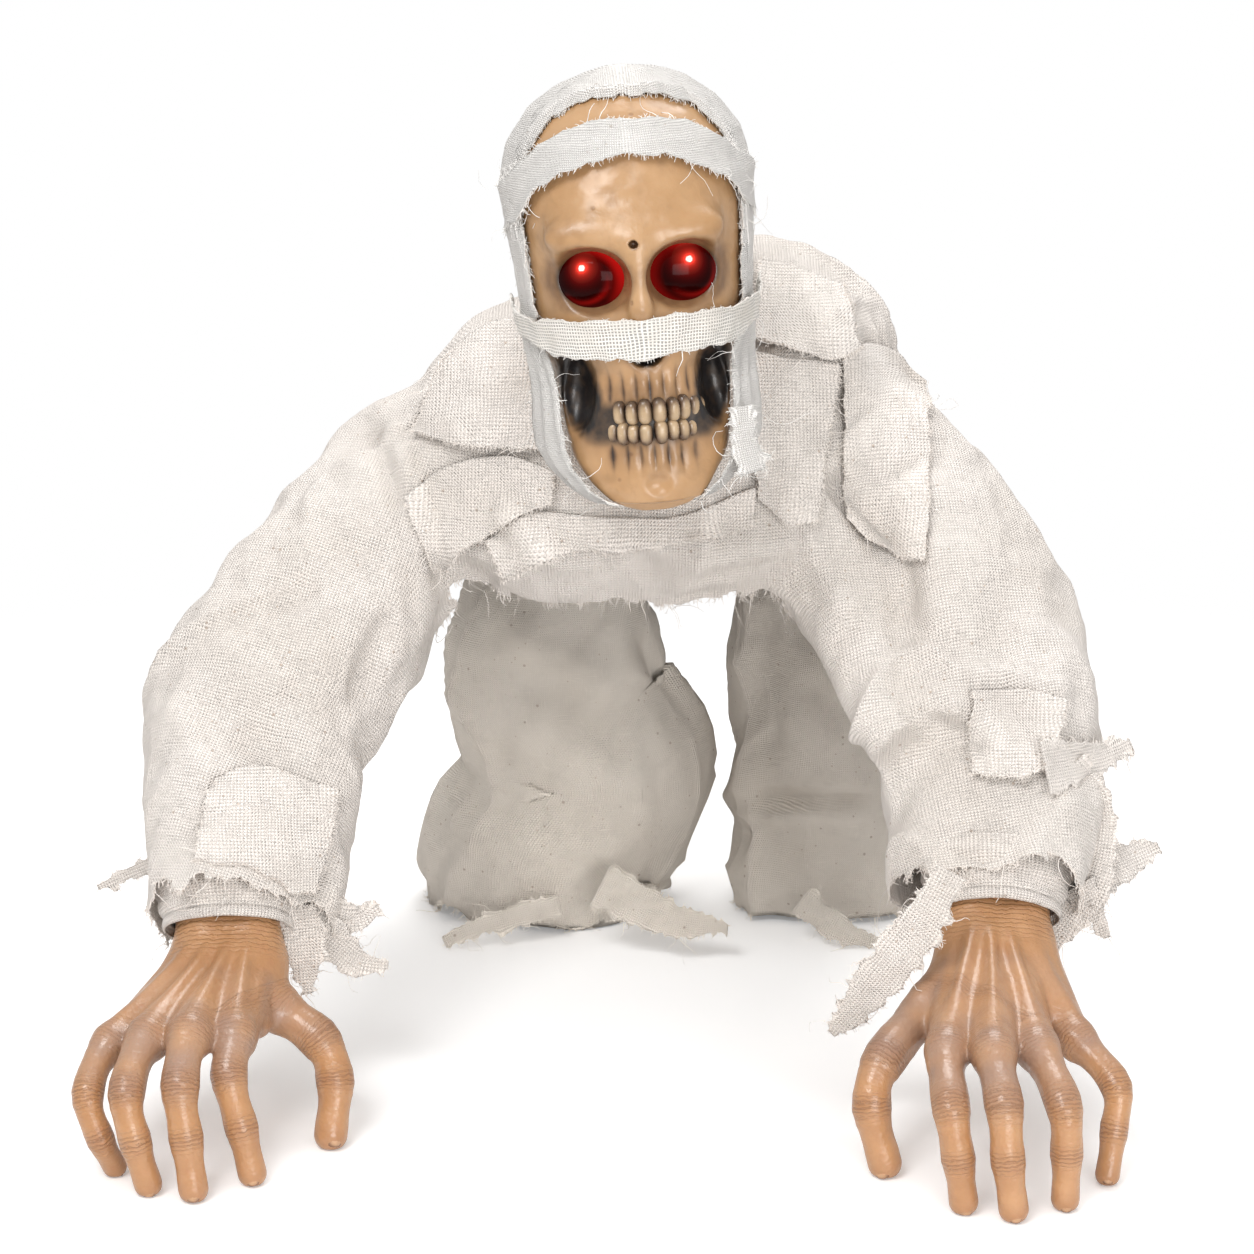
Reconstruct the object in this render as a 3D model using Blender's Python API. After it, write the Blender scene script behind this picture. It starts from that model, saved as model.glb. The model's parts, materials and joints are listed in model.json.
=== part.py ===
"""Crawling mummy figure on its hands and legs: frame, mechanism, skull, hands and clothes."""
import math

import bmesh
import bpy
import numpy as np
from mathutils import Matrix, Vector

# Stations of the body, seen from the front: minus X is the figure's right
FIGURE_SHIFT_X = 0.0046
FIGURE_SHIFT_Y = 0.015
SHOULDER_X = 0.008
SHOULDER_Y = 0.065
SHOULDER_Z = 0.366
SHOULDER_HALF = 0.141
HIP_X = 0.041
HIP_Y = 0.200
HIP_Z = 0.300
NECK_X = 0.005
NECK_Y = -0.015
HEAD_X = 0.0044
HEAD_Y = -0.055
CHIN_Z = 0.3645

# Arms and hands
RIGHT_WRIST_OUT = 0.104
LEFT_WRIST_OUT = 0.070
WRIST_FORWARD = 0.220
RIGHT_WRIST_Z = 0.094
LEFT_WRIST_Z = 0.104
HAND_LENGTH = 0.190
WRIST_HALF_WIDTH = 0.031
WRIST_HALF_DEPTH = 0.0215
KNUCKLE_HALF_DEPTH = 0.012
FINGER_RADIUS = 0.0094
FOREARM_STUB = 0.050
ARM_TUBE_RADIUS = 0.0095
ARM_SOCKET_DEPTH = 0.030
ARM_BEND = 0.026
TUBE_WALL = 0.0012

# Legs
RIGHT_LEG_OUT = 0.097
LEFT_LEG_OUT = 0.098
LEG_TUBE_RADIUS = 0.0110
LEG_BEND = 0.028
FOOT_CAP_RADIUS = 0.024
FOOT_CAP_HEIGHT = 0.024

# Hip housing with the battery bay
HIP_WIDTH = 0.100
HIP_DEPTH = 0.074
HIP_HEIGHT = 0.062
HOUSING_WALL = 0.0025
BATTERY_RADIUS = 0.0071
BATTERY_LENGTH = 0.050
BATTERY_COUNT = 3
DOOR_THICKNESS = 0.0025
DOOR_RAIL = 0.004
BOARD_THICKNESS = 0.0016
SPEAKER_RADIUS = 0.018
SPEAKER_DEPTH = 0.010
BUTTON_RADIUS = 0.0055
BUTTON_STANDOUT = 0.005
BUTTON_TRAVEL = 0.002
SWITCH_LENGTH = 0.007
SWITCH_HEIGHT = 0.0045
SWITCH_STANDOUT = 0.004
SWITCH_TRAVEL = 0.003

# Chest housing and the crawling drive
CHEST_WIDTH = 0.092
CHEST_FRONT = 0.092
CHEST_BACK = 0.068
CHEST_HEIGHT = 0.036
SPINE_RADIUS = 0.0125
PIVOT_PIN_RADIUS = 0.006
PIVOT_RUN = 0.0004
HUB_RADIUS = 0.016
HUB_HEIGHT = 0.020
YOKE_BEAM_DEPTH = 0.018
YOKE_BEAM_HEIGHT = 0.0125
SOCKET_WALL = 0.0035
HOOP_RADIUS = 0.003
HOOP_FOOT_OUT = 0.075
HOOP_SOCKET_DEPTH = 0.012
HOOP_SEAT = 0.0005
CRANK_DISTANCE = 0.045
CRANK_THROW = 0.009
CRANK_DISC_RADIUS = 0.0145
CRANK_DISC_HEIGHT = 0.004
CRANK_PIN_RADIUS = 0.0025
CRANK_SLOT_CLEARANCE = 0.0007
DRIVE_ARM_HALF = 0.0075
DRIVE_ARM_HEIGHT = 0.005
MOTOR_RADIUS = 0.016
MOTOR_SHAFT_RADIUS = 0.003

# Neck
NECK_MOTOR_RADIUS = 0.0165
NECK_MOTOR_HEIGHT = 0.050
NECK_PLUG_RADIUS = 0.0180
NECK_PLUG_LEVEL_SHARE = 0.343
NECK_SHAFT_RADIUS = 0.004

# Skull
HEAD_HEIGHT = 0.2395
HEAD_HALF_WIDTH = 0.072
HEAD_FRONT = 0.090
HEAD_BACK = 0.088
HEAD_ROLL = math.radians(4.6)
HEAD_YAW = math.radians(2.0)
SKULL_WALL = 0.004
EYE_SPREAD = 0.0285
EYE_LEVEL_SHARE = 0.548
FACE_SQUARE_SHARE = 0.86
EYE_HALF_WIDTH = 0.0205
EYE_HALF_HEIGHT = 0.0170
EYE_DEPTH = 0.019
LENS_RADIUS = 0.0120
LENS_WALL = 0.0012
LED_RADIUS = 0.0025
LED_LENGTH = 0.006
TOOTH_WIDTH = 0.0071
TOOTH_HEIGHT = 0.0145
TEETH_PER_ROW = 8

# Cloth
CLOTH_WALL = 0.0016
WRAP_WALL = 0.0014
WRAP_GAP = 0.0013
SLEEVE_HALF_WIDTH = 0.066
SLEEVE_HALF_DEPTH = 0.056
TROUSER_HALF_WIDTH = 0.076
TROUSER_HALF_DEPTH = 0.064
FOLD_DEPTH = 0.0055
TATTER_REACH = 0.042
TATTER_WIDTH_SHARE = 0.055
HOOP_LEVEL_SHARE = 0.72
HOOP_START_SHARE = 0.27
ARMHOLE_GAP = 0.0014

# Gaps and cutters
GAP = 0.0003
OVERRUN = 0.002
BEVEL = 0.0015

TAU = math.tau
SIGN = {"right": -1.0, "left": 1.0}

# Wrist shares: sideways, forward and height of each joint over the hand's length, from the wrist
HAND_SHARES = {
    "right": {
        "index": ((-0.07, 0.39, 0.40), (-0.06, 0.49, 0.31), (-0.10, 0.55, 0.17), (-0.13, 0.57)),
        "middle": ((0.06, 0.44, 0.42), (0.07, 0.60, 0.32), (0.05, 0.65, 0.18), (0.03, 0.68)),
        "ring": ((0.19, 0.41, 0.40), (0.23, 0.59, 0.30), (0.20, 0.65, 0.17), (0.17, 0.64)),
        "little": ((0.31, 0.36, 0.36), (0.36, 0.51, 0.26), (0.32, 0.56, 0.14), (0.29, 0.51)),
        "thumb": ((-0.16, 0.12, 0.38), (-0.30, 0.19, 0.30), (-0.35, 0.24, 0.19), (-0.34, 0.31)),
    },
    "left": {
        "index": ((-0.20, 0.49, 0.40), (-0.21, 0.72, 0.31), (-0.19, 0.77, 0.17), (-0.17, 0.76)),
        "middle": ((-0.07, 0.57, 0.42), (-0.06, 0.75, 0.33), (-0.05, 0.80, 0.18), (-0.03, 0.81)),
        "ring": ((0.07, 0.49, 0.40), (0.12, 0.70, 0.31), (0.13, 0.73, 0.17), (0.13, 0.74)),
        "little": ((0.21, 0.33, 0.36), (0.31, 0.47, 0.27), (0.30, 0.53, 0.15), (0.28, 0.57)),
        "thumb": ((-0.21, 0.18, 0.42), (-0.38, 0.40, 0.32), (-0.42, 0.48, 0.21), (-0.38, 0.51)),
    },
}
TIP_HEIGHT_SHARE = 0.82
FINGER_WIDTH_SHARES = {"index": 1.0, "middle": 1.02, "ring": 0.97, "little": 0.86, "thumb": 1.18}
FINGER_TAPER_SHARES = (0.86, 1.16, 1.0, 0.90, 0.80)
ELBOW_SHARES = {"right": (1.05, 0.42, 0.46), "left": (1.15, 0.42, 0.47)}
SLEEVE_PATH_SHARES = {
    "right": ((-0.36, 0.02, 0.00), (0.04, 0.09, 0.11), (0.52, 0.29, 0.36), (0.90, 0.47, 0.58),
              (0.95, 0.64, 0.75), (0.99, 0.90, 0.94)),
    "left": ((-0.50, 0.02, 0.00), (0.14, 0.09, 0.09), (0.80, 0.29, 0.30), (1.08, 0.47, 0.56),
             (1.10, 0.62, 0.74), (1.00, 0.90, 0.93)),
}
# Torn points of each cuff: angle round the hem in turns, then reach outwards and along
TATTER_SHARES = {
    "right": ((0.02, 1.0, -0.2), (0.44, 0.55, 0.75), (0.70, 0.10, 0.45)),
    "left": ((0.03, 0.9, -0.6), (0.55, 0.35, 1.0), (0.93, 1.0, 0.2)),
}
SLEEVE_WIDTH_SHARES = {
    "right": (0.74, 0.90, 1.00, 1.02, 0.98, 0.86),
    "left": (0.74, 0.88, 0.92, 0.98, 0.96, 0.84),
}
TROUSER_PATH_SHARES = {
    "right": ((-0.86, 1.00), (-0.95, 0.60), (-0.70, 0.38), (-0.98, 0.18), (-1.05, 0.0)),
    "left": ((0.90, 1.00), (0.98, 0.72), (1.04, 0.45), (1.02, 0.18), (1.02, 0.0)),
}
TROUSER_WIDTH_SHARES = {
    "right": (0.66, 0.94, 1.02, 1.16, 1.06),
    "left": (0.68, 0.84, 0.86, 0.84, 0.82),
}
# Rows of the shirt from hem to neck: height at front, side and back, half width at front and
# back, reach forward and back from the shoulders, then how far the back leans to the left
SHIRT_ROW_SHARES = (
    (0.743, 0.680, 0.660, 0.92, 1.38, 0.56, 1.00, 0.00),
    (0.860, 0.830, 0.800, 0.95, 1.32, 0.98, 1.00, 0.00),
    (1.000, 1.050, 0.980, 0.94, 1.04, 1.02, 0.93, 0.06),
    (1.075, 1.210, 1.170, 0.80, 0.84, 0.98, 0.72, 0.20),
    (1.095, 1.225, 1.310, 0.50, 0.60, 0.93, 0.32, 0.32),
    (1.100, 1.120, 1.170, 0.25, 0.25, 0.92, -0.19, 0.00),
)
SHIRT_HALF_SPAN = 0.150
SHIRT_FRONT_REACH = 0.120
SHIRT_BACK_REACH = 0.217
SHIRT_SQUARE_SHARE = 0.77
# Skull outline: height share, half width, front and back reach
SKULL_SHARES = (
    (0.015, 0.34, 0.93, -0.80), (0.05, 0.49, 0.97, -0.66), (0.10, 0.61, 0.985, -0.50),
    (0.14, 0.66, 0.985, -0.38), (0.20, 0.69, 1.00, -0.26), (0.26, 0.705, 0.985, -0.12),
    (0.29, 0.72, 0.965, 0.10), (0.32, 0.75, 0.95, 0.42), (0.37, 0.82, 0.94, 0.74),
    (0.43, 0.89, 0.935, 0.88), (0.50, 0.92, 0.93, 0.95), (0.58, 0.935, 0.945, 0.99),
    (0.66, 0.96, 0.925, 1.00), (0.76, 0.98, 0.86, 0.97), (0.85, 0.90, 0.74, 0.86),
    (0.92, 0.72, 0.57, 0.67), (0.97, 0.47, 0.37, 0.43), (0.993, 0.21, 0.17, 0.20),
)


def material(name, colour, roughness, metallic=0.0):
    """Principled material of one colour."""
    made = bpy.data.materials.new(name)
    made.use_nodes = True
    shader = made.node_tree.nodes["Principled BSDF"]
    shader.inputs["Base Color"].default_value = (*colour, 1.0)
    shader.inputs["Roughness"].default_value = roughness
    shader.inputs["Metallic"].default_value = metallic
    return made


def clear_scene():
    """Remove the objects that a new file holds."""
    for old in list(bpy.data.objects):
        bpy.data.objects.remove(old, do_unlink=True)


def figure_root():
    """Empty that carries the whole figure and centres its box on the origin."""
    root = bpy.data.objects.new("figure_root", None)
    root.location = (FIGURE_SHIFT_X, FIGURE_SHIFT_Y, 0.0)
    bpy.context.scene.collection.objects.link(root)
    return root


def add(name, mesh, finish=None, smooth=True):
    """Put a mesh in the scene under the figure's empty."""
    made = bpy.data.objects.new(name, mesh)
    bpy.context.scene.collection.objects.link(made)
    made.parent = ROOT
    if smooth:
        mesh.shade_smooth()
        mesh.set_sharp_from_angle(angle=math.radians(40))
    if finish is not None:
        mesh.materials.append(finish)
    return made


def mesh_from(name, points, faces):
    """Closed mesh with its faces turned outwards."""
    mesh = bpy.data.meshes.new(name)
    mesh.from_pydata([tuple(point) for point in points], [], faces)
    work = bmesh.new()
    work.from_mesh(mesh)
    bmesh.ops.recalc_face_normals(work, faces=work.faces)
    work.to_mesh(mesh)
    work.free()
    return mesh


def ring_faces(start_a, start_b, count, closed=True):
    """Quads between two rows of points that start at the given indices."""
    last = count if closed else count - 1
    return [(start_a + i, start_a + (i + 1) % count, start_b + (i + 1) % count, start_b + i)
            for i in range(last)]


def shell_mesh(name, outer, inner, closed=True, pole=None):
    """Thin body between two grids of rows; a pole pair closes the last row."""
    rows, count = len(outer), len(outer[0])
    points = [point for row in outer for point in row] + [point for row in inner for point in row]
    shift = rows * count
    faces = []
    for row in range(rows - 1):
        faces += ring_faces(row * count, (row + 1) * count, count, closed)
        faces += ring_faces(shift + (row + 1) * count, shift + row * count, count, closed)
    faces += ring_faces(shift, 0, count, closed)
    top = (rows - 1) * count
    if pole is None:
        faces += ring_faces(top, shift + top, count, closed)
    else:
        points += [pole[0], pole[1]]
        outer_pole, inner_pole = len(points) - 2, len(points) - 1
        for i in range(count):
            after = (i + 1) % count
            faces.append((top + i, top + after, outer_pole))
            faces.append((shift + top + after, shift + top + i, inner_pole))
    if not closed:
        for row in range(rows - 1):
            low, high = row * count, (row + 1) * count
            end = count - 1
            faces.append((low, high, shift + high, shift + low))
            faces.append((low + end, shift + low + end, shift + high + end, high + end))
    return mesh_from(name, points, faces)


def solid_mesh(name, rings):
    """Solid through the given rings, closed by a flat face at each end."""
    count = len(rings[0])
    points = [point for ring in rings for point in ring]
    faces = []
    for row in range(len(rings) - 1):
        faces += ring_faces(row * count, (row + 1) * count, count)
    faces.append(tuple(range(count))[::-1])
    top = (len(rings) - 1) * count
    faces.append(tuple(range(top, top + count)))
    return mesh_from(name, points, faces)


def smooth_path(points, count, dense=20):
    """Points at even steps along the smooth curve through the given points."""
    pts = [Vector(point) for point in points]
    pts = [pts[0] * 2 - pts[1]] + pts + [pts[-1] * 2 - pts[-2]]
    line = []
    for k in range(1, len(pts) - 2):
        before, a, b, after = pts[k - 1:k + 3]
        for step in range(dense):
            t = step / dense
            line.append(((a * 2) + (b - before) * t + (before * 2 - a * 5 + b * 4 - after) * t * t
                         + (a * 3 - before - b * 3 + after) * t ** 3) / 2)
    line.append(pts[-2])
    lengths = [0.0]
    for a, b in zip(line, line[1:]):
        lengths.append(lengths[-1] + (b - a).length)
    steps = np.linspace(0, lengths[-1], count)
    return [Vector([np.interp(step, lengths, [point[axis] for point in line])
                    for axis in range(3)]) for step in steps]


def directions(path):
    """Unit tangent of a path at each of its points."""
    made = []
    for i in range(len(path)):
        ahead, behind = path[min(i + 1, len(path) - 1)], path[max(i - 1, 0)]
        made.append((ahead - behind).normalized())
    return made


def ring_at(centre, tangent, side, half_side, half_other, count, push=None):
    """Ring of points square to a tangent; push adds a fold to the radius at an angle."""
    across = (side - tangent * side.dot(tangent)).normalized()
    other = tangent.cross(across)
    ring = []
    for i in range(count):
        angle = TAU * i / count
        extra = push(angle) if push else 0.0
        ring.append(centre + across * (half_side + extra) * math.cos(angle)
                    + other * (half_other + extra) * math.sin(angle))
    return ring


def bent_path(points, bend, steps=4):
    """Straight runs through the given points with a round bend at each corner."""
    pts = [Vector(point) for point in points]
    path = [pts[0]]
    for before, corner, after in zip(pts, pts[1:], pts[2:]):
        back, ahead = (before - corner).normalized(), (after - corner).normalized()
        half = back.angle(ahead) / 2
        trim = bend / math.tan(half)
        start, end = corner + back * trim, corner + ahead * trim
        centre = corner + (back + ahead).normalized() * bend / math.sin(half)
        for step in range(steps + 1):
            share = step / steps
            spoke = (start - centre).lerp(end - centre, share).normalized()
            path.append(centre + spoke * bend)
    return path + [pts[-1]]


def tube(name, path, radius, wall, finish, sides=9):
    """Open-ended round tube along a path."""
    tangents = directions(path)
    side = Vector((0.0, 1.0, 0.0) if abs(tangents[0].x) > 0.5 else (0.0, 0.0, 1.0))
    outer = [ring_at(p, t, side, radius, radius, sides) for p, t in zip(path, tangents)]
    inner = [ring_at(p, t, side, radius - wall, radius - wall, sides)
             for p, t in zip(path, tangents)]
    return add(name, shell_mesh(name, outer, inner), finish)


def rod(name, path, radius, finish, sides=8):
    """Solid round rod along a path, its rings carried along without a twist."""
    across = Vector((1.0, 0.0, 0.0))
    rings = []
    for point, tangent in zip(path, directions(path)):
        across = (across - tangent * across.dot(tangent)).normalized()
        rings.append(ring_at(point, tangent, across, radius, radius, sides))
    return add(name, solid_mesh(name, rings), finish)


def box(name, low, high, finish=None):
    """Box between two corners."""
    work = bmesh.new()
    bmesh.ops.create_cube(work, size=1.0)
    low, high = Vector(low), Vector(high)
    size = high - low
    bmesh.ops.scale(work, vec=size, verts=work.verts)
    bmesh.ops.translate(work, vec=(low + high) / 2, verts=work.verts)
    mesh = bpy.data.meshes.new(name)
    work.to_mesh(mesh)
    work.free()
    return add(name, mesh, finish, smooth=False)


def cylinder(name, base, top, radius, finish=None, sides=20, top_radius=None):
    """Round bar or cone between two points."""
    base, top = Vector(base), Vector(top)
    work = bmesh.new()
    bmesh.ops.create_cone(work, cap_ends=True, segments=sides, radius1=radius,
                          radius2=radius if top_radius is None else top_radius,
                          depth=(top - base).length)
    turn = (top - base).to_track_quat("Z", "Y").to_matrix().to_4x4()
    bmesh.ops.transform(work, matrix=Matrix.Translation((base + top) / 2) @ turn, verts=work.verts)
    mesh = bpy.data.meshes.new(name)
    work.to_mesh(mesh)
    work.free()
    return add(name, mesh, finish)


def combine(base, other, operation, solver="EXACT"):
    """Boolean with a hidden helper solid."""
    other.hide_render = True
    other.display_type = "WIRE"
    step = base.modifiers.new(other.name, "BOOLEAN")
    step.operation = operation
    step.solver = solver
    step.object = other
    return base


def soften(base, width=BEVEL, segments=1):
    """Round the edges of a moulded housing."""
    step = base.modifiers.new("soft_edges", "BEVEL")
    step.width = width
    step.segments = segments
    step.limit_method = "ANGLE"
    return base


# Body stations as points

def shoulder_point(side):
    """Mouth of the yoke's arm socket."""
    return Vector((SHOULDER_X + SIGN[side] * SHOULDER_HALF, SHOULDER_Y, SHOULDER_Z))


def wrist_point(side):
    """Middle of the wrist."""
    out, height = {"right": (RIGHT_WRIST_OUT, RIGHT_WRIST_Z),
                   "left": (LEFT_WRIST_OUT, LEFT_WRIST_Z)}[side]
    at = shoulder_point(side)
    return Vector((at.x + SIGN[side] * out, at.y - WRIST_FORWARD, height))


def arm_station(side, shares):
    """Point at the given shares of the way from shoulder to wrist."""
    start, end = shoulder_point(side), wrist_point(side)
    return Vector([start[axis] + (end[axis] - start[axis]) * shares[axis] for axis in range(3)])


def leg_x(side):
    """Sideways place of a leg at the floor."""
    return HIP_X + SIGN[side] * (RIGHT_LEG_OUT if side == "right" else LEFT_LEG_OUT)


def forearm_direction(side):
    """Way up the forearm from the wrist."""
    return (arm_station(side, ELBOW_SHARES[side]) - wrist_point(side)).normalized()


def hand_point(side, shares, radius=0.0):
    """Joint of a finger from its shares; a fingertip rests on the floor."""
    wrist = wrist_point(side)
    height = HAND_LENGTH * shares[2] if len(shares) == 3 else radius * TIP_HEIGHT_SHARE
    return Vector((wrist.x + SIGN[side] * HAND_LENGTH * shares[0],
                   wrist.y - HAND_LENGTH * shares[1], height))


# Legs and feet

def make_legs():
    """Leg tubes bent out of the hip housing, each in a rubber foot cap."""
    for side, sign in SIGN.items():
        foot = Vector((leg_x(side), HIP_Y, FOOT_CAP_HEIGHT / 3))
        wall_x = HIP_X + sign * HIP_WIDTH / 2
        socket = Vector((wall_x - sign * (ARM_SOCKET_DEPTH / 2), HIP_Y, HIP_Z))
        corner = Vector((foot.x, HIP_Y, HIP_Z))
        tube(side + "_leg_tube", bent_path([socket, corner, foot], LEG_BEND), LEG_TUBE_RADIUS,
             TUBE_WALL, STEEL)
        cap = cylinder(side + "_foot_cap", (foot.x, foot.y, 0.0), (foot.x, foot.y, FOOT_CAP_HEIGHT),
                       FOOT_CAP_RADIUS, RUBBER, top_radius=LEG_TUBE_RADIUS + SOCKET_WALL)
        bore = cylinder(side + "_foot_bore", (foot.x, foot.y, foot.z - GAP),
                        (foot.x, foot.y, FOOT_CAP_HEIGHT + OVERRUN), LEG_TUBE_RADIUS + GAP * 2)
        combine(cap, bore, "DIFFERENCE")


# Hip housing

def hip_box():
    """Corners of the hip housing."""
    half = Vector((HIP_WIDTH, HIP_DEPTH, HIP_HEIGHT)) / 2
    middle = Vector((HIP_X, HIP_Y, HIP_Z))
    return middle - half, middle + half


def make_hip_housing():
    """Moulded box over the legs with an open battery bay below and controls behind."""
    low, high = hip_box()
    wall = Vector((HOUSING_WALL,) * 3)
    shell = soften(box("hip_housing", low, high, DARK_PLASTIC), BEVEL)
    for side, sign in SIGN.items():
        x = HIP_X + sign * HIP_WIDTH / 2
        boss = cylinder(side + "_hip_boss", (x - sign * ARM_SOCKET_DEPTH / 2, HIP_Y, HIP_Z),
                        (x + sign * SOCKET_WALL * 2, HIP_Y, HIP_Z), LEG_TUBE_RADIUS + SOCKET_WALL)
        combine(shell, boss, "UNION")
    end = spine_ends()[1]
    front = cylinder("spine_boss", (end.x, low.y + OVERRUN, end.z),
                     (end.x, low.y - SOCKET_WALL * 2, end.z), SPINE_RADIUS + SOCKET_WALL)
    combine(shell, front, "UNION")
    rail_low = low.z - DOOR_THICKNESS - DOOR_RAIL
    for sign in (-1.0, 1.0):
        inner = HIP_X + sign * (HIP_WIDTH / 2 - DOOR_RAIL)
        outer = HIP_X + sign * HIP_WIDTH / 2
        rail = box("door_rail", (min(inner, outer), low.y, rail_low),
                   (max(inner, outer), high.y, low.z + OVERRUN))
        combine(shell, rail, "UNION")
        lip_in = HIP_X + sign * (HIP_WIDTH / 2 - DOOR_RAIL * 2)
        lip = box("door_lip", (min(lip_in, outer), low.y, rail_low),
                  (max(lip_in, outer), high.y, low.z - DOOR_THICKNESS - GAP * 2))
        combine(shell, lip, "UNION")
    bay_high = low.z + (HIP_HEIGHT / 2) - LEG_TUBE_RADIUS - SOCKET_WALL
    bay = box("battery_bay", (low.x + wall.x + DOOR_RAIL * 2, low.y + wall.y, low.z - OVERRUN),
              (high.x - wall.x - DOOR_RAIL * 2, high.y - wall.y, bay_high))
    combine(shell, bay, "DIFFERENCE")
    for side, sign in SIGN.items():
        x = HIP_X + sign * HIP_WIDTH / 2
        bore = cylinder(side + "_hip_bore",
                        (x - sign * (ARM_SOCKET_DEPTH / 2 + GAP), HIP_Y, HIP_Z),
                        (x + sign * (SOCKET_WALL * 2 + OVERRUN), HIP_Y, HIP_Z),
                        LEG_TUBE_RADIUS + GAP * 2)
        combine(shell, bore, "DIFFERENCE")
    bore = cylinder("spine_hip_bore", end, (end.x, low.y - SOCKET_WALL * 2 - OVERRUN, end.z),
                    SPINE_RADIUS + GAP * 2)
    combine(shell, bore, "DIFFERENCE")
    top_bay = box("sound_bay", (HIP_X - SPEAKER_RADIUS - OVERRUN, HIP_Y - HIP_DEPTH / 4,
                                HIP_Z + LEG_TUBE_RADIUS + SOCKET_WALL),
                  (HIP_X + SPEAKER_RADIUS + OVERRUN, high.y - wall.y, high.z + OVERRUN))
    combine(shell, top_bay, "DIFFERENCE")
    button_z, button_x, switch_x = control_places()
    hole = cylinder("button_hole", (button_x, high.y - wall.y * 2, button_z),
                    (button_x, high.y + OVERRUN, button_z), BUTTON_RADIUS + GAP)
    combine(shell, hole, "DIFFERENCE")
    well = cylinder("button_well", (button_x, high.y - BUTTON_TRAVEL * 3, button_z),
                    (button_x, high.y - BUTTON_TRAVEL, button_z), BUTTON_RADIUS + GAP)
    combine(shell, well, "DIFFERENCE")
    slot = box("switch_slot", (switch_x - SWITCH_LENGTH / 2 - SWITCH_TRAVEL - GAP,
                               high.y - wall.y, button_z - SWITCH_HEIGHT / 2 - GAP),
               (switch_x + SWITCH_LENGTH / 2 + SWITCH_TRAVEL + GAP, high.y + OVERRUN,
                button_z + SWITCH_HEIGHT / 2 + GAP))
    combine(shell, slot, "DIFFERENCE")


def control_places():
    """Height of the controls and their places across the back."""
    return HIP_Z + HIP_HEIGHT / 2 - BUTTON_RADIUS * 2, HIP_X - HIP_WIDTH * 0.34, HIP_X + HIP_WIDTH * 0.34


def make_hip_parts():
    """Cells, door, circuit board, speaker, button and switch of the hip housing."""
    low, high = hip_box()
    pitch = (BATTERY_RADIUS + GAP) * 2
    for i in range(BATTERY_COUNT):
        y = HIP_Y + (i - (BATTERY_COUNT - 1) / 2) * pitch
        z = low.z + BATTERY_RADIUS + GAP * 2
        ends = [(HIP_X + sign * BATTERY_LENGTH / 2, y, z) for sign in (-1.0, 1.0)]
        cell = cylinder("battery_%d" % (i + 1), ends[0], ends[1], BATTERY_RADIUS, METAL, sides=14)
        pole = cylinder("battery_pole", ends[1], (ends[1][0] + GAP * 4, y, z), BATTERY_RADIUS / 3, sides=8)
        combine(cell, pole, "UNION")
    door_half = HIP_WIDTH / 2 - DOOR_RAIL - GAP
    door = box("battery_door", (HIP_X - door_half, low.y, low.z - DOOR_THICKNESS - GAP),
               (HIP_X + door_half, high.y, low.z - GAP), DARK_PLASTIC)
    ridge_step = HIP_WIDTH / 20
    for i in range(3):
        x = HIP_X + (i - 1) * ridge_step
        ridge = box("door_ridge", (x - GAP * 3, high.y - HIP_DEPTH / 4, low.z - DOOR_THICKNESS * 1.6),
                    (x + GAP * 3, high.y - HIP_DEPTH / 8, low.z - DOOR_THICKNESS / 2))
        combine(door, ridge, "UNION")
    bay_high = HIP_Z - LEG_TUBE_RADIUS - SOCKET_WALL
    board_y = high.y - HOUSING_WALL - GAP - BOARD_THICKNESS
    box("circuit_board", (HIP_X - BATTERY_LENGTH / 2, board_y, low.z + GAP * 2),
        (HIP_X + BATTERY_LENGTH / 2, board_y + BOARD_THICKNESS, bay_high - GAP), BOARD)
    floor = HIP_Z + LEG_TUBE_RADIUS + SOCKET_WALL + GAP
    cone = cylinder("speaker", (HIP_X, HIP_Y + HIP_DEPTH / 9, floor),
                    (HIP_X, HIP_Y + HIP_DEPTH / 9, floor + SPEAKER_DEPTH), SPEAKER_RADIUS * 0.55,
                    DARK_PLASTIC, top_radius=SPEAKER_RADIUS)
    dish = cylinder("speaker_dish", (HIP_X, HIP_Y + HIP_DEPTH / 9, floor + SPEAKER_DEPTH / 3),
                    (HIP_X, HIP_Y + HIP_DEPTH / 9, floor + SPEAKER_DEPTH + GAP),
                    SPEAKER_RADIUS / 3, top_radius=SPEAKER_RADIUS * 0.86)
    combine(cone, dish, "DIFFERENCE")
    button_z, button_x, switch_x = control_places()
    cylinder("test_button", (button_x, high.y - BUTTON_TRAVEL, button_z),
             (button_x, high.y - BUTTON_TRAVEL + BUTTON_STANDOUT + BUTTON_TRAVEL, button_z),
             BUTTON_RADIUS, RED_PLASTIC)
    box("power_switch", (switch_x - SWITCH_LENGTH / 2, high.y - HOUSING_WALL + GAP,
                         button_z - SWITCH_HEIGHT / 2),
        (switch_x + SWITCH_LENGTH / 2, high.y + SWITCH_STANDOUT, button_z + SWITCH_HEIGHT / 2),
        DARK_PLASTIC)


# Chest housing and mechanism

def chest_levels():
    """Heights of the chest floor, its rim, the lid's top and the yoke's underside."""
    arm_low = SHOULDER_Z - DRIVE_ARM_HEIGHT / 2
    disc_low = arm_low - OVERRUN / 2 - CRANK_DISC_HEIGHT
    lid_top = disc_low - OVERRUN / 2
    rim = lid_top - HOUSING_WALL
    return rim - CHEST_HEIGHT, rim, lid_top, disc_low


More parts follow.
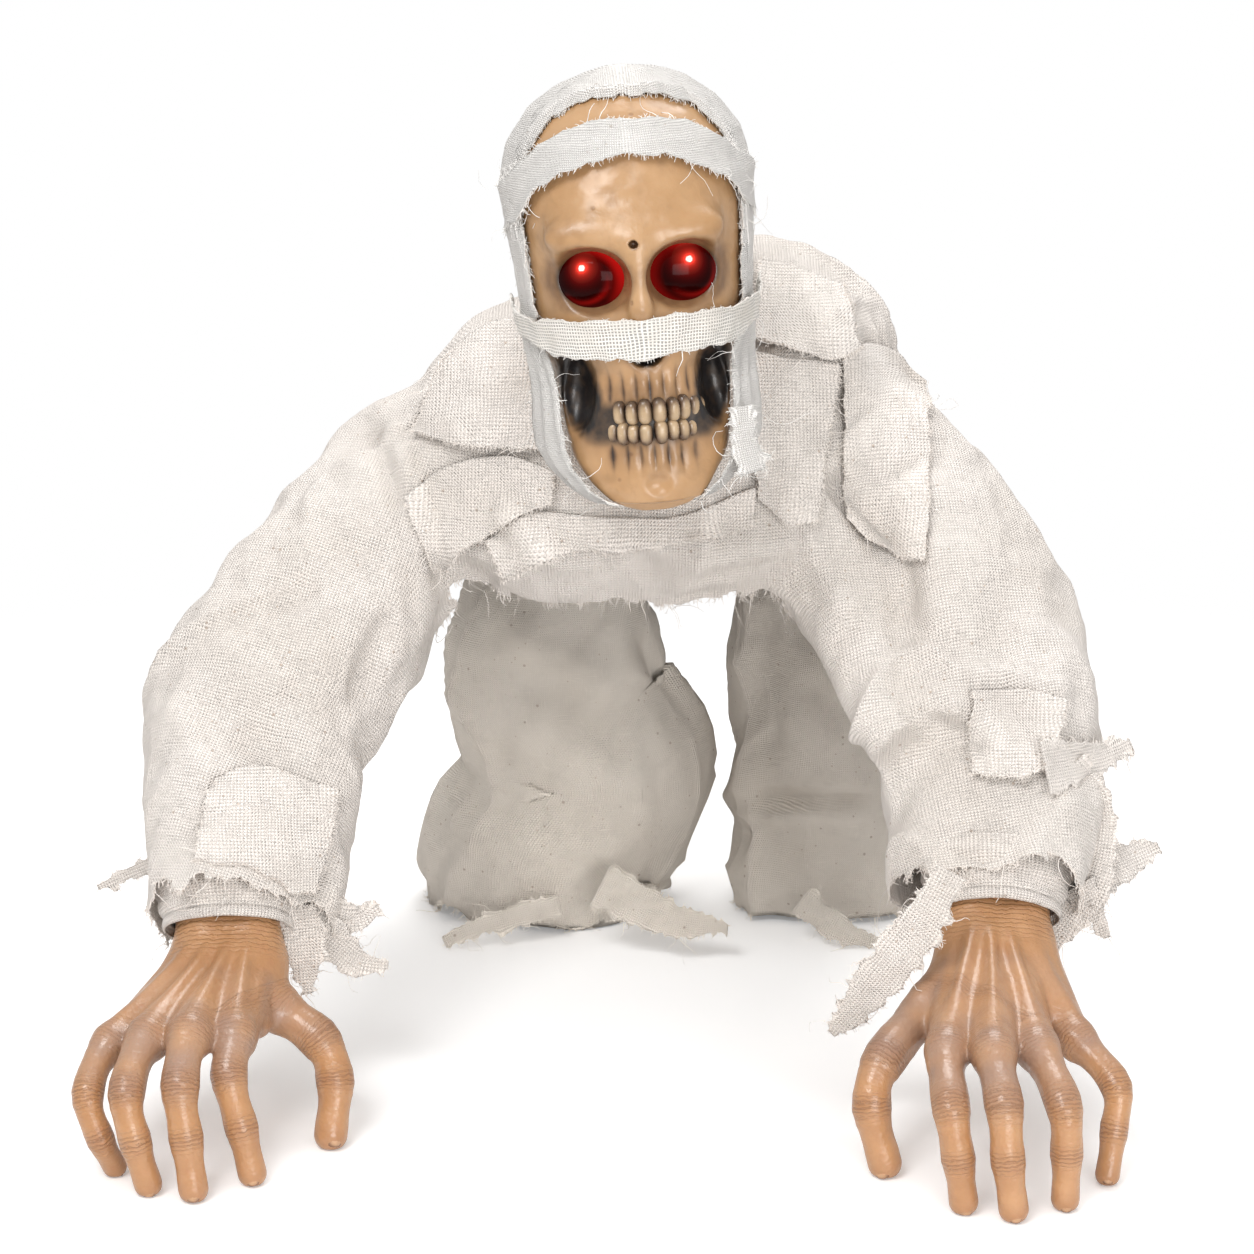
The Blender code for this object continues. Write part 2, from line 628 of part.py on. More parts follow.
def make_chest():
    """Open tray with a screwed lid that carries the twist pin, the neck and the drive."""
    floor, rim, lid_top, _ = chest_levels()
    left, right = SHOULDER_X - CHEST_WIDTH / 2, SHOULDER_X + CHEST_WIDTH / 2
    front, back = SHOULDER_Y - CHEST_FRONT, SHOULDER_Y + CHEST_BACK
    tray = soften(box("chest_housing", (left, front, floor), (right, back, rim - GAP),
                      DARK_PLASTIC), BEVEL)
    inside = box("chest_inside", (left + HOUSING_WALL, front + HOUSING_WALL, floor + HOUSING_WALL),
                 (right - HOUSING_WALL, back - HOUSING_WALL, rim + OVERRUN))
    combine(tray, inside, "DIFFERENCE")
    start = spine_ends()[0]
    way = Vector((0.0, 1.0, 0.0))
    boss = cylinder("chest_spine_boss", start - way * HOUSING_WALL / 4,
                    start + way * ARM_SOCKET_DEPTH / 2, SPINE_RADIUS + SOCKET_WALL)
    combine(tray, boss, "UNION")
    bore = cylinder("chest_spine_bore", start, start + way * (ARM_SOCKET_DEPTH / 2 + OVERRUN),
                    SPINE_RADIUS + GAP * 2)
    combine(tray, bore, "DIFFERENCE")
    pin_seat = cylinder("pin_seat", (SHOULDER_X, SHOULDER_Y, floor + HOUSING_WALL / 2),
                        (SHOULDER_X, SHOULDER_Y, rim - HOUSING_WALL), HUB_RADIUS * 0.7)
    combine(tray, pin_seat, "UNION")
    seat_bore = cylinder("pin_seat_bore", (SHOULDER_X, SHOULDER_Y, floor + HOUSING_WALL),
                         (SHOULDER_X, SHOULDER_Y, rim + OVERRUN), PIVOT_PIN_RADIUS + GAP)
    combine(tray, seat_bore, "DIFFERENCE")
    lid = box("chest_lid", (left, front, rim), (right, back, lid_top), DARK_PLASTIC)
    for name, y, radius in (("lid_pin_hole", SHOULDER_Y, PIVOT_PIN_RADIUS + GAP),
                            ("lid_crank_hole", SHOULDER_Y + CRANK_DISTANCE,
                             MOTOR_SHAFT_RADIUS + GAP * 2)):
        hole = cylinder(name, (SHOULDER_X, y, rim - OVERRUN), (SHOULDER_X, y, lid_top + OVERRUN),
                        radius)
        combine(lid, hole, "DIFFERENCE")
    pin = cylinder("twist_pin", (SHOULDER_X, SHOULDER_Y, floor + HOUSING_WALL + GAP),
                   (SHOULDER_X, SHOULDER_Y, yoke_top() + HUB_HEIGHT / 5), PIVOT_PIN_RADIUS, METAL)
    head = cylinder("twist_pin_head", (SHOULDER_X, SHOULDER_Y, yoke_top() + PIVOT_RUN),
                    (SHOULDER_X, SHOULDER_Y, yoke_top() + HUB_HEIGHT / 5), HUB_RADIUS * 0.6)
    combine(pin, head, "UNION")
    crank_y = SHOULDER_Y + CRANK_DISTANCE
    motor = cylinder("crawl_gearmotor", (SHOULDER_X, crank_y, floor + HOUSING_WALL + GAP),
                     (SHOULDER_X, crank_y, rim - GAP), MOTOR_RADIUS, METAL)
    shaft = cylinder("crawl_shaft", (SHOULDER_X, crank_y, rim - HOUSING_WALL),
                     (SHOULDER_X, crank_y, lid_top + OVERRUN / 3), MOTOR_SHAFT_RADIUS)
    combine(motor, shaft, "UNION")


def spine_ends():
    """Ends of the spine tube, straight between the chest's rear and the hip housing's front."""
    x = (SHOULDER_X + HIP_X) / 2
    z = (chest_levels()[0] + HIP_Z + HIP_HEIGHT / 2) / 2
    back = SHOULDER_Y + CHEST_BACK
    front = HIP_Y - HIP_DEPTH / 2
    return Vector((x, back - HOUSING_WALL / 2, z)), Vector((x, front + ARM_SOCKET_DEPTH / 2, z))


def make_spine():
    """Tube from the chest's rear boss into the hip housing."""
    start, end = spine_ends()
    inset = Vector((0.0, GAP, 0.0))
    tube("spine_tube", [start + inset, end - inset], SPINE_RADIUS, TUBE_WALL, STEEL, sides=16)


def yoke_top():
    """Top of the yoke's hub."""
    return SHOULDER_Z + HUB_HEIGHT / 2


def beam_levels():
    """Underside and top of the yoke's beam."""
    low = chest_levels()[3] + CRANK_DISC_HEIGHT
    return low, low + YOKE_BEAM_HEIGHT


def hoop_foot(sign):
    """Floor of the beam's socket for one end of the back hoop."""
    return Vector((SHOULDER_X + sign * HOOP_FOOT_OUT, SHOULDER_Y, beam_levels()[1]))


def make_yoke():
    """Shoulder beam on the twist pin, with arm sockets and the slotted drive arm."""
    hub_low = chest_levels()[2] + PIVOT_RUN
    hub = cylinder("shoulder_yoke", (SHOULDER_X, SHOULDER_Y, hub_low),
                   (SHOULDER_X, SHOULDER_Y, yoke_top()), HUB_RADIUS, GREY_PLASTIC, sides=32)
    beam_low, beam_high = beam_levels()
    beam = box("yoke_beam", (SHOULDER_X - SHOULDER_HALF + ARM_SOCKET_DEPTH / 2,
                             SHOULDER_Y - YOKE_BEAM_DEPTH / 2, beam_low),
               (SHOULDER_X + SHOULDER_HALF - ARM_SOCKET_DEPTH / 2, SHOULDER_Y + YOKE_BEAM_DEPTH / 2,
                beam_high))
    combine(hub, beam, "UNION")
    for side, sign in SIGN.items():
        foot = hoop_foot(sign)
        rise = Vector((0.0, 0.0, HOOP_SOCKET_DEPTH))
        boss = cylinder(side + "_hoop_boss", foot - Vector((0.0, 0.0, OVERRUN)), foot + rise,
                        HOOP_RADIUS + SOCKET_WALL, sides=16)
        combine(hub, boss, "UNION")
        bore = cylinder(side + "_hoop_bore", foot, foot + rise + Vector((0.0, 0.0, OVERRUN)),
                        HOOP_RADIUS + GAP * 2, sides=16)
        combine(hub, bore, "DIFFERENCE")
    for side, sign in SIGN.items():
        mouth = shoulder_point(side)
        inner = mouth - Vector((sign * (ARM_SOCKET_DEPTH + SOCKET_WALL), 0.0, 0.0))
        socket = cylinder(side + "_yoke_socket", inner, mouth, ARM_TUBE_RADIUS + SOCKET_WALL)
        combine(hub, socket, "UNION")
        bore = cylinder(side + "_yoke_bore", mouth - Vector((sign * ARM_SOCKET_DEPTH, 0.0, 0.0)),
                        mouth + Vector((sign * OVERRUN, 0.0, 0.0)), ARM_TUBE_RADIUS + GAP * 2)
        combine(hub, bore, "DIFFERENCE")
    arm_end = SHOULDER_Y + CRANK_DISTANCE + CRANK_THROW + DRIVE_ARM_HALF
    arm = box("drive_arm", (SHOULDER_X - DRIVE_ARM_HALF, SHOULDER_Y,
                            SHOULDER_Z - DRIVE_ARM_HEIGHT / 2),
              (SHOULDER_X + DRIVE_ARM_HALF, arm_end, SHOULDER_Z + DRIVE_ARM_HEIGHT / 2))
    combine(hub, arm, "UNION")
    half_slot = CRANK_PIN_RADIUS + CRANK_SLOT_CLEARANCE
    slot = box("drive_slot", (SHOULDER_X - half_slot,
                              SHOULDER_Y + CRANK_DISTANCE + CRANK_THROW / 2 - half_slot,
                              SHOULDER_Z - DRIVE_ARM_HEIGHT),
               (SHOULDER_X + half_slot, SHOULDER_Y + CRANK_DISTANCE + CRANK_THROW + half_slot,
                SHOULDER_Z + DRIVE_ARM_HEIGHT))
    combine(hub, slot, "DIFFERENCE")
    bore = cylinder("hub_bore", (SHOULDER_X, SHOULDER_Y, hub_low - OVERRUN),
                    (SHOULDER_X, SHOULDER_Y, yoke_top() + OVERRUN), PIVOT_PIN_RADIUS + PIVOT_RUN)
    combine(hub, bore, "DIFFERENCE")


def make_crank():
    """Disc on the motor's shaft with the pin that swings the yoke."""
    low = chest_levels()[3]
    y = SHOULDER_Y + CRANK_DISTANCE
    disc = cylinder("crank_disc", (SHOULDER_X, y, low),
                    (SHOULDER_X, y, low + CRANK_DISC_HEIGHT), CRANK_DISC_RADIUS, METAL)
    pin_y = y + CRANK_THROW
    pin = cylinder("crank_pin", (SHOULDER_X, pin_y, low + CRANK_DISC_HEIGHT / 2),
                   (SHOULDER_X, pin_y, SHOULDER_Z + DRIVE_ARM_HEIGHT), CRANK_PIN_RADIUS, sides=16)
    combine(disc, pin, "UNION")


def plug_levels():
    """Underside and top of the neck plug, which reaches up into the skull."""
    low = chest_levels()[2] + GAP + NECK_MOTOR_HEIGHT + PIVOT_RUN
    return low, CHIN_Z + HEAD_HEIGHT * NECK_PLUG_LEVEL_SHARE


def make_neck():
    """Motor on the chest lid and the plug that carries the skull on its shaft."""
    lid_top = chest_levels()[2]
    low = lid_top + GAP
    motor_top = low + NECK_MOTOR_HEIGHT
    motor = cylinder("neck_motor", (NECK_X, NECK_Y, low), (NECK_X, NECK_Y, motor_top),
                     NECK_MOTOR_RADIUS, METAL)
    shaft_top = sum(plug_levels()) / 2
    shaft = cylinder("neck_shaft", (NECK_X, NECK_Y, motor_top - OVERRUN),
                     (NECK_X, NECK_Y, shaft_top), NECK_SHAFT_RADIUS, sides=16)
    combine(motor, shaft, "UNION")
    plug_low, plug_top = plug_levels()
    plug = cylinder("neck_plug", (NECK_X, NECK_Y, plug_low), (NECK_X, NECK_Y, plug_top),
                    NECK_PLUG_RADIUS, GREY_PLASTIC, sides=32)
    bore = cylinder("neck_plug_bore", (NECK_X, NECK_Y, motor_top - OVERRUN),
                    (NECK_X, NECK_Y, shaft_top + PIVOT_RUN), NECK_SHAFT_RADIUS + PIVOT_RUN, sides=16)
    combine(plug, bore, "DIFFERENCE")


# Arms and hands

def make_arms():
    """Steel tubes from the yoke's sockets over the elbows into the wrists."""
    for side, sign in SIGN.items():
        mouth = shoulder_point(side)
        inner = mouth - Vector((sign * (ARM_SOCKET_DEPTH - GAP), 0.0, 0.0))
        corner = mouth + Vector((sign * (ARM_BEND - ARM_TUBE_RADIUS), 0.0, 0.0))
        elbow = arm_station(side, ELBOW_SHARES[side])
        wrist = wrist_point(side) + forearm_direction(side) * (FOREARM_STUB - ARM_SOCKET_DEPTH + GAP)
        tube(side + "_arm_tube", bent_path([inner, corner, elbow, wrist], ARM_BEND),
             ARM_TUBE_RADIUS, TUBE_WALL, STEEL)


def finger_rings(side, name, sides=8):
    """Rings of one finger from inside the palm to the tip."""
    shares = HAND_SHARES[side][name]
    thick = FINGER_RADIUS * FINGER_WIDTH_SHARES[name]
    tip_radius = thick * FINGER_TAPER_SHARES[-1]
    joints = [hand_point(side, one, tip_radius) for one in shares]
    root_share = 0.45 if name != "thumb" else 0.35
    inside = wrist_point(side).lerp(joints[0], root_share)
    points = [inside, *joints]
    path = smooth_path(points, 11)
    spans = [0.0]
    for a, b in zip(points, points[1:]):
        spans.append(spans[-1] + (b - a).length)
    total = [0.0]
    for a, b in zip(path, path[1:]):
        total.append(total[-1] + (b - a).length)
    scale = spans[-1] / total[-1]
    radii = [thick * float(np.interp(run * scale, spans, FINGER_TAPER_SHARES)) for run in total]
    tangents = directions(path)
    across = Vector((1.0, 0.0, 0.0))
    rings = [ring_at(p, t, across, r, r * 0.95, sides)
             for p, t, r in zip(path, tangents, radii)]
    end, way = path[-1], tangents[-1]
    for reach_share, width_share in ((0.45, 0.82), (0.75, 0.45)):
        rings.append(ring_at(end + way * tip_radius * reach_share, way, across,
                             tip_radius * width_share, tip_radius * width_share, sides))
    floor_ring = [[Vector((p.x, p.y, max(p.z, 0.0))) for p in ring] for ring in rings]
    return floor_ring


def palm_rings(side, sides=14):
    """Rings of the forearm stub and palm, from the arm's socket to the knuckles."""
    wrist = wrist_point(side)
    way = forearm_direction(side)
    knuckles = [hand_point(side, HAND_SHARES[side][name][0])
                for name in ("index", "middle", "ring", "little")]
    middle = sum(knuckles, Vector()) / len(knuckles)
    line = (knuckles[-1] - knuckles[0]).normalized()
    half = (knuckles[-1] - knuckles[0]).length / 2
    flat = Vector((SIGN[side], 0.0, 0.0))
    along = (middle - wrist).normalized()
    bend = (along - way).normalized()
    under = Vector((0.0, 0.0, -1.0)) * WRIST_HALF_DEPTH
    return [
        ring_at(wrist + way * FOREARM_STUB, -way, flat, WRIST_HALF_WIDTH * 0.86,
                WRIST_HALF_DEPTH * 1.05, sides),
        ring_at(wrist + way * FOREARM_STUB * 0.45, -way, flat, WRIST_HALF_WIDTH * 0.96,
                WRIST_HALF_DEPTH, sides),
        ring_at(wrist + under * 0.12, bend, flat, WRIST_HALF_WIDTH, WRIST_HALF_DEPTH, sides),
        ring_at(wrist.lerp(middle, 0.35) + under * 0.35, along, flat.lerp(line, 0.4),
                half * 0.92, WRIST_HALF_DEPTH * 0.98, sides),
        ring_at(wrist.lerp(middle, 0.70) + under * 0.30, along, flat.lerp(line, 0.75),
                half * 1.06, WRIST_HALF_DEPTH * 0.80, sides),
        ring_at(middle + under * 0.25, along, line, half + FINGER_RADIUS,
                KNUCKLE_HALF_DEPTH, sides),
        ring_at(middle + along * FINGER_RADIUS + under * 0.45, along, line, half,
                KNUCKLE_HALF_DEPTH * 0.6, sides),
    ]


def make_hands():
    """Clawed hands: a palm with five bent fingers fused to it and a bore for the arm."""
    for side in SIGN:
        name = side + "_hand"
        hand = add(name, solid_mesh(name, palm_rings(side)), SKIN)
        for finger in HAND_SHARES[side]:
            piece = add(side + "_" + finger, solid_mesh(finger, finger_rings(side, finger)))
            combine(hand, piece, "UNION")
        way = forearm_direction(side)
        wrist = wrist_point(side)
        bore = cylinder(side + "_wrist_bore",
                        wrist + way * (FOREARM_STUB - ARM_SOCKET_DEPTH),
                        wrist + way * (FOREARM_STUB + OVERRUN), ARM_TUBE_RADIUS + GAP * 3)
        combine(hand, bore, "DIFFERENCE")


# Skull

def head_matrix():
    """Turn and place of the head; its own frame starts at the chin's level."""
    middle = Vector((HEAD_X, HEAD_Y, CHIN_Z + HEAD_HEIGHT / 2))
    turn = Matrix.Rotation(HEAD_YAW, 4, "Z") @ Matrix.Rotation(-HEAD_ROLL, 4, "Y")
    return Matrix.Translation(middle) @ turn @ Matrix.Translation((0.0, 0.0, -HEAD_HEIGHT / 2))


def head_base(angle, level, proud=0.0):
    """Point of the plain head form at an angle from the face and a height share."""
    heights = [row[0] for row in SKULL_SHARES]
    width, front, back = (float(np.interp(level, heights, [row[k] for row in SKULL_SHARES]))
                          for k in (1, 2, 3))
    half = HEAD_HALF_WIDTH * width + proud
    y_front = -(HEAD_FRONT * front + proud)
    y_back = HEAD_BACK * back + proud
    middle, reach = (y_front + y_back) / 2, (y_back - y_front) / 2
    sine, cosine = math.sin(angle), math.cos(angle)
    x = half * math.copysign(abs(sine) ** FACE_SQUARE_SHARE, sine)
    y = middle - reach * math.copysign(abs(cosine) ** FACE_SQUARE_SHARE, cosine)
    crown = max(0.0, (level - 0.70) / 0.30)
    return Vector((x, y, HEAD_HEIGHT * level + proud * crown * 1.2))


def bump(value, centre, width):
    """Smooth hump of height one."""
    return math.exp(-((value - centre) / width) ** 2)


def face_relief(x, z, facing):
    """How far the face stands out from the plain head form, in metres."""
    if facing <= 0.0:
        return 0.0
    level = z / HEAD_HEIGHT
    reach = abs(x)
    relief = 0.0
    socket = math.hypot((reach - EYE_SPREAD) / EYE_HALF_WIDTH,
                        (z - HEAD_HEIGHT * EYE_LEVEL_SHARE) / EYE_HALF_HEIGHT)
    if socket < 1.15:
        relief -= EYE_DEPTH * min(1.0, (1.15 - socket) / 0.42)
    relief += EYE_DEPTH * 0.22 * bump(level, 0.625, 0.035) * bump(reach, EYE_SPREAD, EYE_HALF_WIDTH)
    nose = math.hypot(x / (EYE_HALF_WIDTH * 0.55), (z - HEAD_HEIGHT * 0.40) / EYE_HALF_HEIGHT)
    relief -= EYE_DEPTH * 0.55 * max(0.0, 1.0 - nose ** 2)
    relief += EYE_DEPTH * 0.22 * bump(reach, 0.0, EYE_HALF_WIDTH * 0.4) * bump(level, 0.51, 0.05)
    relief += EYE_DEPTH * 0.09 * bump(reach, HEAD_HALF_WIDTH * 0.68, EYE_HALF_WIDTH * 0.7) \
        * bump(level, 0.435, 0.045)
    relief -= EYE_DEPTH * 0.62 * bump(reach, HEAD_HALF_WIDTH * 0.58, EYE_HALF_WIDTH * 0.45) \
        * bump(level, 0.255, 0.075)
    relief += teeth_relief(x, z)
    return relief * facing


def teeth_relief(x, z):
    """Two rows of teeth as rounded ribs with a bite line between them."""
    bite = HEAD_HEIGHT * 0.195
    row = abs(z - bite)
    half_arch = TOOTH_WIDTH * TEETH_PER_ROW / 2
    if abs(x) > half_arch or row > TOOTH_HEIGHT:
        return 0.0
    rib = abs(math.sin(math.pi * x / TOOTH_WIDTH))
    line = 1.0 - bump(row, 0.0, TOOTH_HEIGHT * 0.18)
    return TOOTH_WIDTH * (0.10 + 0.26 * rib * line) - TOOTH_WIDTH * 0.30 * (1.0 - line)


def skull_angles():
    """Angles of the skull's columns, close together across the teeth."""
    front = [math.radians(step) for step in np.linspace(-46, 46, 23)]
    cheek = [math.radians(step) for step in (58, 72, 90, 112, 135, 158)]
    return front + cheek + [math.pi] + [TAU - angle for angle in reversed(cheek)]


def skull_levels():
    """Heights of the skull's rows, close together across the face."""
    return (0.018, 0.05, 0.09, 0.13, 0.155, 0.175, 0.195, 0.215, 0.24, 0.265, 0.30, 0.34, 0.38,
            0.42, 0.46, 0.49, 0.52, 0.55, 0.58, 0.62, 0.67, 0.74, 0.81, 0.88, 0.94, 0.985)


def make_skull():
    """Hollow skull with sockets, nose hollow, cheek hollows and teeth."""
    place = head_matrix()
    rings = []
    for level in skull_levels():
        ring = []
        for angle in skull_angles():
            plain = head_base(angle, level, -WRAP_GAP)
            facing = max(0.0, min(1.0, (math.cos(angle) - 0.15) / 0.35))
            relief = face_relief(plain.x, plain.z, facing)
            ring.append(place @ Vector((plain.x, plain.y - relief, plain.z)))
        rings.append(ring)
    skull = add("skull", solid_mesh("skull", rings), BONE)
    inner = []
    for level in (0.32, 0.39, 0.46, 0.54, 0.62, 0.72, 0.84, 0.93):
        deep = EYE_DEPTH if level < 0.65 else SKULL_WALL * 2
        ring = []
        for step in range(20):
            angle = TAU * step / 20
            plain = head_base(angle, level, -SKULL_WALL * 1.3)
            if math.cos(angle) > 0.2:
                plain.y = max(plain.y, -HEAD_FRONT * 0.92 + deep + SKULL_WALL * 2)
            ring.append(place @ plain)
        inner.append(ring)
    hollow = add("skull_hollow", solid_mesh("skull_hollow", inner))
    combine(skull, hollow, "DIFFERENCE")
    plug_low, plug_top = plug_levels()
    hole = cylinder("neck_hole", (NECK_X, NECK_Y, plug_low - OVERRUN),
                    (NECK_X, NECK_Y, plug_top + SKULL_WALL * 4),
                    NECK_PLUG_RADIUS + GAP, sides=32)
    combine(skull, hole, "DIFFERENCE")


def socket_floor(sign):
    """Deepest point of an eye socket in the head's own frame."""
    level = EYE_LEVEL_SHARE
    half = head_base(math.pi / 2, level, -WRAP_GAP).x
    sine = (EYE_SPREAD / half) ** (1 / FACE_SQUARE_SHARE)
    plain = head_base(math.asin(sine), level, -WRAP_GAP)
    return Vector((sign * EYE_SPREAD, plain.y + EYE_DEPTH, plain.z))


def make_eyes():
    """Domed lens in each socket with its lamp behind it."""
    place = head_matrix()
    way = place.to_3x3() @ Vector((0.0, -1.0, 0.0))
    for side, sign in SIGN.items():
        base = place @ socket_floor(sign)
        name = side + "_eye_lens"
        outer, inner = [], []
        for share in (0.0, 0.35, 0.62, 0.83):
            angle = share * math.pi / 2
            for rows, radius in ((outer, LENS_RADIUS), (inner, LENS_RADIUS - LENS_WALL)):
                reach = radius * math.sin(angle) * 0.75
                half = radius * math.cos(angle)
                rows.append(ring_at(base + way * (reach + EYE_DEPTH * 0.36), way,
                                    Vector((1.0, 0.0, 0.0)), half, half * 0.8, 16))
        poles = [base + way * (radius * 0.75 + EYE_DEPTH * 0.36)
                 for radius in (LENS_RADIUS, LENS_RADIUS - LENS_WALL)]
        add(name, shell_mesh(name, outer, inner, pole=poles), LENS)
        lamp = side + "_eye_lamp"
        cylinder(lamp, base + way * GAP * 6, base + way * (LED_LENGTH + GAP * 6), LED_RADIUS * 1.2, LAMP,
                 sides=12, top_radius=LED_RADIUS)


# Wrappings of the head

def wrap_surface(angle, level, proud):
    """Point of a wrapping that lies over the plain head form."""
    return head_matrix() @ head_base(angle, level, proud)


def hood_edge(angle):
    """Height share of the hood's edge round the head."""
    turn = abs(math.degrees(math.atan2(math.sin(angle), math.cos(angle))))
    return float(np.interp(turn, (0, 34, 50, 58, 64, 72, 100, 180),
                           (0.952, 0.94, 0.90, 0.80, 0.60, 0.42, 0.385, 0.385)))


def make_hood():
    """Cloth cap over the cranium, open over the face."""
    outer, inner = [], []
    rows = 8
    turns = (0, 18, 34, 43, 48, 53, 57, 60, 63, 67, 73, 84, 101, 120, 140, 160, 180)
    angles = [math.radians(turn) for turn in turns + tuple(360 - turn for turn in turns[-2:0:-1])]
    for row in range(rows):
        share = row / (rows - 1)
        for grid, proud in ((outer, WRAP_GAP * 2 + WRAP_WALL), (inner, WRAP_GAP * 2)):
            ring = []
            for angle in angles:
                low = hood_edge(angle)
                ring.append(wrap_surface(angle, low + (0.985 - low) * share ** 0.8, proud))
            grid.append(ring)
    poles = [head_matrix() @ Vector((0.0, 0.0, HEAD_HEIGHT * 0.997 + proud))
             for proud in (WRAP_GAP * 2 + WRAP_WALL, WRAP_GAP * 2)]
    add("head_hood", shell_mesh("head_hood", outer, inner, pole=poles), MUSLIN)


def make_band(name, angles, low_at, high_at, proud, rows=3, closed=False):
    """Strip of cloth laid over the head between two height curves."""
    outer, inner = [], []
    for row in range(rows):
        share = row / (rows - 1)
        for grid, extra in ((outer, WRAP_WALL), (inner, 0.0)):
            grid.append([wrap_surface(angle, low_at(angle) + (high_at(angle) - low_at(angle)) * share,
                                      proud + extra) for angle in angles])
    add(name, shell_mesh(name, outer, inner, closed=closed), MUSLIN)


def make_wrappings():
    """Forehead strap, gauze across the nose and the strips beside the jaw."""
    def turned(angle):
        return abs(math.degrees(math.atan2(math.sin(angle), math.cos(angle))))

    def strap_low(angle):
        return float(np.interp(turned(angle), (0, 15, 30, 45, 60, 90, 120, 180),
                               (0.825, 0.818, 0.79, 0.755, 0.69, 0.64, 0.61, 0.58)))

    def strap_high(angle):
        return float(np.interp(turned(angle), (0, 15, 30, 45, 60, 90, 120, 180),
                               (0.90, 0.897, 0.883, 0.85, 0.80, 0.745, 0.715, 0.69)))

    outer_layer = WRAP_GAP * 3.4 + WRAP_WALL
    make_band("forehead_strap", [TAU * step / 28 for step in range(28)], strap_low, strap_high,
              outer_layer, closed=True)

    def gauze_low(angle):
        return float(np.interp(turned(angle), (0, 45, 75, 90), (0.37, 0.375, 0.41, 0.43)))

    def gauze_high(angle):
        return float(np.interp(turned(angle), (0, 45, 75, 90), (0.46, 0.466, 0.462, 0.48)))

    spread = [math.radians(step) for step in np.linspace(-88, 88, 19)]
    make_band("nose_gauze", spread, gauze_low, gauze_high, outer_layer - WRAP_GAP * 0.6)
    for side, sign in SIGN.items():
        angles = [sign * math.radians(step) for step in np.linspace(62, 112, 6)]
        make_band(side + "_jaw_strip", angles, lambda angle: 0.05, lambda angle: 0.345,
                  -WRAP_GAP / 3, rows=7)


# Clothes

def fold(angle, along, phase, count=3.0):
    """Main folds of hanging cloth, as a push on its radius."""
    wave = math.sin(count * angle + phase + along * TAU * 0.8)
    crease = abs(math.sin(angle * 2.0 - along * TAU * 1.3 + phase)) - 0.5
    return FOLD_DEPTH * (0.7 * wave + 0.6 * crease)


def cloth_tube(path, half_widths, half_depths, side, sides, phase, grow=0.0, fold_share=1.0):
    """Outer and inner rows of a tube of cloth round a limb."""
    tangents = directions(path)
    outer, inner = [], []
    last = len(path) - 1
    for i, (point, tangent) in enumerate(zip(path, tangents)):
        along = i / last
        for grid, offset in ((outer, grow), (inner, -CLOTH_WALL)):
            grid.append(ring_at(point, tangent, side, half_widths[i] + offset,
                                half_depths[i] + offset, sides,
                                lambda angle: fold(angle, along, phase) * fold_share))
    return outer, inner


def sleeve_path(side, count=15):
    """Middle line of a sleeve with its half widths and half depths."""
    path = smooth_path([arm_station(side, shares) for shares in SLEEVE_PATH_SHARES[side]], count)
    spread = np.linspace(0, 1, len(SLEEVE_WIDTH_SHARES[side]))
    widths = [float(np.interp(k / (count - 1), spread, SLEEVE_WIDTH_SHARES[side]))
              for k in range(count)]
    return path, [SLEEVE_HALF_WIDTH * w for w in widths], [SLEEVE_HALF_DEPTH * w for w in widths]


def tear(rows, side, path):
    """Pull the torn points out of the last row of a sleeve."""
    way = directions(path)[-1]
    hem, centre = rows[-1], path[-1]
    for i, point in enumerate(hem):
        turn = i / len(hem)
        for at, reach, along in TATTER_SHARES[side]:
            apart = min(abs(turn - at), 1.0 - abs(turn - at))
            strength = bump(apart, 0.0, TATTER_WIDTH_SHARE)
            point += ((point - centre).normalized() * reach + way * along) * TATTER_REACH * strength


def make_sleeves():
    """Baggy sleeves round the arms, open at the shoulder and the cuff."""
    for side, sign in SIGN.items():
        path, widths, depths = sleeve_path(side)
        across = Vector((sign, 0.0, 0.35))
        outer, inner = cloth_tube(path, widths, depths, across, 18, 0.6 + sign)
        tear(outer, side, path)
        tear(inner, side, path)
        add(side + "_sleeve", shell_mesh(side + "_sleeve", outer, inner), MUSLIN)


def trouser_top():
    """Height of the trousers' rims, just under the door rails that carry them."""
    return hip_box()[0].z - DOOR_THICKNESS - DOOR_RAIL - GAP


def make_trousers():
    """Baggy trouser legs that end on the floor."""
    high = trouser_top()
    for side, sign in SIGN.items():
        stations = [Vector((HIP_X + abs(leg_x(side) - HIP_X) * across,
                            HIP_Y, high * height))
                    for across, height in TROUSER_PATH_SHARES[side]]
        count = 12
        path = smooth_path(stations, count)
        spread = np.linspace(0, 1, len(TROUSER_WIDTH_SHARES[side]))
        shares = [float(np.interp(k / (count - 1), spread, TROUSER_WIDTH_SHARES[side]))
                  for k in range(count)]
        widths = [TROUSER_HALF_WIDTH * share for share in shares]
        depths = [TROUSER_HALF_DEPTH * min(1.0, share) for share in shares]
        outer, inner = cloth_tube(path, widths, depths, Vector((1.0, 0.0, 0.0)), 20, 1.1 * sign)
        for grid in (outer, inner):
            for point in grid[-1]:
                point.z = 0.0
            for point in grid[0]:
                point.z = high
            for row in grid[1:-1]:
                for point in row:
                    point.z = max(point.z, high / 40)
        add(side + "_trouser_leg", shell_mesh(side + "_trouser_leg", outer, inner), MUSLIN)


def rounded(value, power):
    """Sine or cosine of a ring that is squarer than a circle."""
    return math.copysign(abs(value) ** power, value)


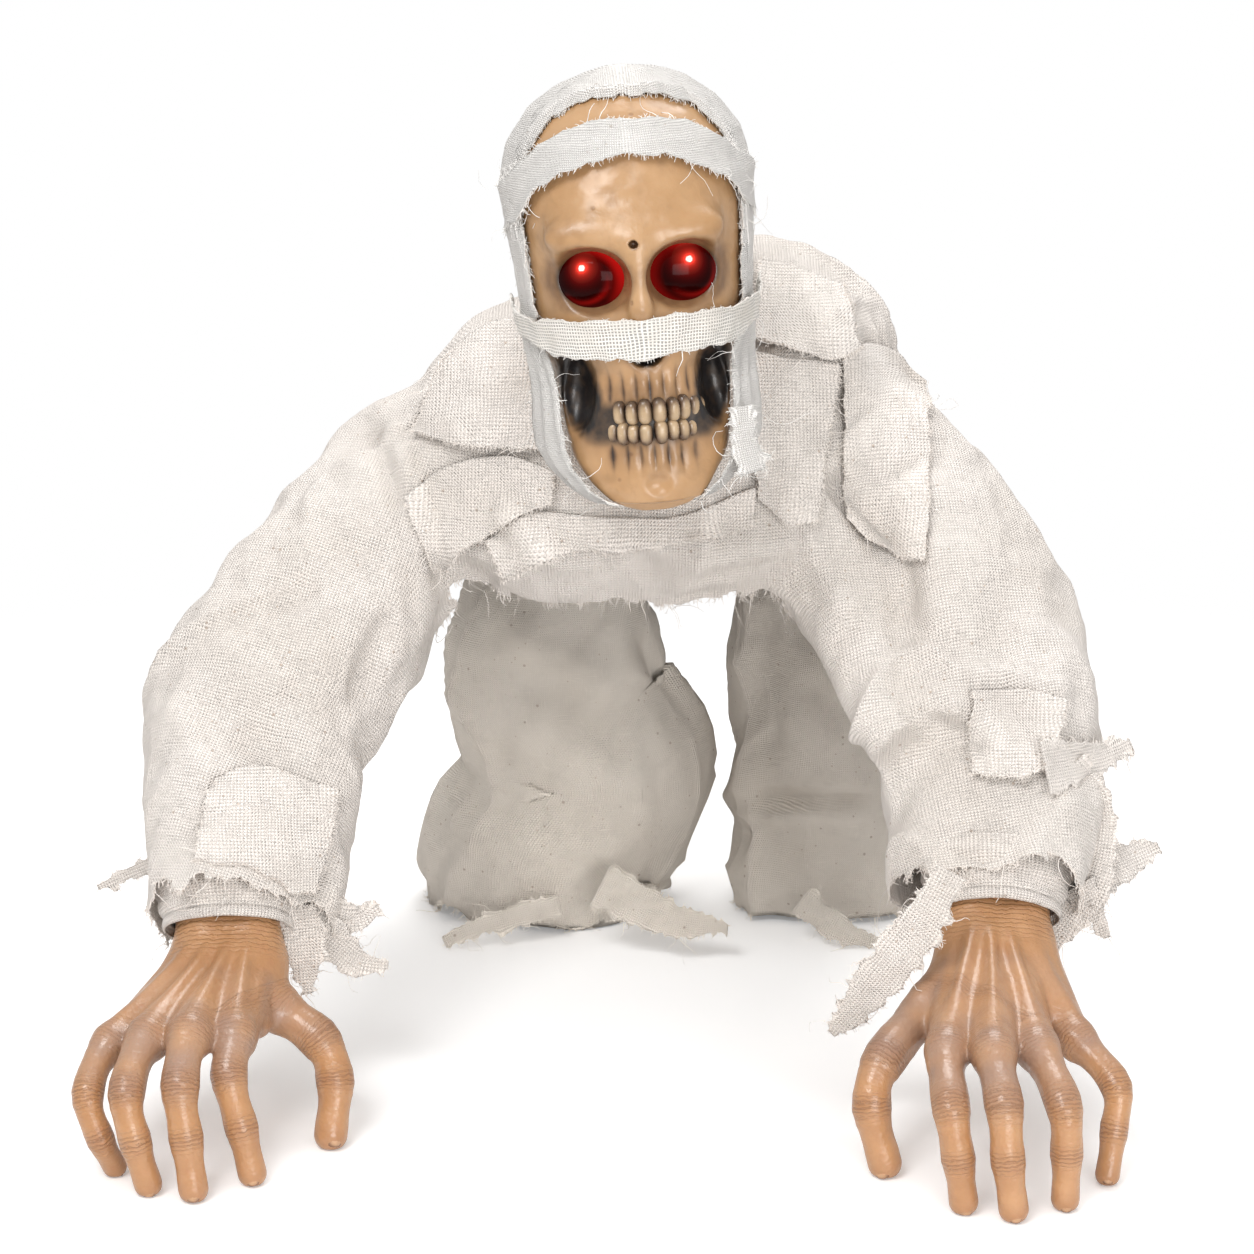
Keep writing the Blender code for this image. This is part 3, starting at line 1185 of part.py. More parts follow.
def inner_rows(outer, wall):
    """Rows one wall thickness inside a closed grid of rows."""
    last, count = len(outer) - 1, len(outer[0])
    inner = []
    for row, line in enumerate(outer):
        above, below = outer[min(row + 1, last)], outer[max(row - 1, 0)]
        inner.append([])
        for i, point in enumerate(line):
            around = line[(i + 1) % count] - line[i - 1]
            inner[-1].append(point - around.cross(above[i] - below[i]).normalized() * wall)
    return inner


def shirt_point(row, angle):
    """Point of the shirt on one of its rows, at an angle from the front."""
    front_z, side_z, back_z, front_half, back_half, front, back, tilt = row
    sine, cosine = math.sin(angle), math.cos(angle)
    rear = 0.5 - 0.5 * cosine
    end_z = front_z if cosine > 0 else back_z
    height = SHOULDER_Z * (side_z * sine ** 2 + end_z * cosine ** 2)
    half = SHIRT_HALF_SPAN * (front_half + (back_half - front_half) * rear)
    y_front = SHOULDER_Y - SHIRT_FRONT_REACH * front
    y_back = SHOULDER_Y + SHIRT_BACK_REACH * back
    reach = (y_back - y_front) / 2
    y = (y_front + y_back) / 2 - reach * rounded(cosine, SHIRT_SQUARE_SHARE)
    lean = max(0.0, (y - SHOULDER_Y) / (HIP_Y - SHOULDER_Y))
    x = SHOULDER_X + (HIP_X - SHOULDER_X) * lean + half * rounded(sine, SHIRT_SQUARE_SHARE)
    x += SHIRT_HALF_SPAN * tilt * rear
    return Vector((x, y, height))


def shirt_rows(count=33, rows=12):
    """Outer and inner rows of the shirt from the hem to the collar."""
    outer = []
    for step in range(count):
        angle = TAU * step / count
        line = smooth_path([shirt_point(row, angle) for row in SHIRT_ROW_SHARES], rows)
        for i, point in enumerate(line):
            away = Vector((point.x - SHOULDER_X, point.y - SHOULDER_Y, 0.0)).normalized()
            strength = 1.0 - i / (rows - 1)
            point += away * fold(angle * 2.0, i / rows * 0.4, 0.4, 3.0) * strength
        outer.append(line)
    outer = [list(line) for line in zip(*outer)]
    return outer, inner_rows(outer, CLOTH_WALL)


def make_shirt():
    """Loose shirt over the frame, open at the neck, the sleeves and the hem."""
    outer, inner = shirt_rows()
    shirt = add("shirt", shell_mesh("shirt", outer, inner), MUSLIN)
    for side, sign in SIGN.items():
        path, widths, depths = sleeve_path(side)
        across = Vector((sign, 0.0, 0.35))
        rings, _ = cloth_tube(path, widths, depths, across, 18, 0.6 + sign, grow=ARMHOLE_GAP)
        rings = [[p - directions(path)[0] * ARM_SOCKET_DEPTH for p in rings[0]]] + rings[:8]
        hole = add(side + "_armhole", solid_mesh(side + "_armhole", rings))
        combine(shirt, hole, "DIFFERENCE", "MANIFOLD")


def make_back_hoop():
    """Bent rod from the yoke's beam that holds up the hunched back of the shirt."""
    outer, _ = shirt_rows()
    level = round(HOOP_LEVEL_SHARE * (len(outer) - 1))
    under = inner_rows(outer, CLOTH_WALL + HOOP_SEAT + HOOP_RADIUS)[level]
    count = len(under)
    first, last = round(count * HOOP_START_SHARE), round(count * (1.0 - HOOP_START_SHARE))
    rise = Vector((0.0, 0.0, HOOP_SOCKET_DEPTH * 2))
    right, left = (hoop_foot(SIGN[side]) + Vector((0.0, 0.0, GAP)) for side in ("right", "left"))
    path = [left, left + rise, *under[first:last + 1], right + rise, right]
    rod("back_hoop", path, HOOP_RADIUS, STEEL)


clear_scene()
ROOT = figure_root()
STEEL = material("steel_tube", (0.35, 0.36, 0.37), 0.35, 1.0)
METAL = material("plain_metal", (0.55, 0.56, 0.57), 0.40, 1.0)
RUBBER = material("rubber", (0.03, 0.03, 0.03), 0.80)
DARK_PLASTIC = material("dark_plastic", (0.04, 0.04, 0.045), 0.50)
GREY_PLASTIC = material("grey_plastic", (0.30, 0.30, 0.31), 0.50)
RED_PLASTIC = material("red_plastic", (0.55, 0.03, 0.03), 0.40)
BOARD = material("circuit_board", (0.04, 0.20, 0.08), 0.45)
SKIN = material("hand_skin", (0.60, 0.31, 0.15), 0.35)
BONE = material("skull_bone", (0.62, 0.38, 0.19), 0.35)
LENS = material("red_lens", (0.45, 0.01, 0.01), 0.08)
LAMP = material("lamp", (0.90, 0.10, 0.08), 0.20)
MUSLIN = material("muslin", (0.86, 0.83, 0.77), 0.90)

make_legs()
make_hip_housing()
make_hip_parts()
make_chest()
make_spine()
make_yoke()
make_crank()
make_neck()
make_arms()
make_hands()
make_skull()
make_eyes()
make_hood()
make_wrappings()
make_sleeves()
make_trousers()
make_shirt()
make_back_hoop()
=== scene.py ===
"""Looks of the crawling mummy figure: cloth, bandages, skull, eyes, hands and studio."""
import json
import math

import bpy
import numpy as np
import openvdb as vdb
from mathutils import Matrix, Vector
from mathutils.bvhtree import BVHTree


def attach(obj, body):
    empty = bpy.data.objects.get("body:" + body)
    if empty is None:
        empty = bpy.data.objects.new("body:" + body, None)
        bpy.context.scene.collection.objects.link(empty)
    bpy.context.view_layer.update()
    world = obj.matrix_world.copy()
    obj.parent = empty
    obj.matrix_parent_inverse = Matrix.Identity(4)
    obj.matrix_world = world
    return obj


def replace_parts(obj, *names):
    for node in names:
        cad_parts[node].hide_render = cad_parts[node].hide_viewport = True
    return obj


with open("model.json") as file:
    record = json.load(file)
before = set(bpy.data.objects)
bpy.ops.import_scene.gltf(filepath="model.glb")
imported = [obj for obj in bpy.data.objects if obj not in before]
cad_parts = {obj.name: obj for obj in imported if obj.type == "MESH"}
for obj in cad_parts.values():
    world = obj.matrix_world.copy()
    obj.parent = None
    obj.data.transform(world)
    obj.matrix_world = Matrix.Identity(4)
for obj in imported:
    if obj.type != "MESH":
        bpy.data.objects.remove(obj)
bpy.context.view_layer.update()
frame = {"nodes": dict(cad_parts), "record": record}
TAU = math.tau

# The same measures as the solids have, in metres
SHIFT = np.array((0.0046, 0.015, 0.0))
SHOULDER = np.array((0.008, 0.065, 0.366))
SHOULDER_HALF = 0.141
HIP = np.array((0.041, 0.200, 0.300))
NECK = np.array((0.005, -0.015, 0.0))
SIGN = {"right": -1.0, "left": 1.0}
WRIST_OUT = {"right": 0.104, "left": 0.070}
WRIST_FORWARD = 0.220
WRIST_Z = {"right": 0.094, "left": 0.104}
HAND_LENGTH = 0.190
FINGER_RADIUS = 0.0094
FOREARM_STUB = 0.050
LEG_OUT = {"right": 0.097, "left": 0.098}
TROUSER_TOP = 0.300 - 0.031 - 0.0025 - 0.004 - 0.0003
HEAD_MIDDLE = (0.0044, -0.055)
CHIN_Z = 0.3645
HEAD_HEIGHT = 0.2395
HEAD_HALF_WIDTH = 0.072
HEAD_FRONT = 0.090
HEAD_BACK = 0.088
HEAD_ROLL = math.radians(4.6)
HEAD_YAW = math.radians(2.0)
FACE_SQUARE = 0.86
EYE_SPREAD = 0.0285
EYE_LEVEL = 0.548
HAND_SHARES = {
    "right": {
        "index": ((-0.07, 0.39, 0.40), (-0.06, 0.49, 0.31), (-0.10, 0.55, 0.17), (-0.13, 0.57)),
        "middle": ((0.06, 0.44, 0.42), (0.07, 0.60, 0.32), (0.05, 0.65, 0.18), (0.03, 0.68)),
        "ring": ((0.19, 0.41, 0.40), (0.23, 0.59, 0.30), (0.20, 0.65, 0.17), (0.17, 0.64)),
        "little": ((0.31, 0.36, 0.36), (0.36, 0.51, 0.26), (0.32, 0.56, 0.14), (0.29, 0.51)),
        "thumb": ((-0.16, 0.12, 0.38), (-0.30, 0.19, 0.30), (-0.35, 0.24, 0.19), (-0.34, 0.31)),
    },
    "left": {
        "index": ((-0.20, 0.49, 0.40), (-0.21, 0.72, 0.31), (-0.19, 0.77, 0.17), (-0.17, 0.76)),
        "middle": ((-0.07, 0.57, 0.42), (-0.06, 0.75, 0.33), (-0.05, 0.80, 0.18), (-0.03, 0.81)),
        "ring": ((0.07, 0.49, 0.40), (0.12, 0.70, 0.31), (0.13, 0.73, 0.17), (0.13, 0.74)),
        "little": ((0.21, 0.33, 0.36), (0.31, 0.47, 0.27), (0.30, 0.53, 0.15), (0.28, 0.57)),
        "thumb": ((-0.21, 0.18, 0.42), (-0.38, 0.40, 0.32), (-0.42, 0.48, 0.21), (-0.38, 0.51)),
    },
}
TIP_HEIGHT_SHARE = 0.82
FINGER_WIDTH = {"index": 1.0, "middle": 1.02, "ring": 0.97, "little": 0.86, "thumb": 1.18}
FINGER_TAPER = (0.86, 1.16, 1.0, 0.90, 0.80)
FOUR_FINGERS = ("index", "middle", "ring", "little")
ELBOW_SHARES = {"right": (1.05, 0.42, 0.46), "left": (1.15, 0.42, 0.47)}
SLEEVE_PATH = {
    "right": ((-0.36, 0.02, 0.00), (0.04, 0.09, 0.11), (0.52, 0.29, 0.36), (0.90, 0.47, 0.58),
              (0.95, 0.64, 0.75), (0.99, 0.90, 0.94)),
    "left": ((-0.50, 0.02, 0.00), (0.14, 0.09, 0.09), (0.80, 0.29, 0.30), (1.08, 0.47, 0.56),
             (1.10, 0.62, 0.74), (1.00, 0.90, 0.93)),
}
SLEEVE_WIDTH = {
    "right": (0.74, 0.90, 1.00, 1.02, 0.98, 0.86),
    "left": (0.74, 0.88, 0.92, 0.98, 0.96, 0.84),
}
SLEEVE_HALF = (0.066, 0.056)
TROUSER_PATH = {
    "right": ((-0.86, 1.00), (-0.95, 0.60), (-0.70, 0.38), (-0.98, 0.18), (-1.05, 0.0)),
    "left": ((0.90, 1.00), (0.98, 0.72), (1.04, 0.45), (1.02, 0.18), (1.02, 0.0)),
}
TROUSER_WIDTH = {
    "right": (0.66, 0.94, 1.02, 1.16, 1.06),
    "left": (0.68, 0.84, 0.86, 0.84, 0.82),
}
TROUSER_HALF = (0.076, 0.064)
SHIRT_ROWS = (
    (0.743, 0.680, 0.660, 0.92, 1.38, 0.56, 1.00, 0.00),
    (0.860, 0.830, 0.800, 0.95, 1.32, 0.98, 1.00, 0.00),
    (1.000, 1.050, 0.980, 0.94, 1.04, 1.02, 0.93, 0.06),
    (1.075, 1.210, 1.170, 0.80, 0.84, 0.98, 0.72, 0.20),
    (1.095, 1.225, 1.310, 0.50, 0.60, 0.93, 0.32, 0.32),
    (1.100, 1.120, 1.170, 0.25, 0.25, 0.92, -0.19, 0.00),
)
SHIRT_HALF_SPAN = 0.150
SHIRT_FRONT = 0.120
SHIRT_BACK = 0.217
SHIRT_SQUARE = 0.77
SKULL_ROWS = (
    (-0.01, 0.10, 0.80, -0.86), (0.015, 0.34, 0.93, -0.80), (0.05, 0.49, 0.97, -0.66),
    (0.10, 0.61, 0.985, -0.50), (0.14, 0.66, 0.985, -0.38), (0.20, 0.69, 1.00, -0.26),
    (0.26, 0.705, 0.985, -0.12), (0.29, 0.72, 0.965, 0.10), (0.32, 0.75, 0.95, 0.42),
    (0.37, 0.82, 0.94, 0.74), (0.43, 0.89, 0.935, 0.88), (0.50, 0.92, 0.93, 0.95),
    (0.58, 0.935, 0.945, 0.99), (0.66, 0.96, 0.925, 1.00), (0.76, 0.98, 0.86, 0.97),
    (0.85, 0.90, 0.74, 0.86), (0.92, 0.72, 0.57, 0.67), (0.97, 0.47, 0.37, 0.43),
    (0.993, 0.21, 0.17, 0.20), (1.0, 0.02, 0.02, 0.02),
)

# Camera of the photograph
CAMERA_AT = Vector((0.0046, -1.815, 0.746))
CAMERA_DOWN = math.radians(15.0)
FOCAL_PIXELS = 3010.0
PHOTO_HALF = 627.0


# Studio

FLOOR_LIFT = 0.20
FLOOR_REACH = 1.6
FLOOR_GAP = 0.0004


def make_camera():
    """The photograph's camera: its place, downward tilt and focal length."""
    data = bpy.data.cameras.new("camera")
    data.sensor_width = 36.0
    data.lens = FOCAL_PIXELS * 36.0 / (PHOTO_HALF * 2)
    camera = bpy.data.objects.new("camera", data)
    camera.location = CAMERA_AT
    camera.rotation_euler = (math.pi / 2 - CAMERA_DOWN, 0.0, 0.0)
    bpy.context.scene.collection.objects.link(camera)
    bpy.context.scene.camera = camera


def area_light(name, at, aim, size, power):
    """Rectangular light at a place, aimed at a point."""
    data = bpy.data.lights.new(name, "AREA")
    data.shape = "RECTANGLE"
    data.size, data.size_y = size
    data.energy = power
    lamp = bpy.data.objects.new(name, data)
    lamp.location = at
    lamp.rotation_euler = (Vector(aim) - Vector(at)).to_track_quat("-Z", "Y").to_euler()
    bpy.context.scene.collection.objects.link(lamp)


def make_lights():
    """Soft key light from the figure's right, weaker fill and a light from above."""
    area_light("key", (-0.8, -1.5, 2.1), (0.0, 0.0, 0.25), (1.1, 0.9), 33.0)
    area_light("fill", (0.7, -2.3, 0.6), (0.0, 0.0, 0.2), (1.2, 1.0), 25.0)
    area_light("top", (0.2, 0.8, 2.0), (0.0, 0.05, 0.3), (1.2, 0.9), 22.0)


def make_world():
    """White background to the camera, slightly warm and weaker as ambient light."""
    world = bpy.data.worlds.new("studio")
    bpy.context.scene.world = world
    world.use_nodes = True
    tree = world.node_tree
    tree.nodes.clear()
    path = tree.nodes.new("ShaderNodeLightPath")
    seen = tree.nodes.new("ShaderNodeMath")
    seen.operation = "MAXIMUM"
    tree.links.new(path.outputs["Is Camera Ray"], seen.inputs[0])
    tree.links.new(path.outputs["Is Transmission Ray"], seen.inputs[1])
    ambient = tree.nodes.new("ShaderNodeBackground")
    ambient.inputs["Color"].default_value = (1.0, 0.978, 0.965, 1.0)
    ambient.inputs["Strength"].default_value = 0.62
    white = tree.nodes.new("ShaderNodeBackground")
    white.inputs["Color"].default_value = (1.0, 1.0, 1.0, 1.0)
    mix = tree.nodes.new("ShaderNodeMixShader")
    out = tree.nodes.new("ShaderNodeOutputWorld")
    tree.links.new(seen.outputs[0], mix.inputs[0])
    tree.links.new(ambient.outputs[0], mix.inputs[1])
    tree.links.new(white.outputs[0], mix.inputs[2])
    tree.links.new(mix.outputs[0], out.inputs["Surface"])


def make_floor():
    """Near-white floor that fades into the background."""
    mesh = bpy.data.meshes.new("studio_floor")
    corners = [(-FLOOR_REACH, -FLOOR_REACH, 0), (FLOOR_REACH, -FLOOR_REACH, 0),
               (FLOOR_REACH, FLOOR_REACH, 0), (-FLOOR_REACH, FLOOR_REACH, 0)]
    mesh.from_pydata(corners, [], [(0, 1, 2, 3)])
    floor = bpy.data.objects.new("studio_floor", mesh)
    floor.location.z = -FLOOR_GAP
    bpy.context.scene.collection.objects.link(floor)
    node = Nodes("studio_floor")
    node.set("Base Color", (0.93, 0.93, 0.93))
    node.set("Roughness", 0.9)
    light_path = node.new("ShaderNodeLightPath")
    lift = node.new("ShaderNodeEmission")
    lift.inputs["Color"].default_value = (1.0, 1.0, 1.0, 1.0)
    node.link(node.math("MULTIPLY", light_path.outputs["Is Camera Ray"], FLOOR_LIFT),
              lift.inputs["Strength"])
    both = node.new("ShaderNodeAddShader")
    node.link(node.shader.outputs[0], both.inputs[0])
    node.link(lift.outputs[0], both.inputs[1])
    far = node.new("ShaderNodeVectorMath")
    far.operation = "LENGTH"
    node.link(node.coords(), far.inputs[0])
    clear = node.new("ShaderNodeBsdfTransparent")
    fade = node.new("ShaderNodeMixShader")
    node.link(node.span(far.outputs["Value"], 0.50, 1.20), fade.inputs[0])
    node.link(both.outputs[0], fade.inputs[1])
    node.link(clear.outputs[0], fade.inputs[2])
    node.link(fade.outputs[0], node.out.inputs["Surface"])
    mesh.materials.append(node.material)


# Materials

class Nodes:
    """A Principled material with short ways to add nodes."""

    def __init__(self, name):
        self.material = bpy.data.materials.new(name)
        self.material.use_nodes = True
        self.tree = self.material.node_tree
        self.shader = self.tree.nodes["Principled BSDF"]
        self.out = self.tree.nodes["Material Output"]

    def new(self, kind):
        return self.tree.nodes.new(kind)

    def link(self, a, b):
        self.tree.links.new(a, b)

    def feed(self, socket, value):
        """Link a socket to an input, or set the input's value."""
        if isinstance(value, bpy.types.NodeSocket):
            self.link(value, socket)
        elif isinstance(value, (tuple, list)):
            socket.default_value = (*value, 1.0) if len(socket.default_value) == 4 else value
        else:
            socket.default_value = value

    def set(self, name, value):
        """Feed an input of the Principled shader."""
        self.feed(self.shader.inputs[name], value)

    def math(self, operation, a, b=0.0, c=0.0, clamp=False):
        node = self.new("ShaderNodeMath")
        node.operation = operation
        node.use_clamp = clamp
        for socket, value in zip(node.inputs, (a, b, c)):
            self.feed(socket, value)
        return node.outputs[0]

    def mix(self, factor, a, b, blend="MIX"):
        node = self.new("ShaderNodeMix")
        node.data_type = "RGBA"
        node.blend_type = blend
        node.clamp_factor = True
        self.feed(node.inputs[0], factor)
        self.feed(node.inputs[6], a)
        self.feed(node.inputs[7], b)
        return node.outputs[2]

    def coords(self, kind="Object"):
        return self.new("ShaderNodeTexCoord").outputs[kind]

    def scaled(self, vector, scale):
        node = self.new("ShaderNodeMapping")
        self.feed(node.inputs["Vector"], vector)
        node.inputs["Scale"].default_value = scale
        return node.outputs[0]

    def noise(self, vector, scale, detail=3.0, rough=0.5, distort=0.0):
        node = self.new("ShaderNodeTexNoise")
        self.feed(node.inputs["Vector"], vector)
        node.inputs["Scale"].default_value = scale
        node.inputs["Detail"].default_value = detail
        node.inputs["Roughness"].default_value = rough
        node.inputs["Distortion"].default_value = distort
        return node.outputs[0]

    def voronoi(self, vector, scale):
        node = self.new("ShaderNodeTexVoronoi")
        self.feed(node.inputs["Vector"], vector)
        node.inputs["Scale"].default_value = scale
        return node.outputs["Distance"], node.outputs["Color"]

    def span(self, value, low, high, start=0.0, end=1.0):
        node = self.new("ShaderNodeMapRange")
        node.interpolation_type = "SMOOTHSTEP"
        self.feed(node.inputs[0], value)
        for k, number in enumerate((low, high, start, end)):
            node.inputs[k + 1].default_value = number
        return node.outputs[0]

    def attribute(self, name):
        node = self.new("ShaderNodeAttribute")
        node.attribute_name = name
        return node.outputs["Fac"]

    def bump(self, height, distance, strength=1.0, before=None):
        node = self.new("ShaderNodeBump")
        node.inputs["Strength"].default_value = strength
        node.inputs["Distance"].default_value = distance
        self.feed(node.inputs["Height"], height)
        if before is not None:
            self.link(before, node.inputs["Normal"])
        return node.outputs[0]

    def normal(self, value):
        self.set("Normal", value)


def weave(node, pitch, wobble=0.35):
    """Height of a plain weave, the streaks of its uneven threads and its two waves, over the weave UV."""
    uv = node.new("ShaderNodeUVMap")
    uv.uv_map = "weave"
    place = uv.outputs[0]
    split = node.new("ShaderNodeSeparateXYZ")
    node.link(place, split.inputs[0])
    drift = node.noise(place, 90.0, 2.0)
    waves = []
    for axis in (0, 1):
        phase = node.math("MULTIPLY_ADD", split.outputs[axis], TAU / pitch,
                          node.math("MULTIPLY", drift, wobble * TAU))
        waves.append(node.math("SINE", phase))
    both = node.math("MULTIPLY", waves[0], waves[1])
    height = node.math("MULTIPLY_ADD", both, 0.5, node.math("MULTIPLY", waves[0], 0.25))
    height = node.math("MULTIPLY_ADD", waves[1], 0.25, height)
    across = node.noise(node.scaled(place, (1.0, 12.0, 1.0)), 95.0, 2.0)
    along = node.noise(node.scaled(place, (12.0, 1.0, 1.0)), 95.0, 2.0)
    slub = node.math("ADD", node.span(across, 0.56, 0.74), node.span(along, 0.56, 0.74))
    return height, slub, waves


def cloth_material(name, light, shade, speck=0.5, pitch=0.0013, dirt=0.35):
    """Off-white woven cotton with flecks, slubs, a soft dirt variation and painted shade in the weave's
    hollows.
    """
    node = Nodes(name)
    height, slub, _ = weave(node, pitch)
    solid = node.coords()
    broad = node.noise(solid, 9.0, 4.0, 0.55)
    fine = node.noise(solid, 70.0, 3.0, 0.6)
    tone = node.mix(node.span(broad, 0.35, 0.75), light, shade)
    tone = node.mix(node.math("MULTIPLY", node.span(fine, 0.45, 0.8), dirt), tone,
                    tuple(c * 0.86 for c in shade))
    # Painted shade: darker where the weave is low, in the hollows between the threads
    tone = node.mix(node.math("MULTIPLY", node.span(height, -0.9, 0.1, 1.0, 0.0), 0.62), tone,
                    tuple(c * 0.68 for c in shade))
    tone = node.mix(node.math("MULTIPLY", slub, 0.5), tone, tuple(min(1.0, c * 1.07) for c in light))
    for scale, limit, size, colour in ((230.0, 0.965, 0.30, (0.33, 0.20, 0.11)),
                                       (420.0, 0.978, 0.33, (0.45, 0.31, 0.19))):
        distance, cell = node.voronoi(solid, scale)
        one = node.new("ShaderNodeSeparateColor")
        node.link(cell, one.inputs[0])
        some = node.math("GREATER_THAN", one.outputs[0], limit)
        spot = node.math("MULTIPLY", some, node.span(distance, size * 0.5, size, 1.0, 0.0))
        tone = node.mix(node.math("MULTIPLY", spot, speck), tone, colour)
    edge = node.attribute("edge")
    tone = node.mix(node.math("MULTIPLY", edge, 0.25), tone, tuple(min(1.0, c * 1.10) for c in light))
    node.set("Base Color", tone)
    node.set("Roughness", 0.92)
    node.set("Sheen Weight", 0.18)
    node.set("Sheen Roughness", 0.6)
    node.set("Specular IOR Level", 0.2)
    first = node.bump(fine, 0.004, 0.25)
    crumple = node.noise(solid, 26.0, 4.0, 0.55, 0.6)
    first = node.bump(crumple, 0.014, 0.45, first)
    node.normal(node.bump(node.math("MULTIPLY_ADD", slub, 0.6, height), 0.0009, 1.0, first))
    return node.material


def gauze_material(name):
    """Open-weave gauze: threads with clear gaps between them."""
    node = Nodes(name)
    _, _, waves = weave(node, 0.0019, 0.6)
    solid = node.coords()
    thin = node.noise(solid, 60.0, 3.0)
    cover = node.math("MAXIMUM", waves[0], waves[1])
    cover = node.math("ADD", cover, node.span(thin, 0.35, 0.7, -0.25, 0.75))
    alpha = node.span(cover, -0.15, 0.75, 0.42, 1.0)
    alpha = node.math("MAXIMUM", alpha, node.attribute("edge"))
    node.set("Base Color", node.mix(node.span(thin, 0.4, 0.7), (0.88, 0.85, 0.80), (0.79, 0.75, 0.69)))
    node.set("Alpha", alpha)
    node.set("Roughness", 0.9)
    node.normal(node.bump(cover, 0.0006, 0.8))
    return node.material


def bone_material(name, light, dark, wash, gloss=0.38):
    """Moulded bone: tan satin finish with brown and black washes in the hollows."""
    node = Nodes(name)
    solid = node.coords()
    broad = node.noise(solid, 22.0, 4.0, 0.6)
    mottle = node.noise(solid, 75.0, 4.0, 0.6, 0.4)
    tone = node.mix(node.span(broad, 0.3, 0.75), light, dark)
    tone = node.mix(node.math("MULTIPLY", node.span(mottle, 0.52, 0.75), 0.35), tone,
                    tuple(c * 0.72 for c in dark))
    distance, cell = node.voronoi(solid, 140.0)
    one = node.new("ShaderNodeSeparateColor")
    node.link(cell, one.inputs[0])
    pit = node.math("MULTIPLY", node.math("GREATER_THAN", one.outputs[0], 0.95),
                    node.span(distance, 0.10, 0.28, 1.0, 0.0))
    tone = node.mix(node.math("MULTIPLY", pit, 0.6), tone, (0.25, 0.13, 0.06))
    brown = node.attribute("brown")
    black = node.attribute("black")
    rough_edge = node.math("MULTIPLY_ADD", node.noise(solid, 160.0, 3.0), 0.5, -0.25)
    stain = node.math("ADD", brown, node.math("MULTIPLY", rough_edge, brown), clamp=True)
    tone = node.mix(stain, tone, wash)
    soot = node.math("ADD", black, node.math("MULTIPLY", rough_edge, black), clamp=True)
    tone = node.mix(soot, tone, (0.012, 0.010, 0.010))
    node.set("Base Color", tone)
    node.set("Roughness", node.span(mottle, 0.3, 0.8, gloss - 0.08, gloss + 0.12))
    node.set("Coat Weight", 0.25)
    node.set("Coat Roughness", 0.22)
    node.set("Subsurface Weight", 0.06)
    node.set("Subsurface Radius", (0.010, 0.005, 0.003))
    first = node.bump(broad, 0.004, 0.35)
    pits = node.math("MULTIPLY_ADD", pit, -1.0, mottle)
    node.normal(node.bump(pits, 0.0011, 0.45, first))
    return node.material


def skin_material(name):
    """Cast vinyl hand: glossy tan with bluish grey between the tendons, and fine creases darkened with
    painted shade.
    """
    node = Nodes(name)
    solid = node.coords()
    broad = node.noise(solid, 28.0, 4.0, 0.6)
    mottle = node.noise(solid, 140.0, 3.0, 0.6)
    tone = node.mix(node.span(broad, 0.3, 0.72), (0.50, 0.268, 0.126), (0.41, 0.205, 0.090))
    tone = node.mix(node.math("MULTIPLY", node.span(mottle, 0.5, 0.8), 0.4), tone, (0.40, 0.18, 0.085))
    tone = node.mix(node.math("MULTIPLY", node.attribute("tint"), 0.62), tone, (0.255, 0.185, 0.165))
    tone = node.mix(node.math("MULTIPLY", node.attribute("brown"), 0.8), tone, (0.27, 0.115, 0.055))
    crease = node.attribute("crease")
    along = node.attribute("along")
    wander = node.noise(solid, 240.0, 3.0)
    lines = node.math("SINE", node.math("MULTIPLY_ADD", along, 2600.0,
                                        node.math("MULTIPLY", wander, 9.0)))
    groove = node.math("MULTIPLY", node.span(lines, 0.1, 0.95), crease)
    # Painted shade: darker along the crease grooves, which the bump also presses in
    tone = node.mix(node.math("MULTIPLY", groove, 0.35), tone, (0.30, 0.135, 0.065))
    node.set("Base Color", tone)
    node.set("Roughness", node.span(mottle, 0.3, 0.8, 0.30, 0.44))
    node.set("Coat Weight", 0.35)
    node.set("Coat Roughness", 0.20)
    node.set("Subsurface Weight", 0.08)
    node.set("Subsurface Radius", (0.012, 0.005, 0.003))
    cells, _ = node.voronoi(node.scaled(solid, (1.0, 0.6, 1.0)), 420.0)
    first = node.bump(node.noise(solid, 55.0, 4.0, 0.6, 1.2), 0.004, 0.30)
    second = node.bump(cells, 0.0005, 0.40, first)
    node.normal(node.bump(node.math("MULTIPLY", groove, -1.0), 0.0010, 0.8, second))
    return node.material


def lens_material(name):
    """Dark red glossy dome, lit from behind by one lamp and round its rim."""
    node = Nodes(name)
    glow = node.attribute("glow")
    spot = node.attribute("spot")
    node.set("Base Color", node.mix(glow, (0.010, 0.0005, 0.0005), (0.30, 0.006, 0.005)))
    node.set("Roughness", 0.10)
    node.set("Specular IOR Level", 0.04)
    node.set("Coat Weight", 0.03)
    node.set("Coat Roughness", 0.05)
    hot = node.mix(node.span(spot, 0.55, 0.95), (1.0, 0.05, 0.03), (1.0, 0.80, 0.70))
    node.set("Emission Color", node.mix(node.math("GREATER_THAN", spot, 0.02), (0.95, 0.012, 0.010), hot))
    node.set("Emission Strength", node.math("ADD", node.math("MULTIPLY", glow, 1.15),
                                           node.math("MULTIPLY", spot, 2.6)))
    node.normal(node.bump(node.noise(node.coords(), 120.0, 2.0), 0.0004, 0.3))
    return node.material


def plastic_material(name, colour, roughness=0.5, grain=900.0):
    """Moulded plastic with a fine grain and small changes of tone."""
    node = Nodes(name)
    solid = node.coords()
    broad = node.noise(solid, 30.0, 3.0)
    fine = node.noise(solid, grain, 2.0)
    node.set("Base Color", node.mix(broad, tuple(c * 0.85 for c in colour),
                                   tuple(min(1.0, c * 1.15) for c in colour)))
    node.set("Roughness", node.span(broad, 0.3, 0.7, roughness - 0.06, roughness + 0.08))
    node.normal(node.bump(fine, 0.0003, 0.35))
    return node.material


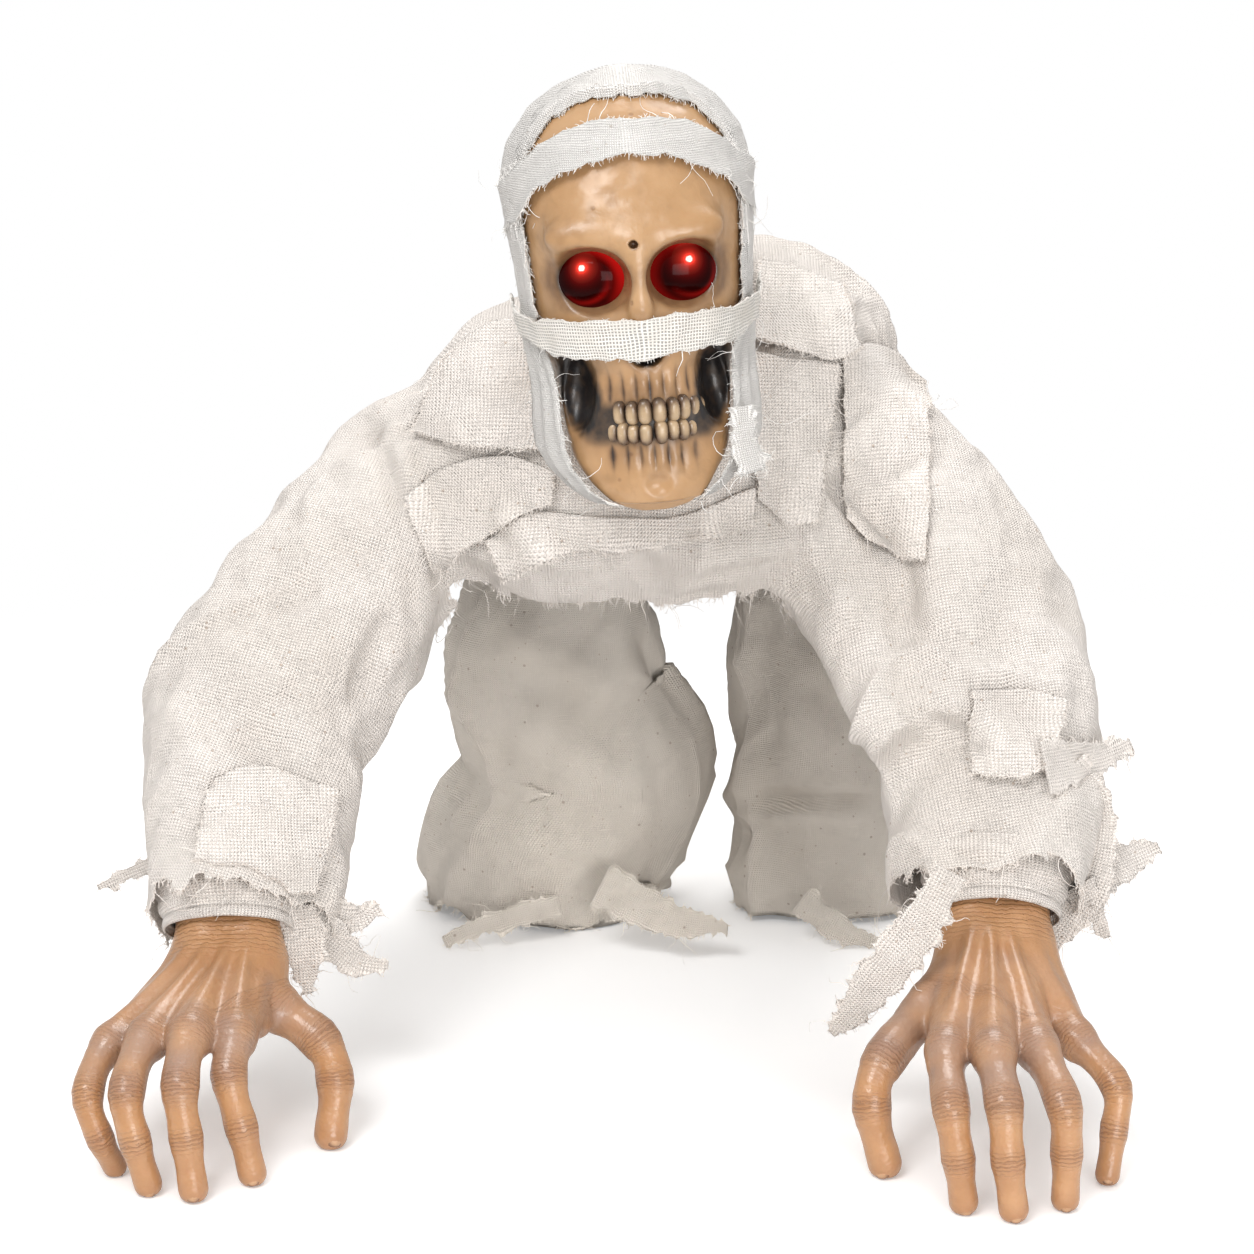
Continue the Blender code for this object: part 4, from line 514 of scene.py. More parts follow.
def metal_material(name, colour, roughness=0.3, stretch=(1.0, 1.0, 30.0)):
    """Drawn or turned metal with faint streaks and dull patches."""
    node = Nodes(name)
    solid = node.coords()
    streak = node.noise(node.scaled(solid, stretch), 60.0, 4.0)
    broad = node.noise(solid, 40.0, 3.0)
    node.set("Metallic", 1.0)
    node.set("Base Color", node.mix(broad, tuple(c * 0.8 for c in colour), colour))
    node.set("Roughness", node.span(streak, 0.3, 0.7, roughness - 0.08, roughness + 0.14))
    node.normal(node.bump(streak, 0.0002, 0.3))
    return node.material


def board_material(name):
    """Green circuit board with copper tracks under the lacquer."""
    node = Nodes(name)
    solid = node.coords()
    distance, _ = node.voronoi(node.scaled(solid, (1.0, 0.2, 1.0)), 260.0)
    track = node.span(distance, 0.42, 0.50)
    node.set("Base Color", node.mix(track, (0.02, 0.13, 0.05), (0.05, 0.26, 0.10)))
    node.set("Roughness", 0.35)
    node.normal(node.bump(track, 0.0002, 0.5))
    return node.material


# Meshes and points

def add(name, verts, faces, material, weave_uv=None, values=None, smooth=True):
    """New object from arrays; weave_uv is one pair per corner or per vertex."""
    mesh = bpy.data.meshes.new(name)
    faces = [tuple(int(i) for i in face) for face in faces]
    mesh.from_pydata(np.asarray(verts, float).tolist(), [], faces)
    if smooth:
        mesh.shade_smooth()
    if weave_uv is not None:
        layer = mesh.uv_layers.new(name="weave")
        uv = np.asarray(weave_uv, np.float32)
        if len(uv) != len(mesh.loops):
            index = np.zeros(len(mesh.loops), np.int32)
            mesh.loops.foreach_get("vertex_index", index)
            uv = uv[index]
        layer.data.foreach_set("uv", uv.ravel())
    for key, data in (values or {}).items():
        made = mesh.attributes.new(key, "FLOAT", "POINT")
        made.data.foreach_set("value", np.asarray(data, np.float32))
    mesh.materials.append(material)
    made = bpy.data.objects.new(name, mesh)
    bpy.context.scene.collection.objects.link(made)
    return made


def edge_way(edge, inner):
    """Unit directions from an inner row of a sheet to its edge row."""
    out = edge - inner
    return out / np.maximum(np.linalg.norm(out, axis=1, keepdims=True), 1e-9)


def thicken(piece, wall, offset=-1.0):
    """Give a sheet a wall of the given thickness."""
    step = piece.modifiers.new("wall", "SOLIDIFY")
    step.thickness = wall
    step.offset = offset
    return piece


def refine(piece, levels=1):
    """Smooth a piece with subdivision."""
    step = piece.modifiers.new("smooth", "SUBSURF")
    step.levels = step.render_levels = levels
    return piece


def hashed(i, j, k, seed):
    """Repeatable pseudo-random numbers from -1 to 1 for whole-number places."""
    n = (i * 374761393 + j * 668265263 + k * 1274126177 + seed * 974634777) & 0xFFFFFFFF
    n = ((n ^ (n >> 13)) * 1103515245) & 0xFFFFFFFF
    return ((n ^ (n >> 16)) & 0xFFFF) / 32767.5 - 1.0


def noise(points, size, seed=0):
    """Smooth noise from -1 to 1 at points, with features of the given size."""
    q = np.asarray(points, float) / size
    base = np.floor(q).astype(np.int64)
    part = q - base
    part = part * part * (3 - 2 * part)
    total = np.zeros(len(q))
    for a in (0, 1):
        for b in (0, 1):
            for c in (0, 1):
                weight = (np.where(a, part[:, 0], 1 - part[:, 0])
                          * np.where(b, part[:, 1], 1 - part[:, 1])
                          * np.where(c, part[:, 2], 1 - part[:, 2]))
                total += weight * hashed(base[:, 0] + a, base[:, 1] + b, base[:, 2] + c, seed)
    return total


def step01(value, low, high):
    """Smooth step from 0 at low to 1 at high."""
    t = np.clip((np.asarray(value, float) - low) / (high - low), 0.0, 1.0)
    return t * t * (3 - 2 * t)


def smooth_path(points, count, dense=20):
    """Points at even steps along the smooth curve through the given points."""
    pts = [np.array(p, float) for p in points]
    pts = [pts[0] * 2 - pts[1]] + pts + [pts[-1] * 2 - pts[-2]]
    line = []
    for k in range(1, len(pts) - 2):
        before, a, b, after = pts[k - 1:k + 3]
        for step in range(dense):
            t = step / dense
            line.append(((a * 2) + (b - before) * t + (before * 2 - a * 5 + b * 4 - after) * t * t
                         + (a * 3 - before - b * 3 + after) * t ** 3) / 2)
    line.append(pts[-2])
    line = np.array(line)
    run = np.concatenate(([0.0], np.cumsum(np.linalg.norm(np.diff(line, axis=0), axis=1))))
    at = np.linspace(0, run[-1], count)
    return np.stack([np.interp(at, run, line[:, axis]) for axis in range(line.shape[1])], axis=1)


def directions(path):
    """Unit directions along a path."""
    ahead = np.concatenate((path[1:], path[-1:]))
    behind = np.concatenate((path[:1], path[:-1]))
    way = ahead - behind
    return way / np.linalg.norm(way, axis=1, keepdims=True)


def shoulder_point(side):
    """The joint of the arm at the shoulder."""
    return SHOULDER + (SIGN[side] * SHOULDER_HALF, 0.0, 0.0)


def wrist_point(side):
    """The wrist, from the shoulder."""
    at = shoulder_point(side)
    return np.array((at[0] + SIGN[side] * WRIST_OUT[side], at[1] - WRIST_FORWARD, WRIST_Z[side]))


def arm_station(side, shares):
    """Point between shoulder and wrist, by its share of each coordinate."""
    start, end = shoulder_point(side), wrist_point(side)
    return start + (end - start) * np.array(shares)


def rings(path, across, half_a, half_b, sides, push=None):
    """Grid of rings round a path, with the angle of each column."""
    angles = np.arange(sides) * TAU / sides
    grid = []
    for i, (centre, way) in enumerate(zip(path, directions(path))):
        a = across - way * np.dot(across, way)
        a = a / np.linalg.norm(a)
        b = np.cross(way, a)
        extra = push(angles, i / (len(path) - 1)) if push else 0.0
        grid.append(centre + np.outer(np.cos(angles) * (half_a[i] + extra), a)
                    + np.outer(np.sin(angles) * (half_b[i] + extra), b))
    return np.array(grid)


def spread_over(values, count):
    """Values spread evenly over count places."""
    return np.interp(np.linspace(0, 1, count), np.linspace(0, 1, len(values)), values)


def pixel_ray(x, y):
    """Start and direction of the camera's ray through a pixel of the photograph."""
    cos, sin = math.cos(CAMERA_DOWN), math.sin(CAMERA_DOWN)
    right = np.array((1.0, 0.0, 0.0))
    ahead, up = np.array((0.0, cos, -sin)), np.array((0.0, sin, cos))
    way = ahead + right * (x - PHOTO_HALF) / FOCAL_PIXELS + up * (PHOTO_HALF - y) / FOCAL_PIXELS
    return np.array(CAMERA_AT), way / np.linalg.norm(way)


def at_depth(x, y, depth):
    """Point behind a pixel on the upright plane at the given Y."""
    start, way = pixel_ray(x, y)
    return start + way * (depth - start[1]) / way[1]


def to_pixels(points):
    """Pixels of the photograph where points are seen."""
    cos, sin = math.cos(CAMERA_DOWN), math.sin(CAMERA_DOWN)
    q = np.asarray(points) - np.array(CAMERA_AT)
    deep = q @ np.array((0.0, cos, -sin))
    return np.stack((PHOTO_HALF + FOCAL_PIXELS * q[:, 0] / deep,
                     PHOTO_HALF - FOCAL_PIXELS * (q @ np.array((0.0, sin, cos))) / deep), axis=1)


# Volumes

def field_mesh(field, low, voxel):
    """Points, triangles and quads of a distance field's surface, facing outwards."""
    grid = vdb.FloatGrid()
    grid.background = float(field.max())
    grid.copyFromArray(np.ascontiguousarray(field, np.float32))
    points, triangles, quads = grid.convertToPolygons(0.0, 0.0)
    points = points * voxel + np.asarray(low)
    faces = [tuple(f) for f in triangles] + [tuple(f) for f in quads]
    a, b, c = (points[quads[:, k]] for k in (0, 1, 2))
    middle = points.mean(0)
    if np.einsum("ij,ij->i", np.cross(b - a, c - a), a - middle).sum() < 0:
        faces = [face[::-1] for face in faces]
    return points, faces


def soft_min(a, b, k):
    """Smaller of two values, rounded where they are within k."""
    h = np.clip(0.5 + 0.5 * (b - a) / k, 0.0, 1.0)
    return b + (a - b) * h - k * h * (1.0 - h)


def soft_max(a, b, k):
    """Larger of two values, rounded where they are within k."""
    return -soft_min(-a, -b, k)


class Field:
    """Distance field on a grid of voxels."""

    def __init__(self, low, high, voxel):
        self.voxel, self.low = voxel, np.asarray(low, float)
        count = np.ceil((np.asarray(high) - self.low) / voxel).astype(int) + 1
        self.axes = [(self.low[k] + np.arange(count[k]) * voxel).astype(np.float32) for k in range(3)]
        self.x = self.axes[0][:, None, None]
        self.y = self.axes[1][None, :, None]
        self.z = self.axes[2][None, None, :]
        self.d = np.full(count, 1.0, np.float32)

    def window(self, low, high):
        """Part of the grid between two corners: its slices and coordinates."""
        cut = []
        for k in range(3):
            a = np.searchsorted(self.axes[k], low[k])
            b = np.searchsorted(self.axes[k], high[k])
            cut.append(slice(max(0, a), max(a + 1, b)))
        x, y, z = self.x[cut[0]], self.y[:, cut[1]], self.z[:, :, cut[2]]
        return tuple(cut), x, y, z

    def ball(self, centre, radii, k, cut=False, turn=0.0):
        """Join or cut an ellipsoid, with a soft edge k wide; turn leans it in the XZ plane."""
        centre, radii = np.asarray(centre, float), np.asarray(radii, float)
        reach = float(radii.max()) + k * 3 + self.voxel * 2
        where, x, y, z = self.window(centre - reach, centre + reach)
        u, v, w = x - centre[0], y - centre[1], z - centre[2]
        if turn:
            c, s = math.cos(turn), math.sin(turn)
            u, w = u * c + w * s, w * c - u * s
        k0 = np.sqrt((u / radii[0]) ** 2 + (v / radii[1]) ** 2 + (w / radii[2]) ** 2)
        k1 = np.sqrt((u / radii[0] ** 2) ** 2 + (v / radii[1] ** 2) ** 2 + (w / radii[2] ** 2) ** 2)
        shape = k0 * (k0 - 1.0) / np.maximum(k1, 1e-6)
        here = self.d[where]
        self.d[where] = soft_max(here, -shape, k) if cut else soft_min(here, shape, k)

    def limb(self, a, b, ra, rb, k, cut=False):
        """Join or cut a round bar that tapers between two points."""
        a, b = np.asarray(a, float), np.asarray(b, float)
        reach = max(ra, rb) + k * 3 + self.voxel * 2
        where, x, y, z = self.window(np.minimum(a, b) - reach, np.maximum(a, b) + reach)
        span = b - a
        t = ((x - a[0]) * span[0] + (y - a[1]) * span[1] + (z - a[2]) * span[2]) / max(span @ span, 1e-12)
        t = np.clip(t, 0.0, 1.0)
        shape = np.sqrt((x - a[0] - t * span[0]) ** 2 + (y - a[1] - t * span[1]) ** 2
                        + (z - a[2] - t * span[2]) ** 2) - (ra + (rb - ra) * t)
        here = self.d[where]
        self.d[where] = soft_max(here, -shape, k) if cut else soft_min(here, shape, k)

    def chain(self, path, radii, k):
        """Join a round bar along a path of points as one form, with no swelling at its points."""
        path, radii = np.asarray(path, float), np.broadcast_to(radii, (len(path),))
        reach = float(radii.max()) + k * 3 + self.voxel * 2
        where, x, y, z = self.window(path.min(0) - reach, path.max(0) + reach)
        shape = None
        for a, b, ra, rb in zip(path, path[1:], radii, radii[1:]):
            span = b - a
            t = ((x - a[0]) * span[0] + (y - a[1]) * span[1] + (z - a[2]) * span[2]) / (span @ span)
            t = np.clip(t, 0.0, 1.0)
            one = np.sqrt((x - a[0] - t * span[0]) ** 2 + (y - a[1] - t * span[1]) ** 2
                          + (z - a[2] - t * span[2]) ** 2) - (ra + (rb - ra) * t)
            shape = one if shape is None else np.minimum(shape, one)
        self.d[where] = soft_min(self.d[where], shape.astype(np.float32), k)


def grid_faces(rows, columns, closed=True):
    """Quads of a grid of points."""
    faces = []
    last = columns if closed else columns - 1
    for r in range(rows - 1):
        for c in range(last):
            d = (c + 1) % columns
            faces.append((r * columns + c, r * columns + d, (r + 1) * columns + d, (r + 1) * columns + c))
    return faces


def level_set(grid, low, count, voxel, band=8.0):
    """Distance field of a closed tube of rings, as an array over the given box."""
    rows, columns, _ = grid.shape
    verts = grid.reshape(-1, 3)
    verts = np.concatenate((verts, grid[0].mean(0)[None], grid[-1].mean(0)[None]))
    quads = np.array(grid_faces(rows, columns), np.uint32)
    top = (rows - 1) * columns
    tris = [(i, len(verts) - 2, (i + 1) % columns) for i in range(columns)]
    tris += [(top + i, top + (i + 1) % columns, len(verts) - 1) for i in range(columns)]
    made = vdb.FloatGrid.createLevelSetFromPolygons(
        ((verts - low) / voxel).astype(np.float32), np.array(tris, np.uint32), quads,
        halfWidth=band)
    field = np.full(count, band, np.float32)
    made.copyToArray(field)
    return field * voxel


# Threads

THREADS_BACK = 0.324


class Threads:
    """Loose threads gathered into one mesh."""

    def __init__(self, seed):
        self.random = np.random.default_rng(seed)
        self.verts, self.faces = [], []

    def one(self, points, radius):
        """Add one thread along points."""
        points = np.array(points, float)
        points[:, 1] = np.minimum(points[:, 1], THREADS_BACK)
        way = directions(points)
        side = np.cross(way, (0.31, 0.57, 0.76))
        side /= np.maximum(np.linalg.norm(side, axis=1, keepdims=True), 1e-9)
        other = np.cross(way, side)
        base = len(self.verts)
        taper = np.linspace(1.0, 0.55, len(points))
        for k in range(3):
            angle = TAU * k / 3
            ring = points + (side * math.cos(angle) + other * math.sin(angle)) * (radius * taper)[:, None]
            self.verts.extend(ring)
        n = len(points)
        for k in range(3):
            a, b = base + k * n, base + ((k + 1) % 3) * n
            for i in range(n - 1):
                self.faces.append((a + i, b + i, b + i + 1, a + i + 1))

    def loose(self, start, way, length, radius=0.00028, curl=0.5, drop=0.35, steps=7):
        """One thread that leaves start along way, wanders and sinks."""
        random = self.random
        way = np.asarray(way, float)
        way = way / max(np.linalg.norm(way), 1e-9)
        points = [np.asarray(start, float)]
        swing = random.normal(0, 1, 3)
        for _ in range(steps):
            swing = swing * 0.6 + random.normal(0, 1, 3) * 0.6
            way = way + swing * curl * 0.35 + np.array((0, 0, -1.0)) * drop * 0.3
            way = way / np.linalg.norm(way)
            points.append(points[-1] + way * length / steps)
            if points[-1][2] < 0.0006:
                points[-1][2] = 0.0006
        self.one(points, radius)

    def fringe(self, edge, outward, spacing=0.0011, length=(0.002, 0.008), lift=0.2, rare=0.04,
               long=(0.015, 0.035)):
        """Short threads along an edge, with a few long ones; outward is one direction per point."""
        edge, outward = np.asarray(edge, float), np.asarray(outward, float)
        run = np.concatenate(([0.0], np.cumsum(np.linalg.norm(np.diff(edge, axis=0), axis=1))))
        if run[-1] <= 0:
            return
        random = self.random
        for _ in range(int(run[-1] / spacing * 0.8)):
            at = random.uniform(0, run[-1])
            start = np.array([np.interp(at, run, edge[:, k]) for k in range(3)])
            out = np.array([np.interp(at, run, outward[:, k]) for k in range(3)])
            size = random.uniform(*length) * 0.8
            curl = 0.6
            if random.random() < rare:
                size, curl = random.uniform(*long), 1.5
            out = out / max(np.linalg.norm(out), 1e-9) + random.normal(0, 0.28, 3)
            self.loose(start - out * 0.001, out + np.array((0, 0, lift * random.normal())), size,
                       random.uniform(0.00018, 0.00034), curl)

    def build(self, name, material, body):
        """Make one piece of all the threads drawn so far."""
        verts = np.array(self.verts)
        uv = np.zeros((len(verts), 2))
        piece = add(name, verts, self.faces, material, uv, {"edge": np.ones(len(verts))})
        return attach(piece, body)


# Head

def head_matrix():
    """Place and turn of the head in the figure."""
    middle = Vector((HEAD_MIDDLE[0] + SHIFT[0], HEAD_MIDDLE[1] + SHIFT[1], CHIN_Z + HEAD_HEIGHT / 2))
    turn = Matrix.Rotation(HEAD_YAW, 4, "Z") @ Matrix.Rotation(-HEAD_ROLL, 4, "Y")
    return Matrix.Translation(middle) @ turn @ Matrix.Translation((0.0, 0.0, -HEAD_HEIGHT / 2))


HEAD = np.array(head_matrix())
HEAD_TURN, HEAD_AT = HEAD[:3, :3], HEAD[:3, 3]


def head_world(points):
    """From the head's own frame to the figure's."""
    return np.asarray(points) @ HEAD_TURN.T + HEAD_AT


def head_local(points):
    """From the figure's frame to the head's own."""
    return (np.asarray(points) - HEAD_AT) @ HEAD_TURN


def skull_row(levels, soft=0.0):
    """Shares of the head's width, front and back at the given levels, evened over soft."""
    heights = [row[0] for row in SKULL_ROWS]
    fine = np.linspace(-0.02, 1.02, 521)
    made = []
    for k in (1, 2, 3):
        values = np.interp(fine, heights, [row[k] for row in SKULL_ROWS])
        if soft:
            width = int(soft / 0.002)
            kernel = np.hanning(width * 2 + 3)
            kernel /= kernel.sum()
            padded = np.pad(values, width + 1, mode="edge")
            values = np.convolve(padded, kernel, "valid")
        made.append(np.interp(levels, fine, values))
    return made


def head_form(angles, levels, proud=0.0):
    """Points of the plain head form in the head's own frame."""
    angles, levels = np.broadcast_arrays(np.asarray(angles, float), np.asarray(levels, float))
    width, front, back = skull_row(levels)
    half = HEAD_HALF_WIDTH * width + proud
    y_front, y_back = -(HEAD_FRONT * front + proud), HEAD_BACK * back + proud
    sine, cosine = np.sin(angles), np.cos(angles)
    x = half * np.sign(sine) * np.abs(sine) ** FACE_SQUARE
    y = (y_front + y_back) / 2 - (y_back - y_front) / 2 * np.sign(cosine) * np.abs(cosine) ** FACE_SQUARE
    crown = np.maximum(0.0, (levels - 0.70) / 0.30)
    return np.stack((x, y, HEAD_HEIGHT * levels + proud * crown * 1.2), axis=-1)


TEETH_AT = np.array((0.0015, -0.0600))
TEETH_REACH = np.array((0.0300, 0.0325))
BITE_Z = 0.0504
TOOTH_WIDTHS = (0.0080, 0.0071, 0.0073, 0.0070, 0.0070)
TOOTH_HEIGHT = 0.0146


def skull_shell(voxel):
    """The skull's rounded outer form, flat at the crown, as a field."""
    field = Field((-0.084, -0.108, -0.012), (0.084, 0.100, HEAD_HEIGHT + 0.008), voxel)
    levels = field.axes[2] / HEAD_HEIGHT
    width, front, back = (row.astype(np.float32)[None, None, :] for row in skull_row(levels, 0.03))
    half = np.maximum(HEAD_HALF_WIDTH * width - 0.0013, 0.002)
    y_front, y_back = -HEAD_FRONT * front + 0.0013, HEAD_BACK * back - 0.0013
    middle, reach = (y_front + y_back) / 2, np.maximum((y_back - y_front) / 2, 0.004)
    power = 2.0 / FACE_SQUARE
    r = (np.abs(field.x / half) ** power + np.abs((field.y - middle) / reach) ** power) ** (1.0 / power)
    slope = np.sqrt(sum(g ** 2 for g in np.gradient(r, voxel)))
    field.d = ((r - 1.0) / np.maximum(slope, 4.0)).astype(np.float32)
    field.d = np.maximum(field.d, np.broadcast_to(-field.z - 0.001, field.d.shape))
    top = HEAD_HEIGHT * 0.999
    field.d = soft_max(field.d, np.broadcast_to(field.z - top, field.d.shape), 0.006)
    return field


def shape_brow(field):
    """Brow, hollow cheeks, nose bridge and upper jaw."""
    for sign in (-1.0, 1.0):
        field.ball((sign * 0.0250, -0.0745, 0.1555), (0.0240, 0.0090, 0.0090), 0.020, turn=sign * 0.10)
        field.ball((sign * 0.0405, -0.0780, 0.0670), (0.0115, 0.0240, 0.0240), 0.004, cut=True,
                   turn=sign * 0.16)
    field.limb((0, -0.0830, 0.149), (0, -0.0892, 0.115), 0.0066, 0.0062, 0.012)
    field.ball((0.0000, -0.0820, 0.0910), (0.0250, 0.0100, 0.0180), 0.010)


def shape_gums(field):
    """An upright round bar that the teeth stand round, ridged over their roots."""
    across, forward = TEETH_REACH - 0.0015
    arch = np.sqrt(((field.x - TEETH_AT[0]) / across) ** 2 + ((field.y - TEETH_AT[1]) / forward) ** 2)
    arch = (arch - 1.0) * min(across, forward)
    arch = soft_max(arch, np.abs(field.z - BITE_Z) - 0.0310, 0.010)
    pitch = 0.0076
    turn = np.arctan2(field.x - TEETH_AT[0], -(field.y - TEETH_AT[1]))
    along = turn * across
    ridge = np.abs(np.sin(math.pi * along / pitch)) ** 0.7
    root = (np.exp(-((field.z - BITE_Z - 0.0216) / 0.0075) ** 2)
            + np.exp(-((field.z - BITE_Z + 0.0219) / 0.0070) ** 2))
    arch = arch + (0.0016 - 0.0032 * ridge) * root
    field.d = soft_min(field.d, arch.astype(np.float32), 0.004)


def shape_chin(field):
    """Chin with a small hollow."""
    field.ball((0.0020, -0.0760, 0.0120), (0.0250, 0.0150, 0.0120), 0.012)
    field.ball((0.0020, -0.0930, 0.0140), (0.0060, 0.0040, 0.0050), 0.004, cut=True)


def cut_openings(field):
    """Bite, eye sockets, nose hollow, a chip in the forehead and the bore for the neck."""
    gap = np.abs(field.z - BITE_Z) - 0.0016
    gap = np.maximum(gap, -(field.y + 0.050))
    field.d = soft_max(field.d, -np.maximum(gap, np.abs(field.x - TEETH_AT[0]) - 0.029), 0.001)
    for sign in (-1.0, 1.0):
        field.ball((sign * EYE_SPREAD, -0.0830, HEAD_HEIGHT * EYE_LEVEL), (0.0246, 0.0250, 0.0202),
                   0.0040, cut=True, turn=sign * 0.06)
    for sign in (-1.0, 1.0):
        field.ball((0.0010 + sign * 0.0050, -0.0930, 0.0945), (0.0066, 0.0150, 0.0125), 0.002, cut=True,
                   turn=-sign * 0.16)
    field.ball((-0.0013, -0.0886, 0.1520), (0.0030, 0.0036, 0.0024), 0.0014, cut=True)
    neck = head_local(np.array([NECK + SHIFT + (0, 0, 0.40), NECK + SHIFT + (0, 0, 0.465)]))
    field.limb(neck[0], neck[1], 0.0184, 0.0184, 0.001, cut=True)


def make_skull(bone, tooth):
    """Skull with brow, sockets, nose hollow, hollow cheeks, jaw and roots."""
    voxel = 0.0010
    field = skull_shell(voxel)
    for step in (shape_brow, shape_gums, shape_chin, cut_openings):
        step(field)
    points, faces = field_mesh(field.d, field.low, voxel)
    n = noise(points, 0.012, 3) * 0.00035 + noise(points, 0.005, 4) * 0.00018
    outward = points - (0, 0, 0.12)
    points = points + outward / np.linalg.norm(outward, axis=1, keepdims=True) * n[:, None]
    brown, black = skull_washes(points)
    piece = add("skull_prop", head_world(points), faces, bone, None, {"brown": brown, "black": black})
    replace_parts(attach(piece, "head"), "skull")
    make_teeth(tooth)


def hump(value, centre, width):
    """Smooth bump of height 1 at centre."""
    return np.exp(-((value - centre) / width) ** 2)


def skull_washes(p):
    """Brown and black washes of the skull at points in its own frame."""
    x, y, z = p[:, 0], p[:, 1], p[:, 2]
    face = step01(-y, 0.02, 0.06)
    rag = noise(p, 0.004, 11) * 0.25 + noise(p, 0.012, 12) * 0.3
    black = np.zeros(len(p))
    brown = np.zeros(len(p))
    for sign in (-1.0, 1.0):
        lean = (x * sign - 0.0390 - (z - 0.067) * 0.16)
        hollow = np.sqrt((lean / 0.0115) ** 2 + ((z - 0.0670) / 0.0250) ** 2)
        black = np.maximum(black, step01(1.25 - hollow + rag * 0.3, 0.0, 0.45) * face)
        brown = np.maximum(brown, step01(1.7 - hollow + rag * 0.4, 0.0, 0.9) * face * 0.55)
        eye = np.sqrt(((x - sign * EYE_SPREAD) / 0.0225) ** 2
                      + ((z - HEAD_HEIGHT * EYE_LEVEL) / 0.0185) ** 2)
        brown = np.maximum(brown, step01(1.30 - eye + rag * 0.25, 0.0, 0.40) * face * 0.75)
        black = np.maximum(black, step01(0.92 - eye, 0.0, 0.25) * face)
    nose = np.sqrt(((x - 0.001) / 0.0115) ** 2 + ((z - 0.0945) / 0.0135) ** 2)
    black = np.maximum(black, step01(1.02 - nose + rag * 0.1, 0.0, 0.20) * face)
    brown = np.maximum(brown, step01(1.45 - nose + rag * 0.3, 0.0, 0.5) * face * 0.5)
    turn = np.arctan2(x - TEETH_AT[0], -(y - TEETH_AT[1]))
    along = turn * TEETH_REACH[0]
    groove = 1.0 - np.abs(np.sin(math.pi * along / 0.0076))
    mouth = step01(0.0325 - np.abs(x - TEETH_AT[0]), 0.0, 0.009) * face
    roots = np.maximum(hump(z, BITE_Z + 0.0190, 0.0090), hump(z, BITE_Z - 0.0185, 0.0075)) * mouth
    brown = np.maximum(brown, roots * (0.30 + 0.70 * groove ** 1.2) * (0.9 + rag))
    black = np.maximum(black, roots * groove ** 3 * (0.75 + rag))
    row = step01(0.0155 - np.abs(z - BITE_Z), 0.0, 0.0080) * step01(1.18 - np.abs(turn), 0.0, 0.25) * face
    black = np.maximum(black, row * 0.9)
    around = np.sqrt(((x - TEETH_AT[0]) / 0.034) ** 2 + ((z - BITE_Z) / 0.034) ** 2)
    brown = np.maximum(brown, step01(1.15 - around + rag * 0.4, 0.0, 0.6) * face * 0.42)
    dot = np.sqrt((x + 0.0013) ** 2 + (z - 0.1520) ** 2)
    brown = np.maximum(brown, step01(0.0034 - dot, 0.0, 0.0014) * face)
    brown = np.maximum(brown, step01(noise(p, 0.020, 15) + noise(p, 0.006, 16) * 0.4, 0.45, 1.0) * 0.22)
    return np.clip(brown, 0, 1), np.clip(black, 0, 1)


def ellipsoid(columns, rows):
    """Unit sphere grid: points and faces."""
    points, faces = [(0.0, 0.0, -1.0)], []
    for r in range(1, rows):
        phi = math.pi * r / rows - math.pi / 2
        for c in range(columns):
            theta = TAU * c / columns
            points.append((math.cos(phi) * math.cos(theta), math.cos(phi) * math.sin(theta), math.sin(phi)))
    points.append((0.0, 0.0, 1.0))
    for c in range(columns):
        d = (c + 1) % columns
        faces.append((0, 1 + d, 1 + c))
        for r in range(rows - 2):
            a, b = 1 + r * columns, 1 + (r + 1) * columns
            faces.append((a + c, a + d, b + d, b + c))
        faces.append((1 + (rows - 2) * columns + c, 1 + (rows - 2) * columns + d, len(points) - 1))
    return np.array(points), faces


